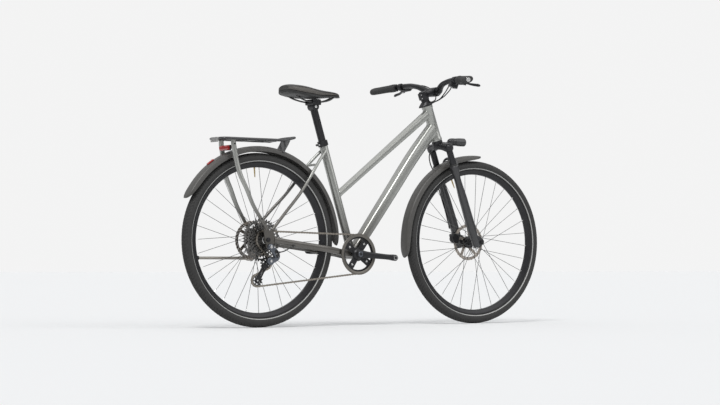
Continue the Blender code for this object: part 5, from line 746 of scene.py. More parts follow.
dropouts = {
    "left": dropout_edge + mm((-8, 340), (-4, 316), (30, 316), (36, 343), (44, 344)),
    "right": dropout_edge + mm((-8.5, 344), (-6.2, 330), (-0.5, 320.5), (7, 318), (14.5, 321.5),
        (18.5, 334), (27, 341.5), (44, 344))
}


def rounded(outline, radius=0.002, steps=4):
    """An outline whose corners b become curves (1-s)^2 p + 2 s (1-s) b + s^2 q from p to q beside them."""
    outline = np.asarray(outline, float)
    before, after = np.roll(outline, 1, axis=0), np.roll(outline, -1, axis=0)
    back, ahead = before - outline, after - outline
    back_length, ahead_length = (np.linalg.norm(v, axis=1, keepdims=True) for v in (back, ahead))
    p = outline + back * np.minimum(radius / back_length, 0.45)
    q = outline + ahead * np.minimum(radius / ahead_length, 0.45)
    s = np.linspace(0.0, 1.0, steps)[None, :, None]
    return ((1 - s)**2 * p[:, None] + 2 * s * (1 - s) * outline[:, None] + s**2 * q[:, None]).reshape(-1, 2)


# The seatstays turn brown grey below 0.72 m: partly a fade in the paint, partly painted shade.
stay_fade_and_shade = fade_and_shade("fading stay paint", 0.5, 0.72)
CHAINSTAY_HALF_WIDTH = 0.0075
SLEEVE_WALL = 0.0007
for side, hand in (("left", 1), ("right", -1)):
    for kind, (line, depths) in stay_lines.items():
        stations = [(x, hand * y, z, depth) for (x, y, z), depth in zip(line, depths)]
        fine = line_through(stations, 70)
        chainstay = kind == "chainstay"
        half_width = np.full(70, CHAINSTAY_HALF_WIDTH) if chainstay else fine[:, 3]
        sizes = np.stack([half_width, fine[:, 3]], axis=1)
        parts = [swept(fine[:, :3], sizes, 32, power=0.8 if chainstay else 1.0)]
        if chainstay:
            sleeve = swept(fine[1:8, :3], sizes[1:8] + SLEEVE_WALL, 32, power=0.8)
        else:
            parts.append(rod((0.262, hand * 0.0002, 0.67), (0.262, hand * 0.037, 0.67),
                mm((5.5, 0), (5.5, 33), (6.8, 36.8)), 24))
        piece(f"{kind}_{side}_looks", parts, chassis, stay_paint if chainstay else stay_fade_and_shade, "frame")
    face = sorted((hand * 0.0675, hand * 0.0745))
    dropout_parts = [plate([rounded(dropouts[side], 0.004, 6)], *face), sleeve]
    piece(f"dropout_{side}", dropout_parts, chassis, stay_paint, "frame", bevel=0.0008)


# Chain: 122 half-inch links of brownish steel, stamped plates riveted over rollers, inner and outer in turn.
# It lies round a 40-tooth ring, one of nine cogs and two jockey wheels. The run round ring and cog stays with
# the frame; the two stretches at the jockey wheels are separate pieces that ride on no body.
CHAIN_PITCH = 0.0127
CHAIN_LINKS = 122
COG_TEETH = (42, 34, 28, 24, 21, 18, 15, 13, 11)
COG_SPACING = 0.00435
ENGAGED = 5
CHAIN_Y = -0.021 - ENGAGED * COG_SPACING
RING_TEETH, JOCKEY_TEETH = 40, 12
RING_Y = CHAIN_Y - 0.0048
CRANK_CENTRE = (0.459, 0.3)
COG_CENTRE = (0.0, WHEEL_RADIUS)
UPPER_JOCKEY = (-0.543648 + WHEEL_BASE_HALF, 0.26091)
LOWER_JOCKEY = (-0.586972 + WHEEL_BASE_HALF, 0.19129)
chain_steel = finish_of("chain steel", (0.34, 0.31, 0.27), 0.3, 1.0, 0.0, 0.12, 90, 0.05)
drive_wheels = [(CRANK_CENTRE, RING_TEETH, -1, RING_Y), (LOWER_JOCKEY, JOCKEY_TEETH, -1, CHAIN_Y),
    (UPPER_JOCKEY, JOCKEY_TEETH, 1, CHAIN_Y), (COG_CENTRE, COG_TEETH[ENGAGED], -1, CHAIN_Y)]


def pitch_radius(teeth):
    """Radius through the pins on a sprocket, R = p / (2 sin(pi / n))."""
    return CHAIN_PITCH / (2 * math.sin(math.pi / teeth))


def chain_stretches():
    """The chain's closed path as arcs round the wheels and the straights that touch two of them."""
    lines = []
    for number, (centre, teeth, sense, _) in enumerate(drive_wheels):
        other, other_teeth, other_sense, _ = drive_wheels[(number + 1) % 4]
        here, there = np.array(centre), np.array(other)
        gap = there - here
        reach, other_reach = sense * pitch_radius(teeth), other_sense * pitch_radius(other_teeth)
        way = math.atan2(gap[1], gap[0]) - math.asin((other_reach - reach) / np.hypot(*gap))
        normal = np.array([math.sin(way), -math.cos(way)])
        lines.append((way, here + reach * normal, there + other_reach * normal))
    stretches = []
    for number, (centre, teeth, sense, level) in enumerate(drive_wheels):
        way_in, (way_out, leave, arrive) = lines[number - 1][0], lines[number]
        turn = sense * (way_out - way_in) % (2 * math.pi)
        start = way_in - sense * math.pi / 2
        stretches.append((turn * teeth / (2 * math.pi), centre, teeth, sense, level, start))
        next_level = drive_wheels[(number + 1) % 4][3]
        stretches.append((np.linalg.norm(arrive - leave) / CHAIN_PITCH, leave, arrive, level, next_level))
    return stretches


stretches = chain_stretches()
pins, phases, travelled = [], [], 0.0
for stretch in stretches:
    length = stretch[0]
    steps = np.arange(math.ceil(travelled - 1e-06), math.ceil(travelled + length - 1e-06)) - travelled
    if len(stretch) == 6:
        _, centre, teeth, sense, level, start = stretch
        phases.append(start - sense * travelled * 2 * math.pi / teeth)
        points = polar(pitch_radius(teeth), start + sense * steps * 2 * math.pi / teeth) + centre
        pins.append(np.column_stack([points[:, 0], np.full(len(steps), level), points[:, 1]]))
    else:
        _, leave, arrive, level, next_level = stretch
        share = (steps / length)[:, None]
        points = leave + share * (arrive - leave)
        levels = level + share[:, 0] * (next_level - level)
        pins.append(np.column_stack([points[:, 0], levels, points[:, 1]]))
    travelled += length
pins = np.vstack(pins)[:CHAIN_LINKS]

link_angle = np.linspace(math.radians(-120), math.radians(120), 7)
link_front = np.stack([CHAIN_PITCH + 0.004 * np.cos(link_angle), 0.004 * np.sin(link_angle)], axis=1)
link_back = np.stack([-0.004 * np.cos(link_angle), -0.004 * np.sin(link_angle)], axis=1)
link_outline = np.vstack([link_front, [(CHAIN_PITCH / 2, 0.0028)], link_back, [(CHAIN_PITCH / 2, -0.0028)]])
roller_profile = mm((1.8, 0), (1.8, 1.4), (3.9, 1.45), (3.9, 5.95), (1.8, 6), (1.8, 7.4))
RETURN_LINKS, RISE_LINKS = range(46, 59), range(59, 79)
chain_parts = {"chain_looks": [], "chain_return": [], "chain_rise": []}
for number, pin in enumerate(pins):
    link_shells = chain_parts["chain_looks"]
    if number in RETURN_LINKS:
        link_shells = chain_parts["chain_return"]
    elif number in RISE_LINKS:
        link_shells = chain_parts["chain_rise"]
    ahead = pins[(number + 1) % len(pins)] - pin
    ahead /= np.linalg.norm(ahead)
    axes = np.array([ahead, (0.0, 1.0, 0.0), np.cross(ahead, (0.0, 1.0, 0.0))])
    outer = number % 2
    low, high = (0.0024, 0.0034) if outer else (0.0013, 0.0023)
    for hand in (-1, 1):
        link_shells.append(placed(plate([link_outline], *sorted((hand * low, hand * high))), (pin, axes)))
    link_shells.append(placed(rod((0, -0.0037, 0), (0, 0.0037, 0), roller_profile, 10), (pin, axes)))
chain_holds = {
    "chain_looks": "frame",
    "chain_return": ("frame", "derailleur_cage", tuple(chassis[0] + (0.12, CHAIN_Y, 0.18)),
        tuple(chassis[0] + (-0.022, CHAIN_Y, 0.18))),
    "chain_rise": ("frame", "derailleur_cage", tuple(chassis[0] + (0.0, CHAIN_Y, 0.33)),
        tuple(chassis[0] + (0.0, CHAIN_Y, 0.279)))
}
for part_name, parts in chain_parts.items():
    piece(part_name, parts, chassis, chain_steel, chain_holds[part_name])


def toothed(teeth, phase, samples=10, root=0.0042, tip=0.0032, squareness=1.6):
    """A sprocket's outline: radius R + m + h tanh(k cos n(a - phase)) / tanh k, lowest where a pin lies."""
    angle = np.arange(teeth * samples) * 2 * math.pi / (teeth * samples)
    wave = -np.tanh(squareness * np.cos(teeth * (angle - phase))) / math.tanh(squareness)
    return polar(pitch_radius(teeth) + (tip - root) / 2 + wave * (tip + root) / 2, angle)


# Cassette: nine stamped steel cogs, 42 to 11 teeth, the large ones cut out between arms, on a splined core.
# A turned lock ring with a knurled rim holds them on the freehub.
cog_steel = finish_of("cog steel", (0.17, 0.166, 0.16), 0.3, 1.0, 0.0, 0.1, 60, 0.08)
cogs = []
for number, teeth in enumerate(COG_TEETH):
    level = -0.021 - number * COG_SPACING
    phase = phases[3] if number == ENGAGED else 0.1 * number
    root = pitch_radius(teeth) - 0.006
    holes = [circle(0.0172, count=36)]
    windows = 10 if teeth > 30 else 8
    if root > 0.034:
        for window in range(windows):
            step = 2 * math.pi / windows
            far = np.linspace(window * step + 0.12, (window + 1) * step - 0.06, 8)
            near = np.linspace((window + 1) * step - 0.12, window * step + 0.16, 6)
            holes.append(np.vstack([polar(root - 0.004, far), polar(0.027, near - 0.2)]))
    cogs.append(plate([toothed(teeth, phase)] + holes, level - 0.0009, level + 0.0009))
cassette_core = mm((17, -59), (18.6, -59), (19, -20), (17, -19.8))
cogs.append(lathe(cassette_core, 36, True))
piece("cassette_cogs", cogs, rear_hub, cog_steel, "cassette", nodes=["cassette"])
lock_ring = mm((10, -59), (10, -60.3), (16.5, -60.6), (17.8, -59.8), (17.8, -58), (12, -58))
piece("cassette_lock_ring", [lathe(lock_ring, 48, True)], rear_hub, silver_metal, "cassette")


# Chainring: black aluminium, machined, 40 teeth, cut out between four arms that four bolts hold to the crank.
# A smooth guard ring, painted brown grey, is riveted on outside and covers the teeth.
crank_place = (np.array([-0.094, 0.0, 0.3]), upright)
BOLT_TURN = math.radians(55)
ring_holes = []
for window in range(4):
    middle = window * math.pi / 2 + math.radians(10)
    far = np.linspace(middle - 0.56, middle + 0.56, 18)
    near = np.linspace(middle + 0.3, middle - 0.3, 8)
    ring_holes.append(np.vstack([polar(0.066, far), polar(0.029, near)]))
ring_plate = plate([toothed(RING_TEETH, phases[0], 12)] + [circle(0.0165, count=36)] + ring_holes,
    RING_Y - 0.0009, RING_Y + 0.0009)
piece("chainring_looks", [ring_plate], crank_place, black_metal, "crank")
step_ring = [(0.0655, RING_Y - 0.0009), (0.066, RING_Y - 0.0026), (0.0668, RING_Y - 0.003),
    (0.07, RING_Y - 0.0026), (0.0735, RING_Y - 0.0009)]
piece("chainring_step", [lathe(step_ring, 120, True)], crank_place, black_metal, "crank")
guard_profile = mm((72.8, -51.9), (85.8, -51.8), (86.6, -52.4), (86.6, -53.8), (85.8, -54.5), (73.8, -54.5),
    (72.8, -53.8))
guard_parts = [lathe(guard_profile, 160, True)]
for number in range(4):
    x, z = polar(0.0752, number * math.pi / 2 + BOLT_TURN)
    rivet = mm((2.2, 0), (2.2, 7.2), (1.6, 7.45))
    guard_parts.append(rod((x, RING_Y - 0.0008, z), (x, -0.055, z), rivet, 16))
ring_guard_paint = finish_of("chain guard paint", (0.135, 0.125, 0.11), 0.38, 0.55, 0.2, 0.05, 40)
piece("chain_guard_ring", guard_parts, crank_place, ring_guard_paint, "crank")
ring_bolts = []
for number in range(4):
    x, z = polar(0.052, number * math.pi / 2 + BOLT_TURN)
    ring_bolts.append(socket_bolt((x, RING_Y - 0.0009, z), (0, -1, 0), 0.0048, 0.0024))
piece("chainring_bolts", ring_bolts, crank_place, silver_metal, "crank")


# Crank arms: forged aluminium, satin black, with softened edges; their pedal eyes are bare and threaded.
# The right one's axle end carries the ring's boss, the left one is pinched on the axle.
CRANK_LENGTH = 0.17
ARM_ROOT_Y = 0.056
EYE_FACE_Y = 0.0826
blue_metal = finish_of("blue grey metal", (0.12, 0.13, 0.15), 0.34, 0.8, 0.0, 0.08, 40, 0.08)
arm_stations = mm((-15, 9, 0, 13), (-8, 15, 0, 14), (6, 17, 0, 15), (35, 14, 3, 14), (90, 12, 8, 13),
    (140, 11.5, 12.5, 13), (166, 13, 14, 13), (178, 11, 14, 13), (182.5, 5.5, 14, 12))
arm_fine = line_through(arm_stations, 80, 1)
eye_collar = mm((7, 0), (7.2, 1), (9.2, 1), (9.4, 0), (9.2, -0.6), (7, -0.6))
axle_bolt = mm((11.8, 0), (11.8, 1.2), (11, 2.2), (6.2, 2.2), (5.8, 0.4), (0.2, 0.4))
for side, hand, way in (("right", -1, -math.radians(5)), ("left", 1, math.radians(175))):
    reach = np.array([math.cos(way), 0.0, math.sin(way)])
    centre = reach * arm_fine[:, :1]
    centre[:, 1] = hand * (ARM_ROOT_Y + arm_fine[:, 2] + arm_fine[:, 3] / 2)
    arm = swept(centre, np.stack([arm_fine[:, 3] / 2, arm_fine[:, 1]], axis=1), 32,
        (-math.sin(way), 0.0, math.cos(way)), 0.55)
    eye = reach * CRANK_LENGTH
    parts = [arm]
    if side == "right":
        parts.append(lathe([(0.0125, 0.056), (0.0125, -0.043), (0.016, -0.044), (0.0225, RING_Y - 0.0012),
            (0.0262, RING_Y - 0.0016), (0.025, RING_Y - 0.0045), (0.018, -0.059), (0.016, -0.06)]))
    else:
        parts.append(lathe(mm((15, 60), (16.5, 59), (16.5, 44), (15, 43.2))))
    piece(f"crank_arm_{side}_looks", parts, crank_place, black_metal, "crank")
    ring_grid = turned(eye_collar, 36)
    ring_grid[:, :, 1] *= hand
    ring_grid += eye + (0.0, hand * EYE_FACE_Y, 0.0)
    piece(f"pedal_eye_{side}", [shell(ring_grid, ring=True)], crank_place, silver_metal, "crank")
    axle_end = rod((0, hand * 0.069, 0), (0, hand * 0.0735, 0), axle_bolt, 36)
    piece(f"crank_bolt_{side}", [axle_end], crank_place, blue_metal, "crank")


# Fork: a suspension fork with black stanchions pressed into a forged crown, and cast magnesium lowers.
# The arch joins the lowers over the tyre; dust wipers stand on their tops and preload caps on the crown.
FORK_LEG_X, FORK_LEG_Y = 0.007, 0.06
STANCHION_RADIUS = 0.014
black_paint = finish_of("satin black paint", (0.022, 0.022, 0.024), 0.35, 0.0, 0.6, 0.1, 30, 0.05)


def mirrored(points):
    """Points of the left side on to the middle and over to the right side."""
    points = np.asarray(points, float)
    flip = np.ones(points.shape[1])
    flip[1] = -1
    return np.vstack([points[::-1], (points * flip)[1:]])


def shifted(made, offset):
    """A shell moved by an offset."""
    return made[0] + np.asarray(offset, float), made[1], made[2]


crown_line = line_through(mirrored(mm((2, 0, 457, 24, 15.5), (4.5, 25, 454, 22.5, 15.5),
    (7, 48, 447, 21.5, 17), (7, 60, 443, 20.5, 18), (7, 72, 442, 17, 16.5), (7, 79, 441, 9, 11))), 70)
crown_parts = [
    swept(crown_line[:, :3], crown_line[:, 3:], 44, power=0.75),
    lathe_z(mm((15, 448), (23.5, 460), (23.5, 476), (22.8, 479.6), (15, 480.2))),
    lathe_z(mm((14.3, 450), (14.3, 694), (13.6, 700)), 32),
]
preload_cap = mm((13.5, 456), (13.5, 461.2), (12.8, 462.4), (7, 462.6), (6, 461.6), (5.8, 460))
for hand in (-1, 1):
    foot = (FORK_LEG_X, hand * FORK_LEG_Y, 0.0)
    crown_parts.append(shifted(lathe_z([(STANCHION_RADIUS, 0.15), (STANCHION_RADIUS, 0.45)], 40), foot))
    crown_parts.append(shifted(lathe_z(preload_cap, 40), foot))
piece("fork_crown_looks", crown_parts, steering, black_metal, "steering", 40)

ARCH_TOP = 0.3858
lower_profile = mm((15, 360.4), (17.8, 360), (18.8, 358.8), (19.5, 356), (19.5, 344), (18.7, 340),
    (18.5, 200), (17, 20), (14.5, -8), (13.6, -11), (11.5, -12))
arch_line = line_through(mirrored([(0.04, 0.0, ARCH_TOP), (0.04, 0.023, ARCH_TOP - 0.0005),
    (0.038, 0.038, ARCH_TOP - 0.009), (0.03, 0.05, ARCH_TOP - 0.028), (0.0082, 0.0591, ARCH_TOP - 0.054)]),
    80)
arch_depth = 0.008 * (1 - 0.18 * np.exp(-(arch_line[:, 1] / 0.02)**2))
arch_sizes = np.stack([arch_depth, np.full(80, 0.0055)], axis=1)
lower_parts = [swept(arch_line, arch_sizes, 36, (-0.15, 0.0, 1.0), 0.7)]
lower_rows = line_through(lower_profile[3:9], 30, 2).tolist() + lower_profile[9:]
dropout_arc = polar(0.014, np.radians(np.linspace(-115, 40, 10))) + (0.04, 0.0)
fork_dropout = np.vstack([dropout_arc, mm((50, 12), (19, 45), (-3, 45), (-5, -6), (7, -13))])
for hand in (-1, 1):
    foot = (FORK_LEG_X, hand * FORK_LEG_Y, 0.0)
    lower_parts.append(shifted(lathe_z(lower_rows), foot))
    lower_parts.append(shifted(lathe_z(lower_profile[:4]), foot))
    low, high = sorted((hand * 0.05, hand * 0.06))
    lower_parts.append(plate([rounded(fork_dropout, 0.003)], low, high))
piece("fork_lowers_looks", lower_parts, steering, black_paint, "fork_lowers", 40,
    bevel=0.001)
wiper = mm((14.2, 360), (18, 360.4), (18.2, 363), (17.2, 364), (16.5, 367.2), (15, 368), (14.2, 367.6))
wipers = [shifted(lathe_z(wiper, 48, True), (FORK_LEG_X, hand * FORK_LEG_Y, 0.0)) for hand in (-1, 1)]
wiper_rubber = finish_of("wiper rubber", (0.018, 0.018, 0.018), 0.62, 0.0, 0.0, 0.12, 80, 0.15)
piece("fork_wipers", wipers, steering, wiper_rubber, "fork_lowers")
fender_bolts = [
    socket_bolt((0.0478, hand * 0.0125, ARCH_TOP - 0.0003), (1.0, 0.0, -0.05), 0.0032, 0.0022)
    for hand in (-1, 1)
]
piece("fork_arch_bolts", fender_bolts, steering, silver_metal, "fork_lowers")


# Axles: black steel, threaded, with flanged hexagon nuts outside the dropouts.
# The bearing cones stand between the hub's ends and the dropouts.
axle_sizes = {
    "rear": (rear_hub, "frame", 0.0675, 0.007, 0.005, 0.0075),
    "front": (front_hub, "fork_lowers", 0.05, 0.01, 0.003, 0.0065)
}
for name, (place, body, face, thickness, cone, end) in axle_sizes.items():
    outer = face + thickness
    parts = [lathe([(0.0049, -outer - end), (0.0049, outer + end)], 24)]
    for hand in (-1, 1):
        parts.append(lathe([(0.0052, hand * (face - cone)), (0.0083, hand * (face - cone)),
            (0.0085, hand * (face - 0.0006)), (0.0085, hand * face)], 32))
        parts.append(lathe([(0.0094, hand * outer), (0.0094, hand * (outer + 0.0012)),
            (0.0088, hand * (outer + 0.0015)), (0.0052, hand * (outer + 0.0015))], 32))
        parts.append(lathe([(0.0088, hand * (outer + 0.0014)), (0.0092, hand * (outer + 0.0022)),
            (0.0092, hand * (outer + end - 0.002)), (0.0084, hand * (outer + end - 0.0008)),
            (0.0052, hand * (outer + end - 0.0008))], 6))
    piece(f"{name}_axle_looks", parts, place, black_metal, body, 30, bevel=0.0003, steps=1)


# Mudguards: channels of dark grey moulded plastic, 56 mm wide, with a rolled lip along each side.
# The front one bolts to the fork's arch, the rear one to the stays' bridge and the hoop.
guard_plastic = finish_of("mudguard plastic", (0.068, 0.065, 0.061), 0.4, 0.0, 0.0, 0.08, 25, 0.1)
GUARD_WALL = 0.002
GUARD_SKIRT = 0.0236
guard_half = [(0.0, 0.0), (0.0001, 0.008), (0.001, 0.014), (0.003, 0.02), (0.0068, 0.0252), (0.012, 0.0268),
    (0.019, 0.0276), (0.0222, 0.028), (GUARD_SKIRT, 0.0276), (GUARD_SKIRT - 0.0002, 0.0264)]
guards = {
    "rear": (rear_hub, "frame", 0.384, -3.0, 154.6, 12.0, 7.0),
    "front": (front_hub, "fork_lowers", 0.38, 64.5, 171.0, 7.0, 9.0)
}


def channel(crown_radius, start, end, start_round, end_round):
    """A thin channel about the axle; both its ends are rounded over those angles.

    Near an end the section's width shrinks by sqrt(1 - (1 - t)^2.4), t the share of the rounding done, and
    the skirt's depth by sqrt(1 - (1 - u)^1.6) over twice that angle, u the share of that.
    """
    outer = line_through(guard_half, 26, 2)
    slope = np.gradient(outer, axis=0)
    inward = np.stack([slope[:, 1], -slope[:, 0]], axis=1) / np.linalg.norm(slope, axis=1, keepdims=True)
    inward[0] = (1.0, 0.0)
    inner = outer + GUARD_WALL * inward * np.linspace(1.0, 0.9, 26)[:, None]
    loop = np.vstack([outer, inner[::-1][:-1], inner * (1, -1), (outer * (1, -1))[::-1][:-1]])
    turn = np.concatenate([start + start_round * (1 - np.cos(np.linspace(0.04, math.pi / 2, 18))),
        np.linspace(start + start_round, end - end_round, 120)[1:-1],
        end - end_round * (1 - np.cos(np.linspace(math.pi / 2, 0.04, 18)))])
    done = np.minimum((turn - start) / start_round, (end - turn) / end_round)[:, None]
    wide = np.sqrt(1 - (1 - np.minimum(done, 1.0))**2.4)
    deep = np.sqrt(1 - (1 - np.minimum(done / 2, 1.0))**1.6)
    radius = crown_radius - loop[None, :, 0] * deep
    level = loop[None, :, 1] * wide
    turn = np.radians(turn)[:, None]
    return shell(np.stack([radius * np.cos(turn), level, radius * np.sin(turn)], axis=2))


for name, (place, body, *sizes) in guards.items():
    piece(f"{name}_mudguard_looks", [channel(*sizes)], place, guard_plastic, body, 50)


# Carrier: a welded frame of 10 mm black steel tube with rails along its deck and a raised front loop.
# A sheet-steel strut comes down to the mudguard at the front; a bright stamped plate stands across the back.
CARRIER_REAR, CARRIER_FRONT = -0.204, 0.15
CARRIER_HALF_WIDTH, CARRIER_CORNER = 0.06, 0.03
CARRIER_LEVEL = 0.764


def carrier_rise(x):
    """Height of the deck's tubes at x: level, then 14 mm up over the last 60 mm."""
    share = (x - CARRIER_FRONT + 2 * CARRIER_CORNER) / (2 * CARRIER_CORNER)
    return CARRIER_LEVEL + 0.014 * np.maximum(0.0, share)


deck_corners = [(CARRIER_REAR + CARRIER_CORNER, -CARRIER_HALF_WIDTH + CARRIER_CORNER, 180),
    (CARRIER_FRONT - CARRIER_CORNER, -CARRIER_HALF_WIDTH + CARRIER_CORNER, 270),
    (CARRIER_FRONT - CARRIER_CORNER, CARRIER_HALF_WIDTH - CARRIER_CORNER, 360),
    (CARRIER_REAR + CARRIER_CORNER, CARRIER_HALF_WIDTH - CARRIER_CORNER, 450)]
deck_path = []
for x, y, start in deck_corners:
    deck_path.append(polar(CARRIER_CORNER, np.radians(np.linspace(start, start + 90, 14))) + (x, y))
    if start in (270, 450):
        continue
    run = np.linspace(x, -x + CARRIER_REAR + CARRIER_FRONT, 30)[1:-1]
    deck_path.append(np.stack([run, np.full(28, math.copysign(CARRIER_HALF_WIDTH, y))], axis=1))
deck_path = np.vstack(deck_path)
deck_loop = np.column_stack([deck_path, carrier_rise(deck_path[:, 0])])
carrier_parts = [swept(deck_loop, (0.005, 0.005), 20, ring=True)]
deck_bar = [(0.004, 0.0), (0.004, 2 * CARRIER_HALF_WIDTH)]
for x in (-0.14, -0.04, 0.06):
    ends = [(x, hand * CARRIER_HALF_WIDTH, CARRIER_LEVEL - 0.0005) for hand in (-1, 1)]
    carrier_parts.append(rod(*ends, deck_bar, 16))
rail_x = np.linspace(CARRIER_REAR, CARRIER_FRONT, 50)
for rail_y in (-0.022, 0.022):
    rail = np.column_stack([rail_x, np.full(50, rail_y), carrier_rise(rail_x)])
    carrier_parts.append(swept(rail, (0.0035, 0.0035), 14))
strut_line = line_through(mm((133, 0, 774), (124, 0, 754), (112, 0, 734), (100, 0, 715)), 14)
carrier_parts.append(swept(strut_line, (0.035, 0.0016), 40, power=0.22))
piece("rear_carrier_looks", carrier_parts, chassis, black_paint, "frame", 50)
sideways = (np.zeros(3), np.array([(0.0, 1.0, 0.0), (1.0, 0.0, 0.0), (0.0, 0.0, 1.0)]))
end_plate = rounded(mm((-29, 749), (29, 749), (29, 769), (-29, 769)), 0.004, 5)
plate_holes = [circle(0.0022, (hand * 0.02, 0.7555), 16) for hand in (-1, 1)]
stamped_steel = finish_of("stamped bright steel", (0.62, 0.62, 0.6), 0.28, 0.9, 0.3, 0.05, 60, 0.05)
stamped = placed(plate([end_plate] + plate_holes, CARRIER_REAR - 0.006, CARRIER_REAR - 0.003), sideways)
piece("carrier_end_plate", [stamped], chassis, stamped_steel, "frame", bevel=0.0005)


# Hoop: two wide flat-oval aluminium legs from the deck to the dropouts, in frame paint that turns brown grey
# downwards, partly a fade in the paint and partly painted shade.
# A round cross bar joins them behind the mudguard; black bolts hold the deck and the mudguard to it.
hoop_top = CARRIER_LEVEL - 0.0053
hoop_shares = [(-0.149, 0.048, 1.0), (-0.147, 0.049, 0.928), (-0.142, 0.05, 0.861), (-0.137, 0.052, 0.772),
    (-0.13, 0.055, 0.68), (-0.12, 0.058, 0.594), (-0.096, 0.061, 0.46), (-0.063, 0.064, 0.259),
    (-0.03, 0.068, 0.114), (-0.002, 0.071, -0.006)]
hoop_widths = [0.0105, 0.011, 0.011, 0.0108, 0.0105, 0.01, 0.009, 0.008, 0.0075, 0.007]
hoop_points = []
for (x, y, share), width in zip(hoop_shares, hoop_widths):
    hoop_points.append((x, y, 0.4 + share * (hoop_top - 0.4), width))
hoop_line = line_through(hoop_points, 90)
hoop_parts = []
for hand in (-1, 1):
    path = hoop_line[:, :3] * (1, hand, 1)
    hoop_parts.append(swept(path, np.stack([np.full(90, 0.0065), hoop_line[:, 3]], axis=1), 40,
        (1, 0, 0.45), 0.85))
cross_bar = [(0.005, 0.0), (0.005, 0.099)]
hoop_parts.append(rod((-0.1455, -0.0495, 0.728), (-0.1455, 0.0495, 0.728), cross_bar, 24))
# The hoop's legs turn brown grey below 0.58 m: partly a fade in the paint, partly painted shade.
hoop_fade_and_shade = fade_and_shade("fading hoop paint", 0.4, 0.58)
piece("carrier_hoop_looks", hoop_parts, chassis, hoop_fade_and_shade, "frame", 40)
hoop_bolts = []
for x, y, z, radius in ((-0.1465, 0.0547, 0.742, 0.0034), (-0.03, 0.0742, 0.441, 0.0032)):
    hoop_bolts += [socket_bolt((x, hand * y, z), (0.0, hand, 0.0), radius, 0.0024) for hand in (-1, 1)]
piece("hoop_bolts", hoop_bolts, chassis, black_metal, "frame")


# Tail light and reflector: red moulded lenses; the light's stands on a black housing screwed to the hoop's
# cross bar, the reflector sits on the mudguard.
lamp_plastic = finish_of("lamp housing", (0.03, 0.03, 0.032), 0.3, 0.0, 0.2, 0.08, 40, 0.05)
red_lens = finish_of("red lens", (0.35, 0.01, 0.01), 0.18, 0.0, 0.5, 0.1, 200, 0.05)
housing = rounded(mm((-150.8, 716), (-150.8, 738), (-158.8, 737.6), (-158.8, 716.2)), 0.002)
lens = rounded(mm((-158.6, 717.2), (-158.6, 736.6), (-162.8, 736.6), (-167, 730.8), (-167, 722.2),
    (-162.8, 716.8)), 0.0018)
piece("tail_light_housing", [plate([housing], -0.035, 0.035)], chassis, lamp_plastic, "frame",
    nodes=["tail_light"], bevel=0.0012, steps=3)
piece("tail_light_lens", [plate([lens], -0.0338, 0.0338)], chassis, red_lens, "frame",
    bevel=0.0012, steps=3)
sector = np.radians(np.linspace(123.6, 128.7, 12))
reflector = np.vstack([polar(0.3895, sector), polar(0.3843, sector[::-1])])
piece("rear_reflector_looks", [plate([reflector], -0.0058, 0.0058)], rear_hub, red_lens, "frame",
    bevel=0.0014, steps=3)


# Seatpost: a black aluminium tube with a forged head, its two clamp halves drawn together by a bolt.
# The clamp grips the saddle's steel rails, which spring up to the shell at both ends.
saddle_frame = (np.array([-0.287354, 0.0, 0.91324]), upright)
POST_TOP = 0.643
post_profile = [(0.0158, POST_TOP - 0.325), (0.0158, POST_TOP - 0.012), (0.015, POST_TOP)]
post_head = mm((16, -20), (17, -19.2), (17, 19.2), (16, 20))
post_parts = [placed(lathe_z(post_profile), seat_frame), placed(lathe(post_head), saddle_frame)]
cradle = rounded(mm((-20.5, 6), (20.5, 6), (21, 18.5), (-21, 18.5)), 0.004)
jaw = rounded(mm((-21, 19.2), (21, 19.2), (19.5, 29), (12, 30.3), (-12, 30.3), (-19.5, 29)), 0.003)
post_parts += [placed(plate([outline], -0.029, 0.029), saddle_frame) for outline in (cradle, jaw)]
piece("seatpost_looks", post_parts, None, black_metal, "seatpost", 40, bevel=0.0008)
post_bolts = [socket_bolt((0.0, hand * 0.0198, 0.0), (0.0, hand, 0.0), 0.0062, 0.0028) for hand in (-1, 1)]
piece("seatpost_bolt", post_bolts, saddle_frame, silver_metal, "seatpost")


# Saddle: a foam cushion under a stitched cover on a moulded shell, with dull grey-brown side panels.
# The cover is glued over the foam and swells between its seams; rails of 7 mm steel are set into the shell.
cover = finish_of("saddle cover", (0.035, 0.033, 0.031), 0.48, 0.0, 0.0, 0.08, 30, 0.35, 0.001)
shell_plastic = finish_of("saddle shell plastic", (0.02, 0.02, 0.02), 0.5, 0.0, 0.0, 0.1, 30, 0.2)
saddle_stations = line_through(mm((-145, 40, 84.5, 62, 52), (-133, 62, 87.2, 58, 45.5),
    (-105, 75, 87.2, 52, 39), (-65, 75, 84, 48, 33), (-25, 62, 78.5, 46, 32), (15, 44, 73.5, 45, 33.5),
    (55, 31, 70, 47, 37.5), (90, 25, 67, 48, 41), (108, 22.5, 64.5, 47, 41), (119, 18.5, 61, 45.5, 40.8),
    (125, 12.5, 57, 44.5, 41), (127.5, 6, 52, 44, 41.5)), 110, 1)
CUSHION_SHRINK = 0.0016
PANEL_COLOUR = (0.085, 0.078, 0.07)
PANEL_EDGE = (0.895, 0.905)


def saddle_section(row, around=72):
    """The cushion's section at a station: a flat foot at the seam and a crown over it.

    y = w cos a and z = seam + (top - seam)(0.10 + 0.90 sin^0.55 a) over the top, both drawn in by the shrink.
    """
    x, half_width, top, seam, _ = row
    angle = np.linspace(0.0, math.pi, around - 16)
    half_width, top = half_width - CUSHION_SHRINK, top - CUSHION_SHRINK
    rise = (top - seam) * (0.1 + 0.9 * np.sin(angle).clip(0.0)**0.55)
    foot = np.linspace(-0.93, 0.93, 16) * half_width
    level = np.concatenate([seam + rise, np.full(16, seam + 0.0004)])
    return np.column_stack([np.full(around, x), np.concatenate([half_width * np.cos(angle), foot]), level])


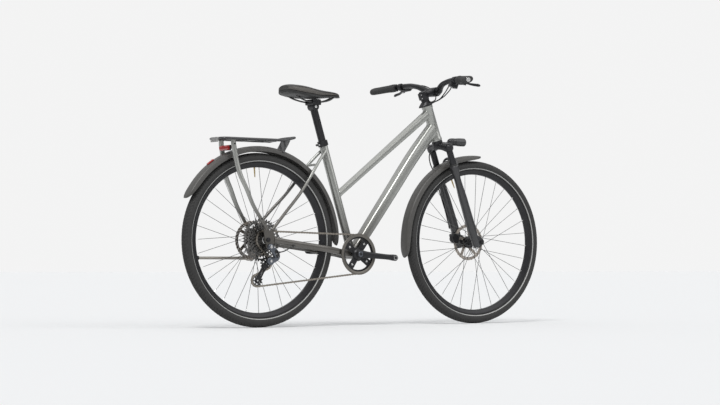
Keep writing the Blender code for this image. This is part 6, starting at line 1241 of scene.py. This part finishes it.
def inflated(made, pressure=4.0, frames=20, limit=0.0030, voxel=0.0048):
    """A pad blown up as cloth from a voxel copy of its shape; its foot stays and a limit holds each point."""
    remesh = made.modifiers.new("voxels", "REMESH")
    remesh.mode = "VOXEL"
    remesh.voxel_size = voxel
    graph = bpy.context.evaluated_depsgraph_get()
    mesh = bpy.data.meshes.new_from_object(made.evaluated_get(graph))
    made.modifiers.clear()
    mesh.materials.clear()
    mesh.materials.append(made.data.materials[0])
    made.data = mesh
    count = len(mesh.vertices)
    start = np.zeros(count * 3, np.float32)
    mesh.vertices.foreach_get("co", start)
    start = start.reshape(-1, 3)
    foot_level = np.interp(start[:, 0] - saddle_frame[0][0], saddle_stations[:, 0], saddle_stations[:, 3])
    low = np.flatnonzero(start[:, 2] - saddle_frame[0][2] < foot_level + 0.003)
    held = made.vertex_groups.new(name="held")
    held.add(low.tolist(), 1.0, "REPLACE")
    cloth = made.modifiers.new("cover", "CLOTH")
    cloth.settings.vertex_group_mass = "held"
    cloth.settings.use_pressure = True
    cloth.settings.uniform_pressure_force = pressure
    cloth.settings.tension_stiffness = 40.0
    cloth.settings.compression_stiffness = 40.0
    cloth.settings.bending_stiffness = 2.0
    cloth.settings.effector_weights.gravity = 0.0
    cloth.point_cache.frame_start = 1
    cloth.point_cache.frame_end = frames
    for step in range(1, frames + 1):
        scene.frame_set(step)
    graph = bpy.context.evaluated_depsgraph_get()
    blown = bpy.data.meshes.new_from_object(made.evaluated_get(graph))
    end = np.zeros(count * 3, np.float32)
    blown.vertices.foreach_get("co", end)
    move = end.reshape(-1, 3) - start
    length = np.linalg.norm(move, axis=1, keepdims=True)
    move *= np.minimum(1.0, limit / np.maximum(length, 1e-09))
    made.modifiers.clear()
    made.vertex_groups.clear()
    scene.frame_set(1)
    bpy.data.meshes.remove(blown)
    return start + move


cushion_shape = shell(np.stack([saddle_section(row) for row in saddle_stations]))
cushion = piece("saddle_cushion_looks", [cushion_shape], saddle_frame, cover, "seatpost",
    80)
swollen = inflated(cushion)
local = swollen - saddle_frame[0]
lengthwise = np.maximum(0.0, 1 - ((local[:, 0] + 0.02) / 0.1)**2)
hollow = 0.0042 * np.exp(-(local[:, 1] / 0.01)**2) * lengthwise
swollen[:, 2] -= hollow * (local[:, 2] > 0.056)
cushion.data.vertices.foreach_set("co", swollen.ravel().astype(np.float32))
cushion.data.update()
cushion.data.polygons.foreach_set("use_smooth", np.ones(len(cushion.data.polygons), bool))
rounding = cushion.modifiers.new("rounding", "SUBSURF")
rounding.levels = 1
rounding.render_levels = 1
cushion_points = np.zeros(len(cushion.data.vertices) * 3, np.float32)
cushion.data.vertices.foreach_get("co", cushion_points)
cushion_points = cushion_points.reshape(-1, 3) - saddle_frame[0]
edge_width = np.interp(cushion_points[:, 0], saddle_stations[:, 0], saddle_stations[:, 1])
width_share = cushion.data.attributes.new("width share", "FLOAT", "POINT")
width_share.data.foreach_set("value", (np.abs(cushion_points[:, 1]) / edge_width).astype(np.float32))
nodes, links = cover.node_tree.nodes, cover.node_tree.links
share_node = nodes.new("ShaderNodeAttribute")
share_node.attribute_name = "width share"
panel_edge = nodes.new("ShaderNodeMapRange")
panel_edge.inputs["From Min"].default_value = PANEL_EDGE[0]
panel_edge.inputs["From Max"].default_value = PANEL_EDGE[1]
links.new(share_node.outputs["Fac"], panel_edge.inputs["Value"])
painted_over(cover, panel_edge, PANEL_COLOUR)
seams = []
for hand in (-1, 1):
    width, seam, top = (saddle_stations[:, k] for k in (1, 3, 2))
    level = seam + (top - seam) * (0.1 + 0.9 * math.sin(math.acos(0.9))**0.55)
    line = np.column_stack([saddle_stations[:, 0], hand * 0.905 * width, level])[6:-8]
    apart = np.linalg.norm(line[:, None] - cushion_points[None], axis=2)
    near = cushion_points[np.argsort(apart, axis=1)[:, :6]].mean(axis=1)
    line[:, 2] = np.convolve(np.pad(near[:, 2], 4, "edge"), np.full(9, 1 / 9), "valid") + 0.0006
    seams.append(swept(line, (0.001, 0.001), 8))
piece("saddle_seams", seams, saddle_frame, cover, "seatpost")

base_rings = []
for row in saddle_stations:
    x, half_width, top, seam, underside = row
    angle = np.linspace(0.0, math.pi, 40)
    under = np.column_stack([np.full(40, x), half_width * 0.96 * np.cos(angle),
        seam - (seam - underside) * np.sin(angle)**0.5])
    lid = np.column_stack([np.full(12, x), np.linspace(-0.94, 0.94, 12) * half_width, np.full(12, seam)])
    base_rings.append(np.vstack([under, lid]))
rail_points = mm((-118, 34, 48), (-80, 28, 30), (-50, 22, 21.8), (40, 22, 21.8), (72, 15, 30), (106, 8, 48))
piece("saddle_shell", [shell(np.stack(base_rings))], saddle_frame, shell_plastic, "seatpost",
    50, nodes=["saddle_base"])
rail_line = line_through(rail_points, 60)
rails = [swept(rail_line * (1, hand, 1), (0.0035, 0.0035), 18) for hand in (-1, 1)]
rail_steel = finish_of("saddle rail steel", (0.05, 0.05, 0.05), 0.28, 0.6, 0.3, 0.08, 60, 0.05)
piece("saddle_rails", rails, saddle_frame, rail_steel, "seatpost")


# Headset cover and stem: a smooth moulded cover that hides the upper bearing, a spacer, and a forged stem.
# A face plate with four bolts clamps the bar; two more bolts and a top cap hold the stem to the steerer.
cover_rings = line_through(mm((640.3, 27, 40, 25), (646, 26.5, 36, 24.8), (652, 22.8, 28, 22.2),
    (657, 19.3, 22, 19.3)), 16, 1)
round_turn = np.arange(64) * 2 * math.pi / 64
reach = np.where(np.cos(round_turn) > 0, cover_rings[:, 1:2], cover_rings[:, 2:3])
cover_grid = np.stack([reach * np.cos(round_turn), cover_rings[:, 3:4] * np.sin(round_turn),
    cover_rings[:, :1] + 0 * round_turn], axis=2)
spacer = mm((15, 657.2), (17.8, 657.4), (17.8, 661.4), (17.4, 661.7), (17.8, 662), (17.8, 666), (15, 666.2))
piece("headset_cover_looks", [shell(cover_grid), lathe_z(spacer)], steering, black_metal, "steering",
    40)

stem_collar = mm((14.6, 666.8), (18.4, 666.8), (19, 667.6), (19, 701.2), (18.4, 702), (14.6, 702))
stem_arm = line_through(mm((8, 0, 686, 15, 15), (24, 0, 685.5, 15, 14.2), (38.6, 0, 685, 16.8, 14),
    (54, 0, 684, 20.5, 14.8)), 20)
bar_place = (0.0586, 0.0, 0.6838)
bar_clamp = mm((16, -22.2), (19.6, -22.2), (20.2, -21.4), (20.2, 21.4), (19.6, 22.2), (16, 22.2))
stem_parts = [
    lathe_z(stem_collar, 56),
    swept(stem_arm[:, :3], stem_arm[:, 3:], 44, power=0.8),
    shifted(lathe(bar_clamp, 56), bar_place),
]
plate_turn = np.radians(np.linspace(-58, 62, 28))
face_plate = np.vstack([polar(0.0212, plate_turn), polar(0.0196, plate_turn[::-1])])
stem_parts.append(shifted(plate([face_plate], -0.022, 0.022), bar_place))
ear = rounded(mm((-22.5, 670), (-16, 669), (-15, 700), (-22.5, 699)), 0.002)
for hand in (-1, 1):
    low, high = sorted((hand * 0.0012, hand * 0.01))
    stem_parts.append(plate([ear], low, high))
piece("stem_looks", stem_parts, steering, black_metal, "steering", 40, bevel=0.0006)
stem_bolts = []
for angle in (48, -44):
    way = np.array([math.cos(math.radians(angle)), 0.0, math.sin(math.radians(angle))])
    for hand in (-1, 1):
        seat = bar_place + 0.0208 * way + (0.0, hand * 0.0165, 0.0)
        stem_bolts.append(socket_bolt(seat, way, 0.003, 0.0016))
stem_bolts += [socket_bolt((-0.0188, -0.0098, z), (0.0, -1.0, 0.0), 0.003, 0.0016) for z in (0.677, 0.693)]
piece("stem_bolts", stem_bolts, steering, silver_metal, "steering")
top_cap = mm((5, 702), (17.8, 702.1), (17.8, 703.2), (17, 703.8), (6, 704), (5, 703))
piece("stem_top_cap", [lathe_z(top_cap)], steering, black_metal, "steering")


# Handlebar: one butted aluminium tube, black, thick at the clamp and swept back to both ends.
bar_half = mm((58.6, 0, 683.8, 15.9), (58.6, 26, 683.8, 15.9), (56.8, 40, 688, 15.2), (53, 58, 700, 13.6),
    (50, 85, 714, 12), (49.3, 115, 721.5, 11.1), (50.5, 145, 725.7, 11.1), (49.3, 165, 726.8, 11.1),
    (-1.8, 345, 732.5, 11.1))
bar_line = line_through(mirrored(bar_half), 180)
piece("handlebar_looks", [swept(bar_line[:, :3], np.repeat(bar_line[:, 3:], 2, axis=1), 32)], steering,
    black_metal, "steering", 50)


# Grips: black rubber moulded round the bar with a wing under the palm and fine ribs for the fingers.
# A slim alloy collar with a small bolt locks each at its inner end, and a silver plug closes the outer one.
grip_rubber = finish_of("grip rubber", (0.03, 0.03, 0.03), 0.7, 0.0, 0.0, 0.12, 60, 0.4, 0.0007)
bar_bend, bar_tip = np.array([0.0493, 0.165, 0.7268]), np.array([-0.0018, 0.345, 0.7325])
bar_way = (bar_tip - bar_bend) / np.linalg.norm(bar_tip - bar_bend)


def on_bar(reach):
    """The point of the bar's straight end that far from the middle plane."""
    return bar_bend + bar_way * ((np.asarray(reach, float)[..., None] - bar_bend[1]) / bar_way[1])


grip_stations = line_through(mm((227.5, 16, 16), (230, 16.8, 16.5), (267, 17.2, 15.8), (302, 21.5, 15.2),
    (326, 25, 14.8), (340, 25, 14.6), (346.2, 23.2, 13.8), (349, 21.2, 12.6), (350, 18.4, 10.8)), 240, 1)
grip_reach, grip_sizes = grip_stations[:, 0], grip_stations[:, 1:]
plug_profile = mm((9.2, 0), (9.2, 2.2), (8.7, 2.6), (6.6, 2.6), (6, 1.9), (0.4, 1.9))
ribbed = (grip_reach > 0.236) & (grip_reach < 0.33) & (grip_reach * 1000 % 4.0 < 1.3)
for side, hand in (("left", 1), ("right", -1)):
    centre = on_bar(grip_reach)
    centre[:, 0] -= np.interp(grip_reach, (0.2275, 0.267, 0.302, 0.33), (0.0008, 0.0016, 0.0049, 0.0075))
    sizes = grip_sizes - 0.0006 * ribbed[:, None]
    grip = swept(centre * (1, hand, 1), sizes, 44, power=0.9)
    piece(f"grip_{side}_looks", [grip], steering, grip_rubber, "steering", 60)
    inner, outer = on_bar(0.2222) * (1, hand, 1), on_bar(0.2272) * (1, hand, 1)
    collar = rod(inner, outer, mm((14.5, 0), (15.8, 0.6), (15.8, 4.6), (15, 5.2)), 36)
    collar_bolt = socket_bolt((inner + outer) / 2 + (0.0, 0.0, -0.0154), (0.0, 0.0, -1.0), 0.002, 0.001)
    piece(f"grip_{side}_collar", [collar, collar_bolt], steering, black_metal, "steering")
    grip_end, grip_way = centre[-1] * (1, hand, 1), (centre[-1] - centre[-4]) * (1, hand, 1)
    plug = rod(grip_end - grip_way, grip_end, plug_profile, 36)
    piece(f"grip_{side}_plug", [plug], steering, silver_metal, "steering")


# Brake levers: hydraulic, black anodised. A band clamps each to the bar; its master cylinder lies along the
# bar under a flat reservoir with a screwed lid, and a two-finger blade turns on a pin.
lever_frames = {
    "left": (1, np.array([0.306471, 0.202, 1.040958]), np.array([(-0.26726, 0.96154, -0.06335),
        (0.91759, 0.23386, -0.32145), (-0.29427, -0.14404, -0.9448)])),
    "right": (-1, np.array([0.306471, -0.202, 1.040958]), np.array([(-0.26726, -0.96154, -0.06335),
        (0.91759, -0.23386, -0.32145), (0.29427, -0.14404, 0.9448)]))
}
LEVER_PIVOT = (0.014, 0.036)


def slab(outlines, low, high):
    """A flat plate drawn in (x, y) between two levels of z."""
    points, quads, fans = plate(outlines, low, high)
    return points[:, [0, 2, 1]], quads[:, ::-1], fans[:, ::-1]


band_profile = mm((12, 0), (15.2, 0.4), (15.8, 1.4), (15.8, 14.6), (15.2, 15.6), (12, 16))
barrel = np.array(mm((-36, 26.5, 0, 8), (-33.5, 26.5, 0, 10.6), (-30, 26.6, 0, 11), (2, 28.5, 0, 11),
    (8, 30, 0, 10)))
reservoir = rounded(mm((-29, 16), (5.2, 16), (5.2, 33), (-29, 33)), 0.0055, 6)
neck = rounded(mm((-7.5, 10), (7.5, 10), (7.5, 30), (-7.5, 30)), 0.002)
knuckle = rounded(mm((0, 25), (16, 26.2), (22.8, 33), (22, 42.5), (12, 44), (3, 40)), 0.004, 5)
blade_line = line_through(mm((0, 0, 0, 6, 4), (12, 6, 0, 6, 4), (28, 18, 0, 5, 5), (44, 25.5, 0, 4.6, 5.8),
    (60, 30, 0, 4.4, 6), (74, 35, 0, 4.6, 6), (80, 39, 0, 3.6, 4)), 50)
for side, (hand, origin, axes) in lever_frames.items():
    place, up = (origin, axes), -hand
    parts = [
        rod((-0.008, 0.0, 0.0), (0.008, 0.0, 0.0), band_profile, 48),
        swept(barrel[:, :3], np.repeat(barrel[:, 3:], 2, axis=1), 32),
        slab([neck], -0.0075, 0.0075),
        slab([reservoir], *sorted((up * 0.004, up * 0.0172))),
        slab([knuckle], -0.0088, -0.005),
        slab([knuckle], 0.005, 0.0088),
    ]
    piece(f"lever_mount_{side}_looks", parts, place, black_metal, "steering", 40,
        bevel=0.0007)
    lid = reservoir * (0.94, 0.92) + (-0.0007, 0.002)
    lid_shell = slab([lid], *sorted((up * 0.0172, up * 0.019)))
    piece(f"reservoir_lid_{side}", [lid_shell], place, lamp_plastic, "steering")
    screws = [
        socket_bolt((-0.025, 0.029, up * 0.0189), (0.0, 0.0, up), 0.0018, 0.0007),
        socket_bolt((0.0012, 0.02, up * 0.0189), (0.0, 0.0, up), 0.0018, 0.0007),
        socket_bolt((0.0, 0.0158, up * 0.001), (0.0, 0.6, up * 0.8), 0.0022, 0.0006),
    ]
    screws += [socket_bolt((*LEVER_PIVOT, end * 0.0088), (0.0, 0.0, end), 0.003, 0.001) for end in (-1, 1)]
    piece(f"lever_screws_{side}", screws, place, silver_metal, "steering")
    pivot = origin + LEVER_PIVOT[0] * axes[0] + LEVER_PIVOT[1] * axes[1]
    blade = swept(blade_line[:, :3], blade_line[:, 3:], 28, power=0.8)
    boss = lathe_z(mm((3, -4.6), (6.6, -4.8), (7.2, -4.2), (7.2, 4.2), (6.6, 4.8), (3, 4.6)), 36)
    piece(f"brake_lever_{side}_looks", (blade, boss), (pivot, axes), black_metal, f"brake_lever_{side}",
        50)


# Shifter: a black plastic and steel pod under the right end of the bar, worked by a thumb lever.
right_frame = (lever_frames["right"][1], lever_frames["right"][2])
pod = rounded(mm((-42, -11), (-38, -13), (-13, -13), (-8.4, -8), (-8.4, 18), (-15, 24), (-36, 24),
    (-42, 18)), 0.004, 5)
pod_band = mm((11.8, 0), (14.6, 0.4), (15, 1.2), (15, 9.8), (14.6, 10.6), (11.8, 11))
cable_exit = mm((4.6, 0), (4.6, 3), (3.6, 3.6), (3.6, 6.6), (3, 7))
pod_parts = [
    rod((-0.0255, 0.0, 0.0), (-0.0145, 0.0, 0.0), pod_band, 44),
    slab([pod], -0.031, -0.013),
    rod((-0.042, 0.006, -0.0215), (-0.049, 0.006, -0.0215), cable_exit, 20),
]
piece("shifter_looks", pod_parts, right_frame, black_metal, "steering", 40, bevel=0.0014,
    steps=3)
pod_cover = pod * 0.8 + (-0.005, 0.001)
piece("shifter_cover", [slab([pod_cover], -0.0316, -0.0308)], right_frame, lamp_plastic, "steering")
thumb_frame = (np.array([0.306276, -0.179196, 1.011367]), right_frame[1])
thumb_line = line_through(mm((0, 0, -2, 6, 1.5), (18, -12, -2.2, 5, 1.6), (30, -18, -3, 7.5, 2.4),
    (38, -20, -4, 6, 2)), 30)
thumb = swept(thumb_line[:, :3], thumb_line[:, 3:], 28, power=0.7)
thumb_boss = lathe_z(mm((3, -3.5), (8, -3.5), (8, -0.4), (7.4, 0), (3, 0)), 36)
piece("shift_lever_looks", (thumb, thumb_boss), thumb_frame, black_metal, "shift_lever", 50)


# Hoses and cables: two hydraulic hoses and a gear cable in black jackets run from the controls into the head
# tube through a rubber grommet. Others lie along the fork and the left stay; a cable ends at the right.
HOSE_RADIUS = 0.0025
BEND_START, BEND_END = 0.44, 0.26
hose_jacket = finish_of("hose jacket", (0.015, 0.015, 0.015), 0.35, 0.0, 0.0, 0.1, 60, 0.05)
hoses = []
for side, (hand, origin, axes) in lever_frames.items():
    start = (origin + np.array([-0.0363, 0.0265, 0.0]) @ axes - steering[0]) @ steering[1].T
    inward = -axes[0] @ steering[1].T
    path = [start, start + 0.02 * inward, (0.082, hand * 0.112, 0.715), (0.093, hand * 0.07, 0.696),
        (0.088, hand * 0.036, 0.67), (0.064, hand * 0.015, 0.648), (0.0313, hand * 0.009, 0.645)]
    hoses.append(swept(line_through(np.vstack(path), 90), (HOSE_RADIUS, HOSE_RADIUS), 16))
    hose_nut = mm((4, 0), (4, 7), (3.2, 7.8), (3.2, 12))
    hoses.append(rod(start - 0.0004 * inward, start + 0.012 * inward, hose_nut, 16))
    if side == "right":
        start = (origin + np.array([-0.0423, 0.006, -0.0215]) @ axes - steering[0]) @ steering[1].T
        path = [start, start + 0.018 * inward, (0.07, -0.11, 0.69), (0.08, -0.065, 0.67),
            (0.076, -0.028, 0.653), (0.056, -0.006, 0.644), (0.0313, 0.0, 0.644)]
        hoses.append(swept(line_through(np.vstack(path), 90), (HOSE_RADIUS, HOSE_RADIUS), 16))
grommet = rounded(mm((-14, 641), (14, 641), (14, 649), (-14, 649)), 0.003)
hoses.append(placed(plate([grommet], 0.0262, 0.0353), sideways))
piece("bar_hoses_looks", hoses, steering, hose_jacket, "steering", 40, bevel=0.0006)
hose_bend = ("steering", "fork_lowers", tuple(steering[0] + BEND_START * tilted[2]),
    tuple(steering[0] + BEND_END * tilted[2]))
held_hoses = {
    "front_brake_hose": (steering, hose_bend, 0.0025, mm((-30, 18, 448), (-39, 26, 430), (-36, 42, 395),
        (-20, 58, 350), (-14.4, 64, 300), (-13.8, 64, 220), (-13.3, 64, 150), (-20, 58, 108),
        (-24.5, 52, 86))),
    "rear_brake_hose": (chassis, "frame", 0.0024, mm((86, 56, 416), (99, 57, 411), (122, 59, 390),
        (148, 61.5, 360), (166, 61.2, 353.2), (188, 60.5, 350.3))),
    "derailleur_cable": (chassis, "frame", 0.0024, mm((128, -74.5, 333), (98, -80, 322), (66, -88, 310),
        (47, -88, 306), (38, -87, 305)))
}
for name, (place, body, radius, path) in held_hoses.items():
    line = line_through(path, 80)
    sleeve = [(radius + 0.0012, 0.0), (radius + 0.0012, 0.011), (radius + 0.0004, 0.012)]
    ends = [rod(line[k], line[k + step], sleeve, 16) for k, step in ((0, 1), (79, -1))]
    hose = swept(line, (radius, radius), 16)
    piece(f"{name}_looks", [hose] + ends, place, hose_jacket, body)


# Headlight: a black cast housing with cooling ribs and a clear lens, on a bent bracket bolted to the crown.
lamp_place = (np.array([0.415894, 0.0, 0.79232]), sideways[1])
lamp_profile = line_through(mm((1, 0.2), (9, 1), (14, 7), (16, 18), (16.2, 40), (17.8, 56), (17.8, 83.8)),
    90, 2)
ribs = (lamp_profile[:, 1] > 0.012) & (lamp_profile[:, 1] < 0.04) & (lamp_profile[:, 1] * 1000 % 4.0 < 1.4)
lamp_profile[:, 0] -= 0.0011 * ribs
lamp_profile = np.vstack([lamp_profile, mm((17.6, 85.6), (16.8, 86.8), (16, 87), (15.6, 86.2), (15.4, 79))])
piece("headlight_looks", [lathe(lamp_profile, 56)], lamp_place, lamp_plastic, "steering",
    30)
lens_profile = mm((15.4, 81), (15.3, 85.2), (14, 86.2), (10, 87), (5, 87.5), (0.4, 87.6))
lamp_glass = finish_of("lamp lens", (0.62, 0.65, 0.68), 0.08, 0.4, 1.0, 0.25, 260)
piece("headlight_lens", [lathe(lens_profile)], lamp_place, lamp_glass, "steering")
bracket_line = line_through(mm((24, 0, 454.5), (40, 0, 454.5), (56, 0, 456), (69, 0, 458)), 20)
piece("headlight_bracket", [swept(bracket_line, (0.006, 0.0036), 28, power=0.5)], steering, black_metal,
    "steering")


# Derailleur: a long-cage rear mechanism on the hanger's bolt, with two links between its knuckles.
# Grey-blue cast body, black sheet cage with windows, and two twelve-tooth jockey wheels on bolts.
CAGE_PIVOT = (0.02, 0.27)
CAGE_PLATES = mm((-6, -4.6, 13, 9.5), (4.6, 6, 8.5, 6.2))
KNUCKLE_LEVEL = CHAIN_Y - 0.0093
upper_knuckle = mm((5, -88.4), (10.8, -88.3), (12.2, -87.2), (12.5, -85.8), (12.5, -75.5), (11.8, -74.9),
    (5, -74.8))
lower_knuckle = mm((4, -15), (14, -14.8), (15.7, -13.2), (16, -11), (16, -0.6), (15, 0))
derailleur_parts = [
    shifted(lathe(upper_knuckle, 44), (0.007, 0.0, 0.327)),
    shifted(lathe(lower_knuckle), (CAGE_PIVOT[0], KNUCKLE_LEVEL, CAGE_PIVOT[1])),
]
link_line = line_through([(0.009, -0.0828, 0.323, 0.0104, 0.0058), (0.029, -0.0803, 0.307, 0.014, 0.0068),
    (0.046, KNUCKLE_LEVEL - 0.013, 0.286, 0.0142, 0.0068),
    (0.028, KNUCKLE_LEVEL - 0.009, 0.271, 0.0115, 0.006)], 44)
derailleur_parts.append(swept(link_line[:, :3], link_line[:, 3:], 40, (0, 1, 0), 0.6))
piece("derailleur_body_looks", derailleur_parts, chassis, blue_metal, "frame", 45,
    bevel=0.0008)
link_cover = line_through(mm((25, -88, 312, 6, 1), (38, -85, 301, 7.8, 1.2), (48, -76, 286, 7, 1)), 24)
piece("derailleur_cover", [swept(link_cover[:, :3], link_cover[:, 3:], 28, (0, 1, 0), 0.6)], chassis,
    black_metal, "frame")
mech_bolts = [
    socket_bolt((0.007, -0.0883, 0.327), (0.0, -1.0, 0.0), 0.0058, 0.0022),
    socket_bolt((CAGE_PIVOT[0], KNUCKLE_LEVEL - 0.0149, CAGE_PIVOT[1]), (0.0, -1.0, 0.0), 0.0052, 0.0018),
    socket_bolt((0.033, -0.0868, 0.299), (0.0, -1.0, 0.0), 0.002, 0.0012),
    socket_bolt((0.047, -0.0772, 0.288), (0.0, -1.0, 0.0), 0.002, 0.0012),
]
piece("derailleur_bolts", mech_bolts, chassis, silver_metal, "frame")

upper, lower = np.array(UPPER_JOCKEY), np.array(LOWER_JOCKEY)
cage_way = math.atan2(*(lower - upper)[::-1])
side_way = np.array([-math.sin(cage_way), math.cos(cage_way)])


def cage_outline(radius, waist):
    """A cage plate: round ends about both jockey wheels and a waist between them."""
    spread = np.linspace(-math.radians(70), math.radians(70), 14)
    middle = (upper + lower) / 2
    return np.vstack([polar(radius, cage_way + math.pi + spread) + upper, [middle - side_way * waist],
        polar(radius, cage_way + spread) + lower, [middle + side_way * waist]])


cage_parts = []
cage_window = np.array(mm((-17, -2.2), (17, -2.2), (17, 2.2), (-17, 2.2)))
cage_turn = np.array([(math.cos(cage_way), math.sin(cage_way)), side_way])
cage_holes = [circle(0.0032, end, 20) for end in (upper, lower)]
cage_holes.append(rounded(cage_window @ cage_turn + (upper + lower) / 2, 0.002))
for low, high, radius, waist in CAGE_PLATES:
    outline = rounded(cage_outline(radius, waist), 0.0012, 3)
    cage_parts.append(plate([outline] + cage_holes, CHAIN_Y + low, CHAIN_Y + high))
jockey_pin = [(0.0021, 0.0), (0.0021, 0.0104)]
for x, z in (UPPER_JOCKEY, LOWER_JOCKEY):
    cage_parts.append(rod((x, CHAIN_Y - 0.0052, z), (x, CHAIN_Y + 0.0052, z), jockey_pin, 16))
cage_boss = lathe(mm((3, -9.2), (12, -9.2), (12, -5.8), (3, -5.8)), 40)
cage_parts.append(shifted(cage_boss, (CAGE_PIVOT[0], CHAIN_Y, CAGE_PIVOT[1])))
piece("derailleur_cage_looks", cage_parts, chassis, black_metal, "derailleur_cage", 40,
    bevel=0.0004)
cage_bolts = [
    socket_bolt((x, CHAIN_Y - 0.0059, z), (0.0, -1.0, 0.0), 0.0034, 0.0016)
    for x, z in (UPPER_JOCKEY, LOWER_JOCKEY)
]
piece("cage_bolts", cage_bolts, chassis, silver_metal, "derailleur_cage")
jockey_plastic = finish_of("jockey wheel plastic", (0.016, 0.016, 0.016), 0.45, 0.0, 0.0, 0.1, 80, 0.08)
jockeys = (("jockey_upper", UPPER_JOCKEY, phases[2]), ("jockey_lower", LOWER_JOCKEY, phases[1]))
for name, (x, z), phase in jockeys:
    windows = []
    for step in np.arange(6) * math.pi / 3:
        far = polar(0.0165, step + np.linspace(0.12, 0.92, 5))
        near = polar(0.0105, step + np.linspace(0.82, 0.22, 4))
        windows.append(rounded(np.vstack([far, near]), 0.001, 3))
    disc = plate([toothed(JOCKEY_TEETH, phase, 12)] + windows + [circle(0.0027, count=20)], -0.001, 0.001)
    boss = lathe(mm((2.7, -3.4), (8, -3.4), (8.5, -2.8), (8.5, 2.8), (8, 3.4), (2.7, 3.4)), 36, True)
    hub = chassis[0] + (x, CHAIN_Y, z)
    piece(f"{name}_looks", [disc, boss], (hub, upright), jockey_plastic, name, 30,
        bevel=0.0003, steps=1)


# Calipers: hydraulic, of two forged black halves over the rotor, drawn together by bolts.
# The rear one stands on the left dropout, the front one on posts of the left fork leg.
caliper_sizes = {
    "rear": (rear_hub, 0.052, 43.0, 0.0095, "frame", (0.048, 0.0585, 0.002), (0.086, 0.072, 0.05)),
    "front": (front_hub, 0.0365, 147.0, 0.015, "fork_lowers", (-0.068, 0.048, 0.02), (-0.04, 0.066, 0.06))
}
caliper_edge = rounded(mm((-23, -4), (-17, -15), (17, -15), (23, -4), (19, 10), (10, 19), (-10, 19),
    (-19, 10)), 0.004, 4)
caliper_bridge = rounded(mm((-12, 8.4), (12, 8.4), (10, 18.8), (-10, 18.8)), 0.002)
for name, ((hub, axes), level, angle, outer, body, low, high) in caliper_sizes.items():
    angle = math.radians(angle)
    local = np.array([(math.sin(angle), 0.0, -math.cos(angle)), (0.0, 1.0, 0.0),
        (math.cos(angle), 0.0, math.sin(angle))])
    seat = np.array([0.074 * math.cos(angle), level, 0.074 * math.sin(angle)])
    place = (hub + seat @ axes, local @ axes)
    foot = rounded([(low[0], low[2]), (high[0], low[2]), (high[0], high[2]), (low[0], high[2])], 0.006, 5)
    shape = [
        placed(plate([caliper_edge], 0.0026, outer), place),
        placed(plate([caliper_edge * 0.98], -0.0095, -0.0026), place),
        placed(plate([caliper_bridge], -0.003, 0.003), place),
        placed(plate([circle(0.0125, (0.0, -0.0005), 40)], outer - 0.0004, outer + 0.0012), place),
        placed(plate([foot], low[1] + 0.001, high[1]), (hub, axes)),
    ]
    piece(f"{name}_brake_caliper_looks", shape, None, black_metal, body, 40, bevel=0.001)
    bolts = []
    for x, z in ((-0.0165, 0.002), (0.0165, 0.002), (0.0, 0.0158)):
        bolts.append(placed(socket_bolt((x, outer, z), (0.0, 1.0, 0.0), 0.0028, 0.002), place))
    for lift in (-0.012, 0.012):
        seat = ((low[0] + high[0]) / 2, high[1], (low[2] + high[2]) / 2 + lift)
        bolts.append(placed(socket_bolt(seat, (0, 1, 0), 0.0036, 0.002), (hub, axes)))
    piece(f"{name}_caliper_bolts", bolts, None, silver_metal, body)


# Kickstand: a forged bracket bolted to the left dropout and a round aluminium leg with a rubber foot.
# The leg turns on a pin and lies along the stay at rest.
brushed_steel = finish_of("brushed steel", (0.42, 0.4, 0.38), 0.4, 0.9, 0.0, 0.08, 60, 0.1)
bracket_arc = polar(0.013, np.radians(np.linspace(-10, -170, 12))) + (0.012, 0.283)
stand_bracket = np.vstack([mm((-4, 318), (-3, 343), (28, 343), (30, 318)), bracket_arc])
piece("kickstand_bracket_looks", [plate([rounded(stand_bracket, 0.002, 3)], 0.0748, 0.0806)], chassis,
    brushed_steel, "frame", 40, bevel=0.0008)
stand_bolts = [socket_bolt((x, 0.0805, 0.333), (0.0, 1.0, 0.0), 0.0036, 0.0022) for x in (0.006, 0.019)]
piece("kickstand_bolts", stand_bolts, chassis, silver_metal, "frame")
stand_axes = np.array([(0.9438, 0.33051, 0.0), (-0.33051, 0.9438, 0.0), (0.0, 0.0, 1.0)])
stand = (np.array([-0.541, 0.0811, 0.283]), stand_axes)
barrel = lathe(mm((4, 4.5), (10.4, 4.6), (11, 5.4), (11, 18.6), (10.4, 19.4), (4, 19.5)), 40)
leg_start = stand[0] + 0.0125 * stand_axes[1]
leg_end = leg_start - (0.265, 0.0, 0.0)
leg = rod(leg_start, leg_end, mm((7.4, 0), (7.4, 44), (7.1, 45), (6.2, 48), (5.8, 238), (5.6, 240)), 32)
shoe = rod(leg_start, leg_end, mm((7, 236), (8.6, 236.8), (9.2, 246), (9.2, 256), (8.4, 262), (6, 264.5)),
    32)
stand_aluminium = finish_of("kickstand aluminium", (0.34, 0.32, 0.29), 0.42, 0.85, 0.0, 0.1, 40, 0.05)
piece("kickstand_leg_looks", [placed(barrel, stand), leg], None, stand_aluminium, "kickstand_leg",
    40, bevel=0.0006)
piece("kickstand_shoe", [shoe], None, wiper_rubber, "kickstand_leg")


low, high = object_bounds()
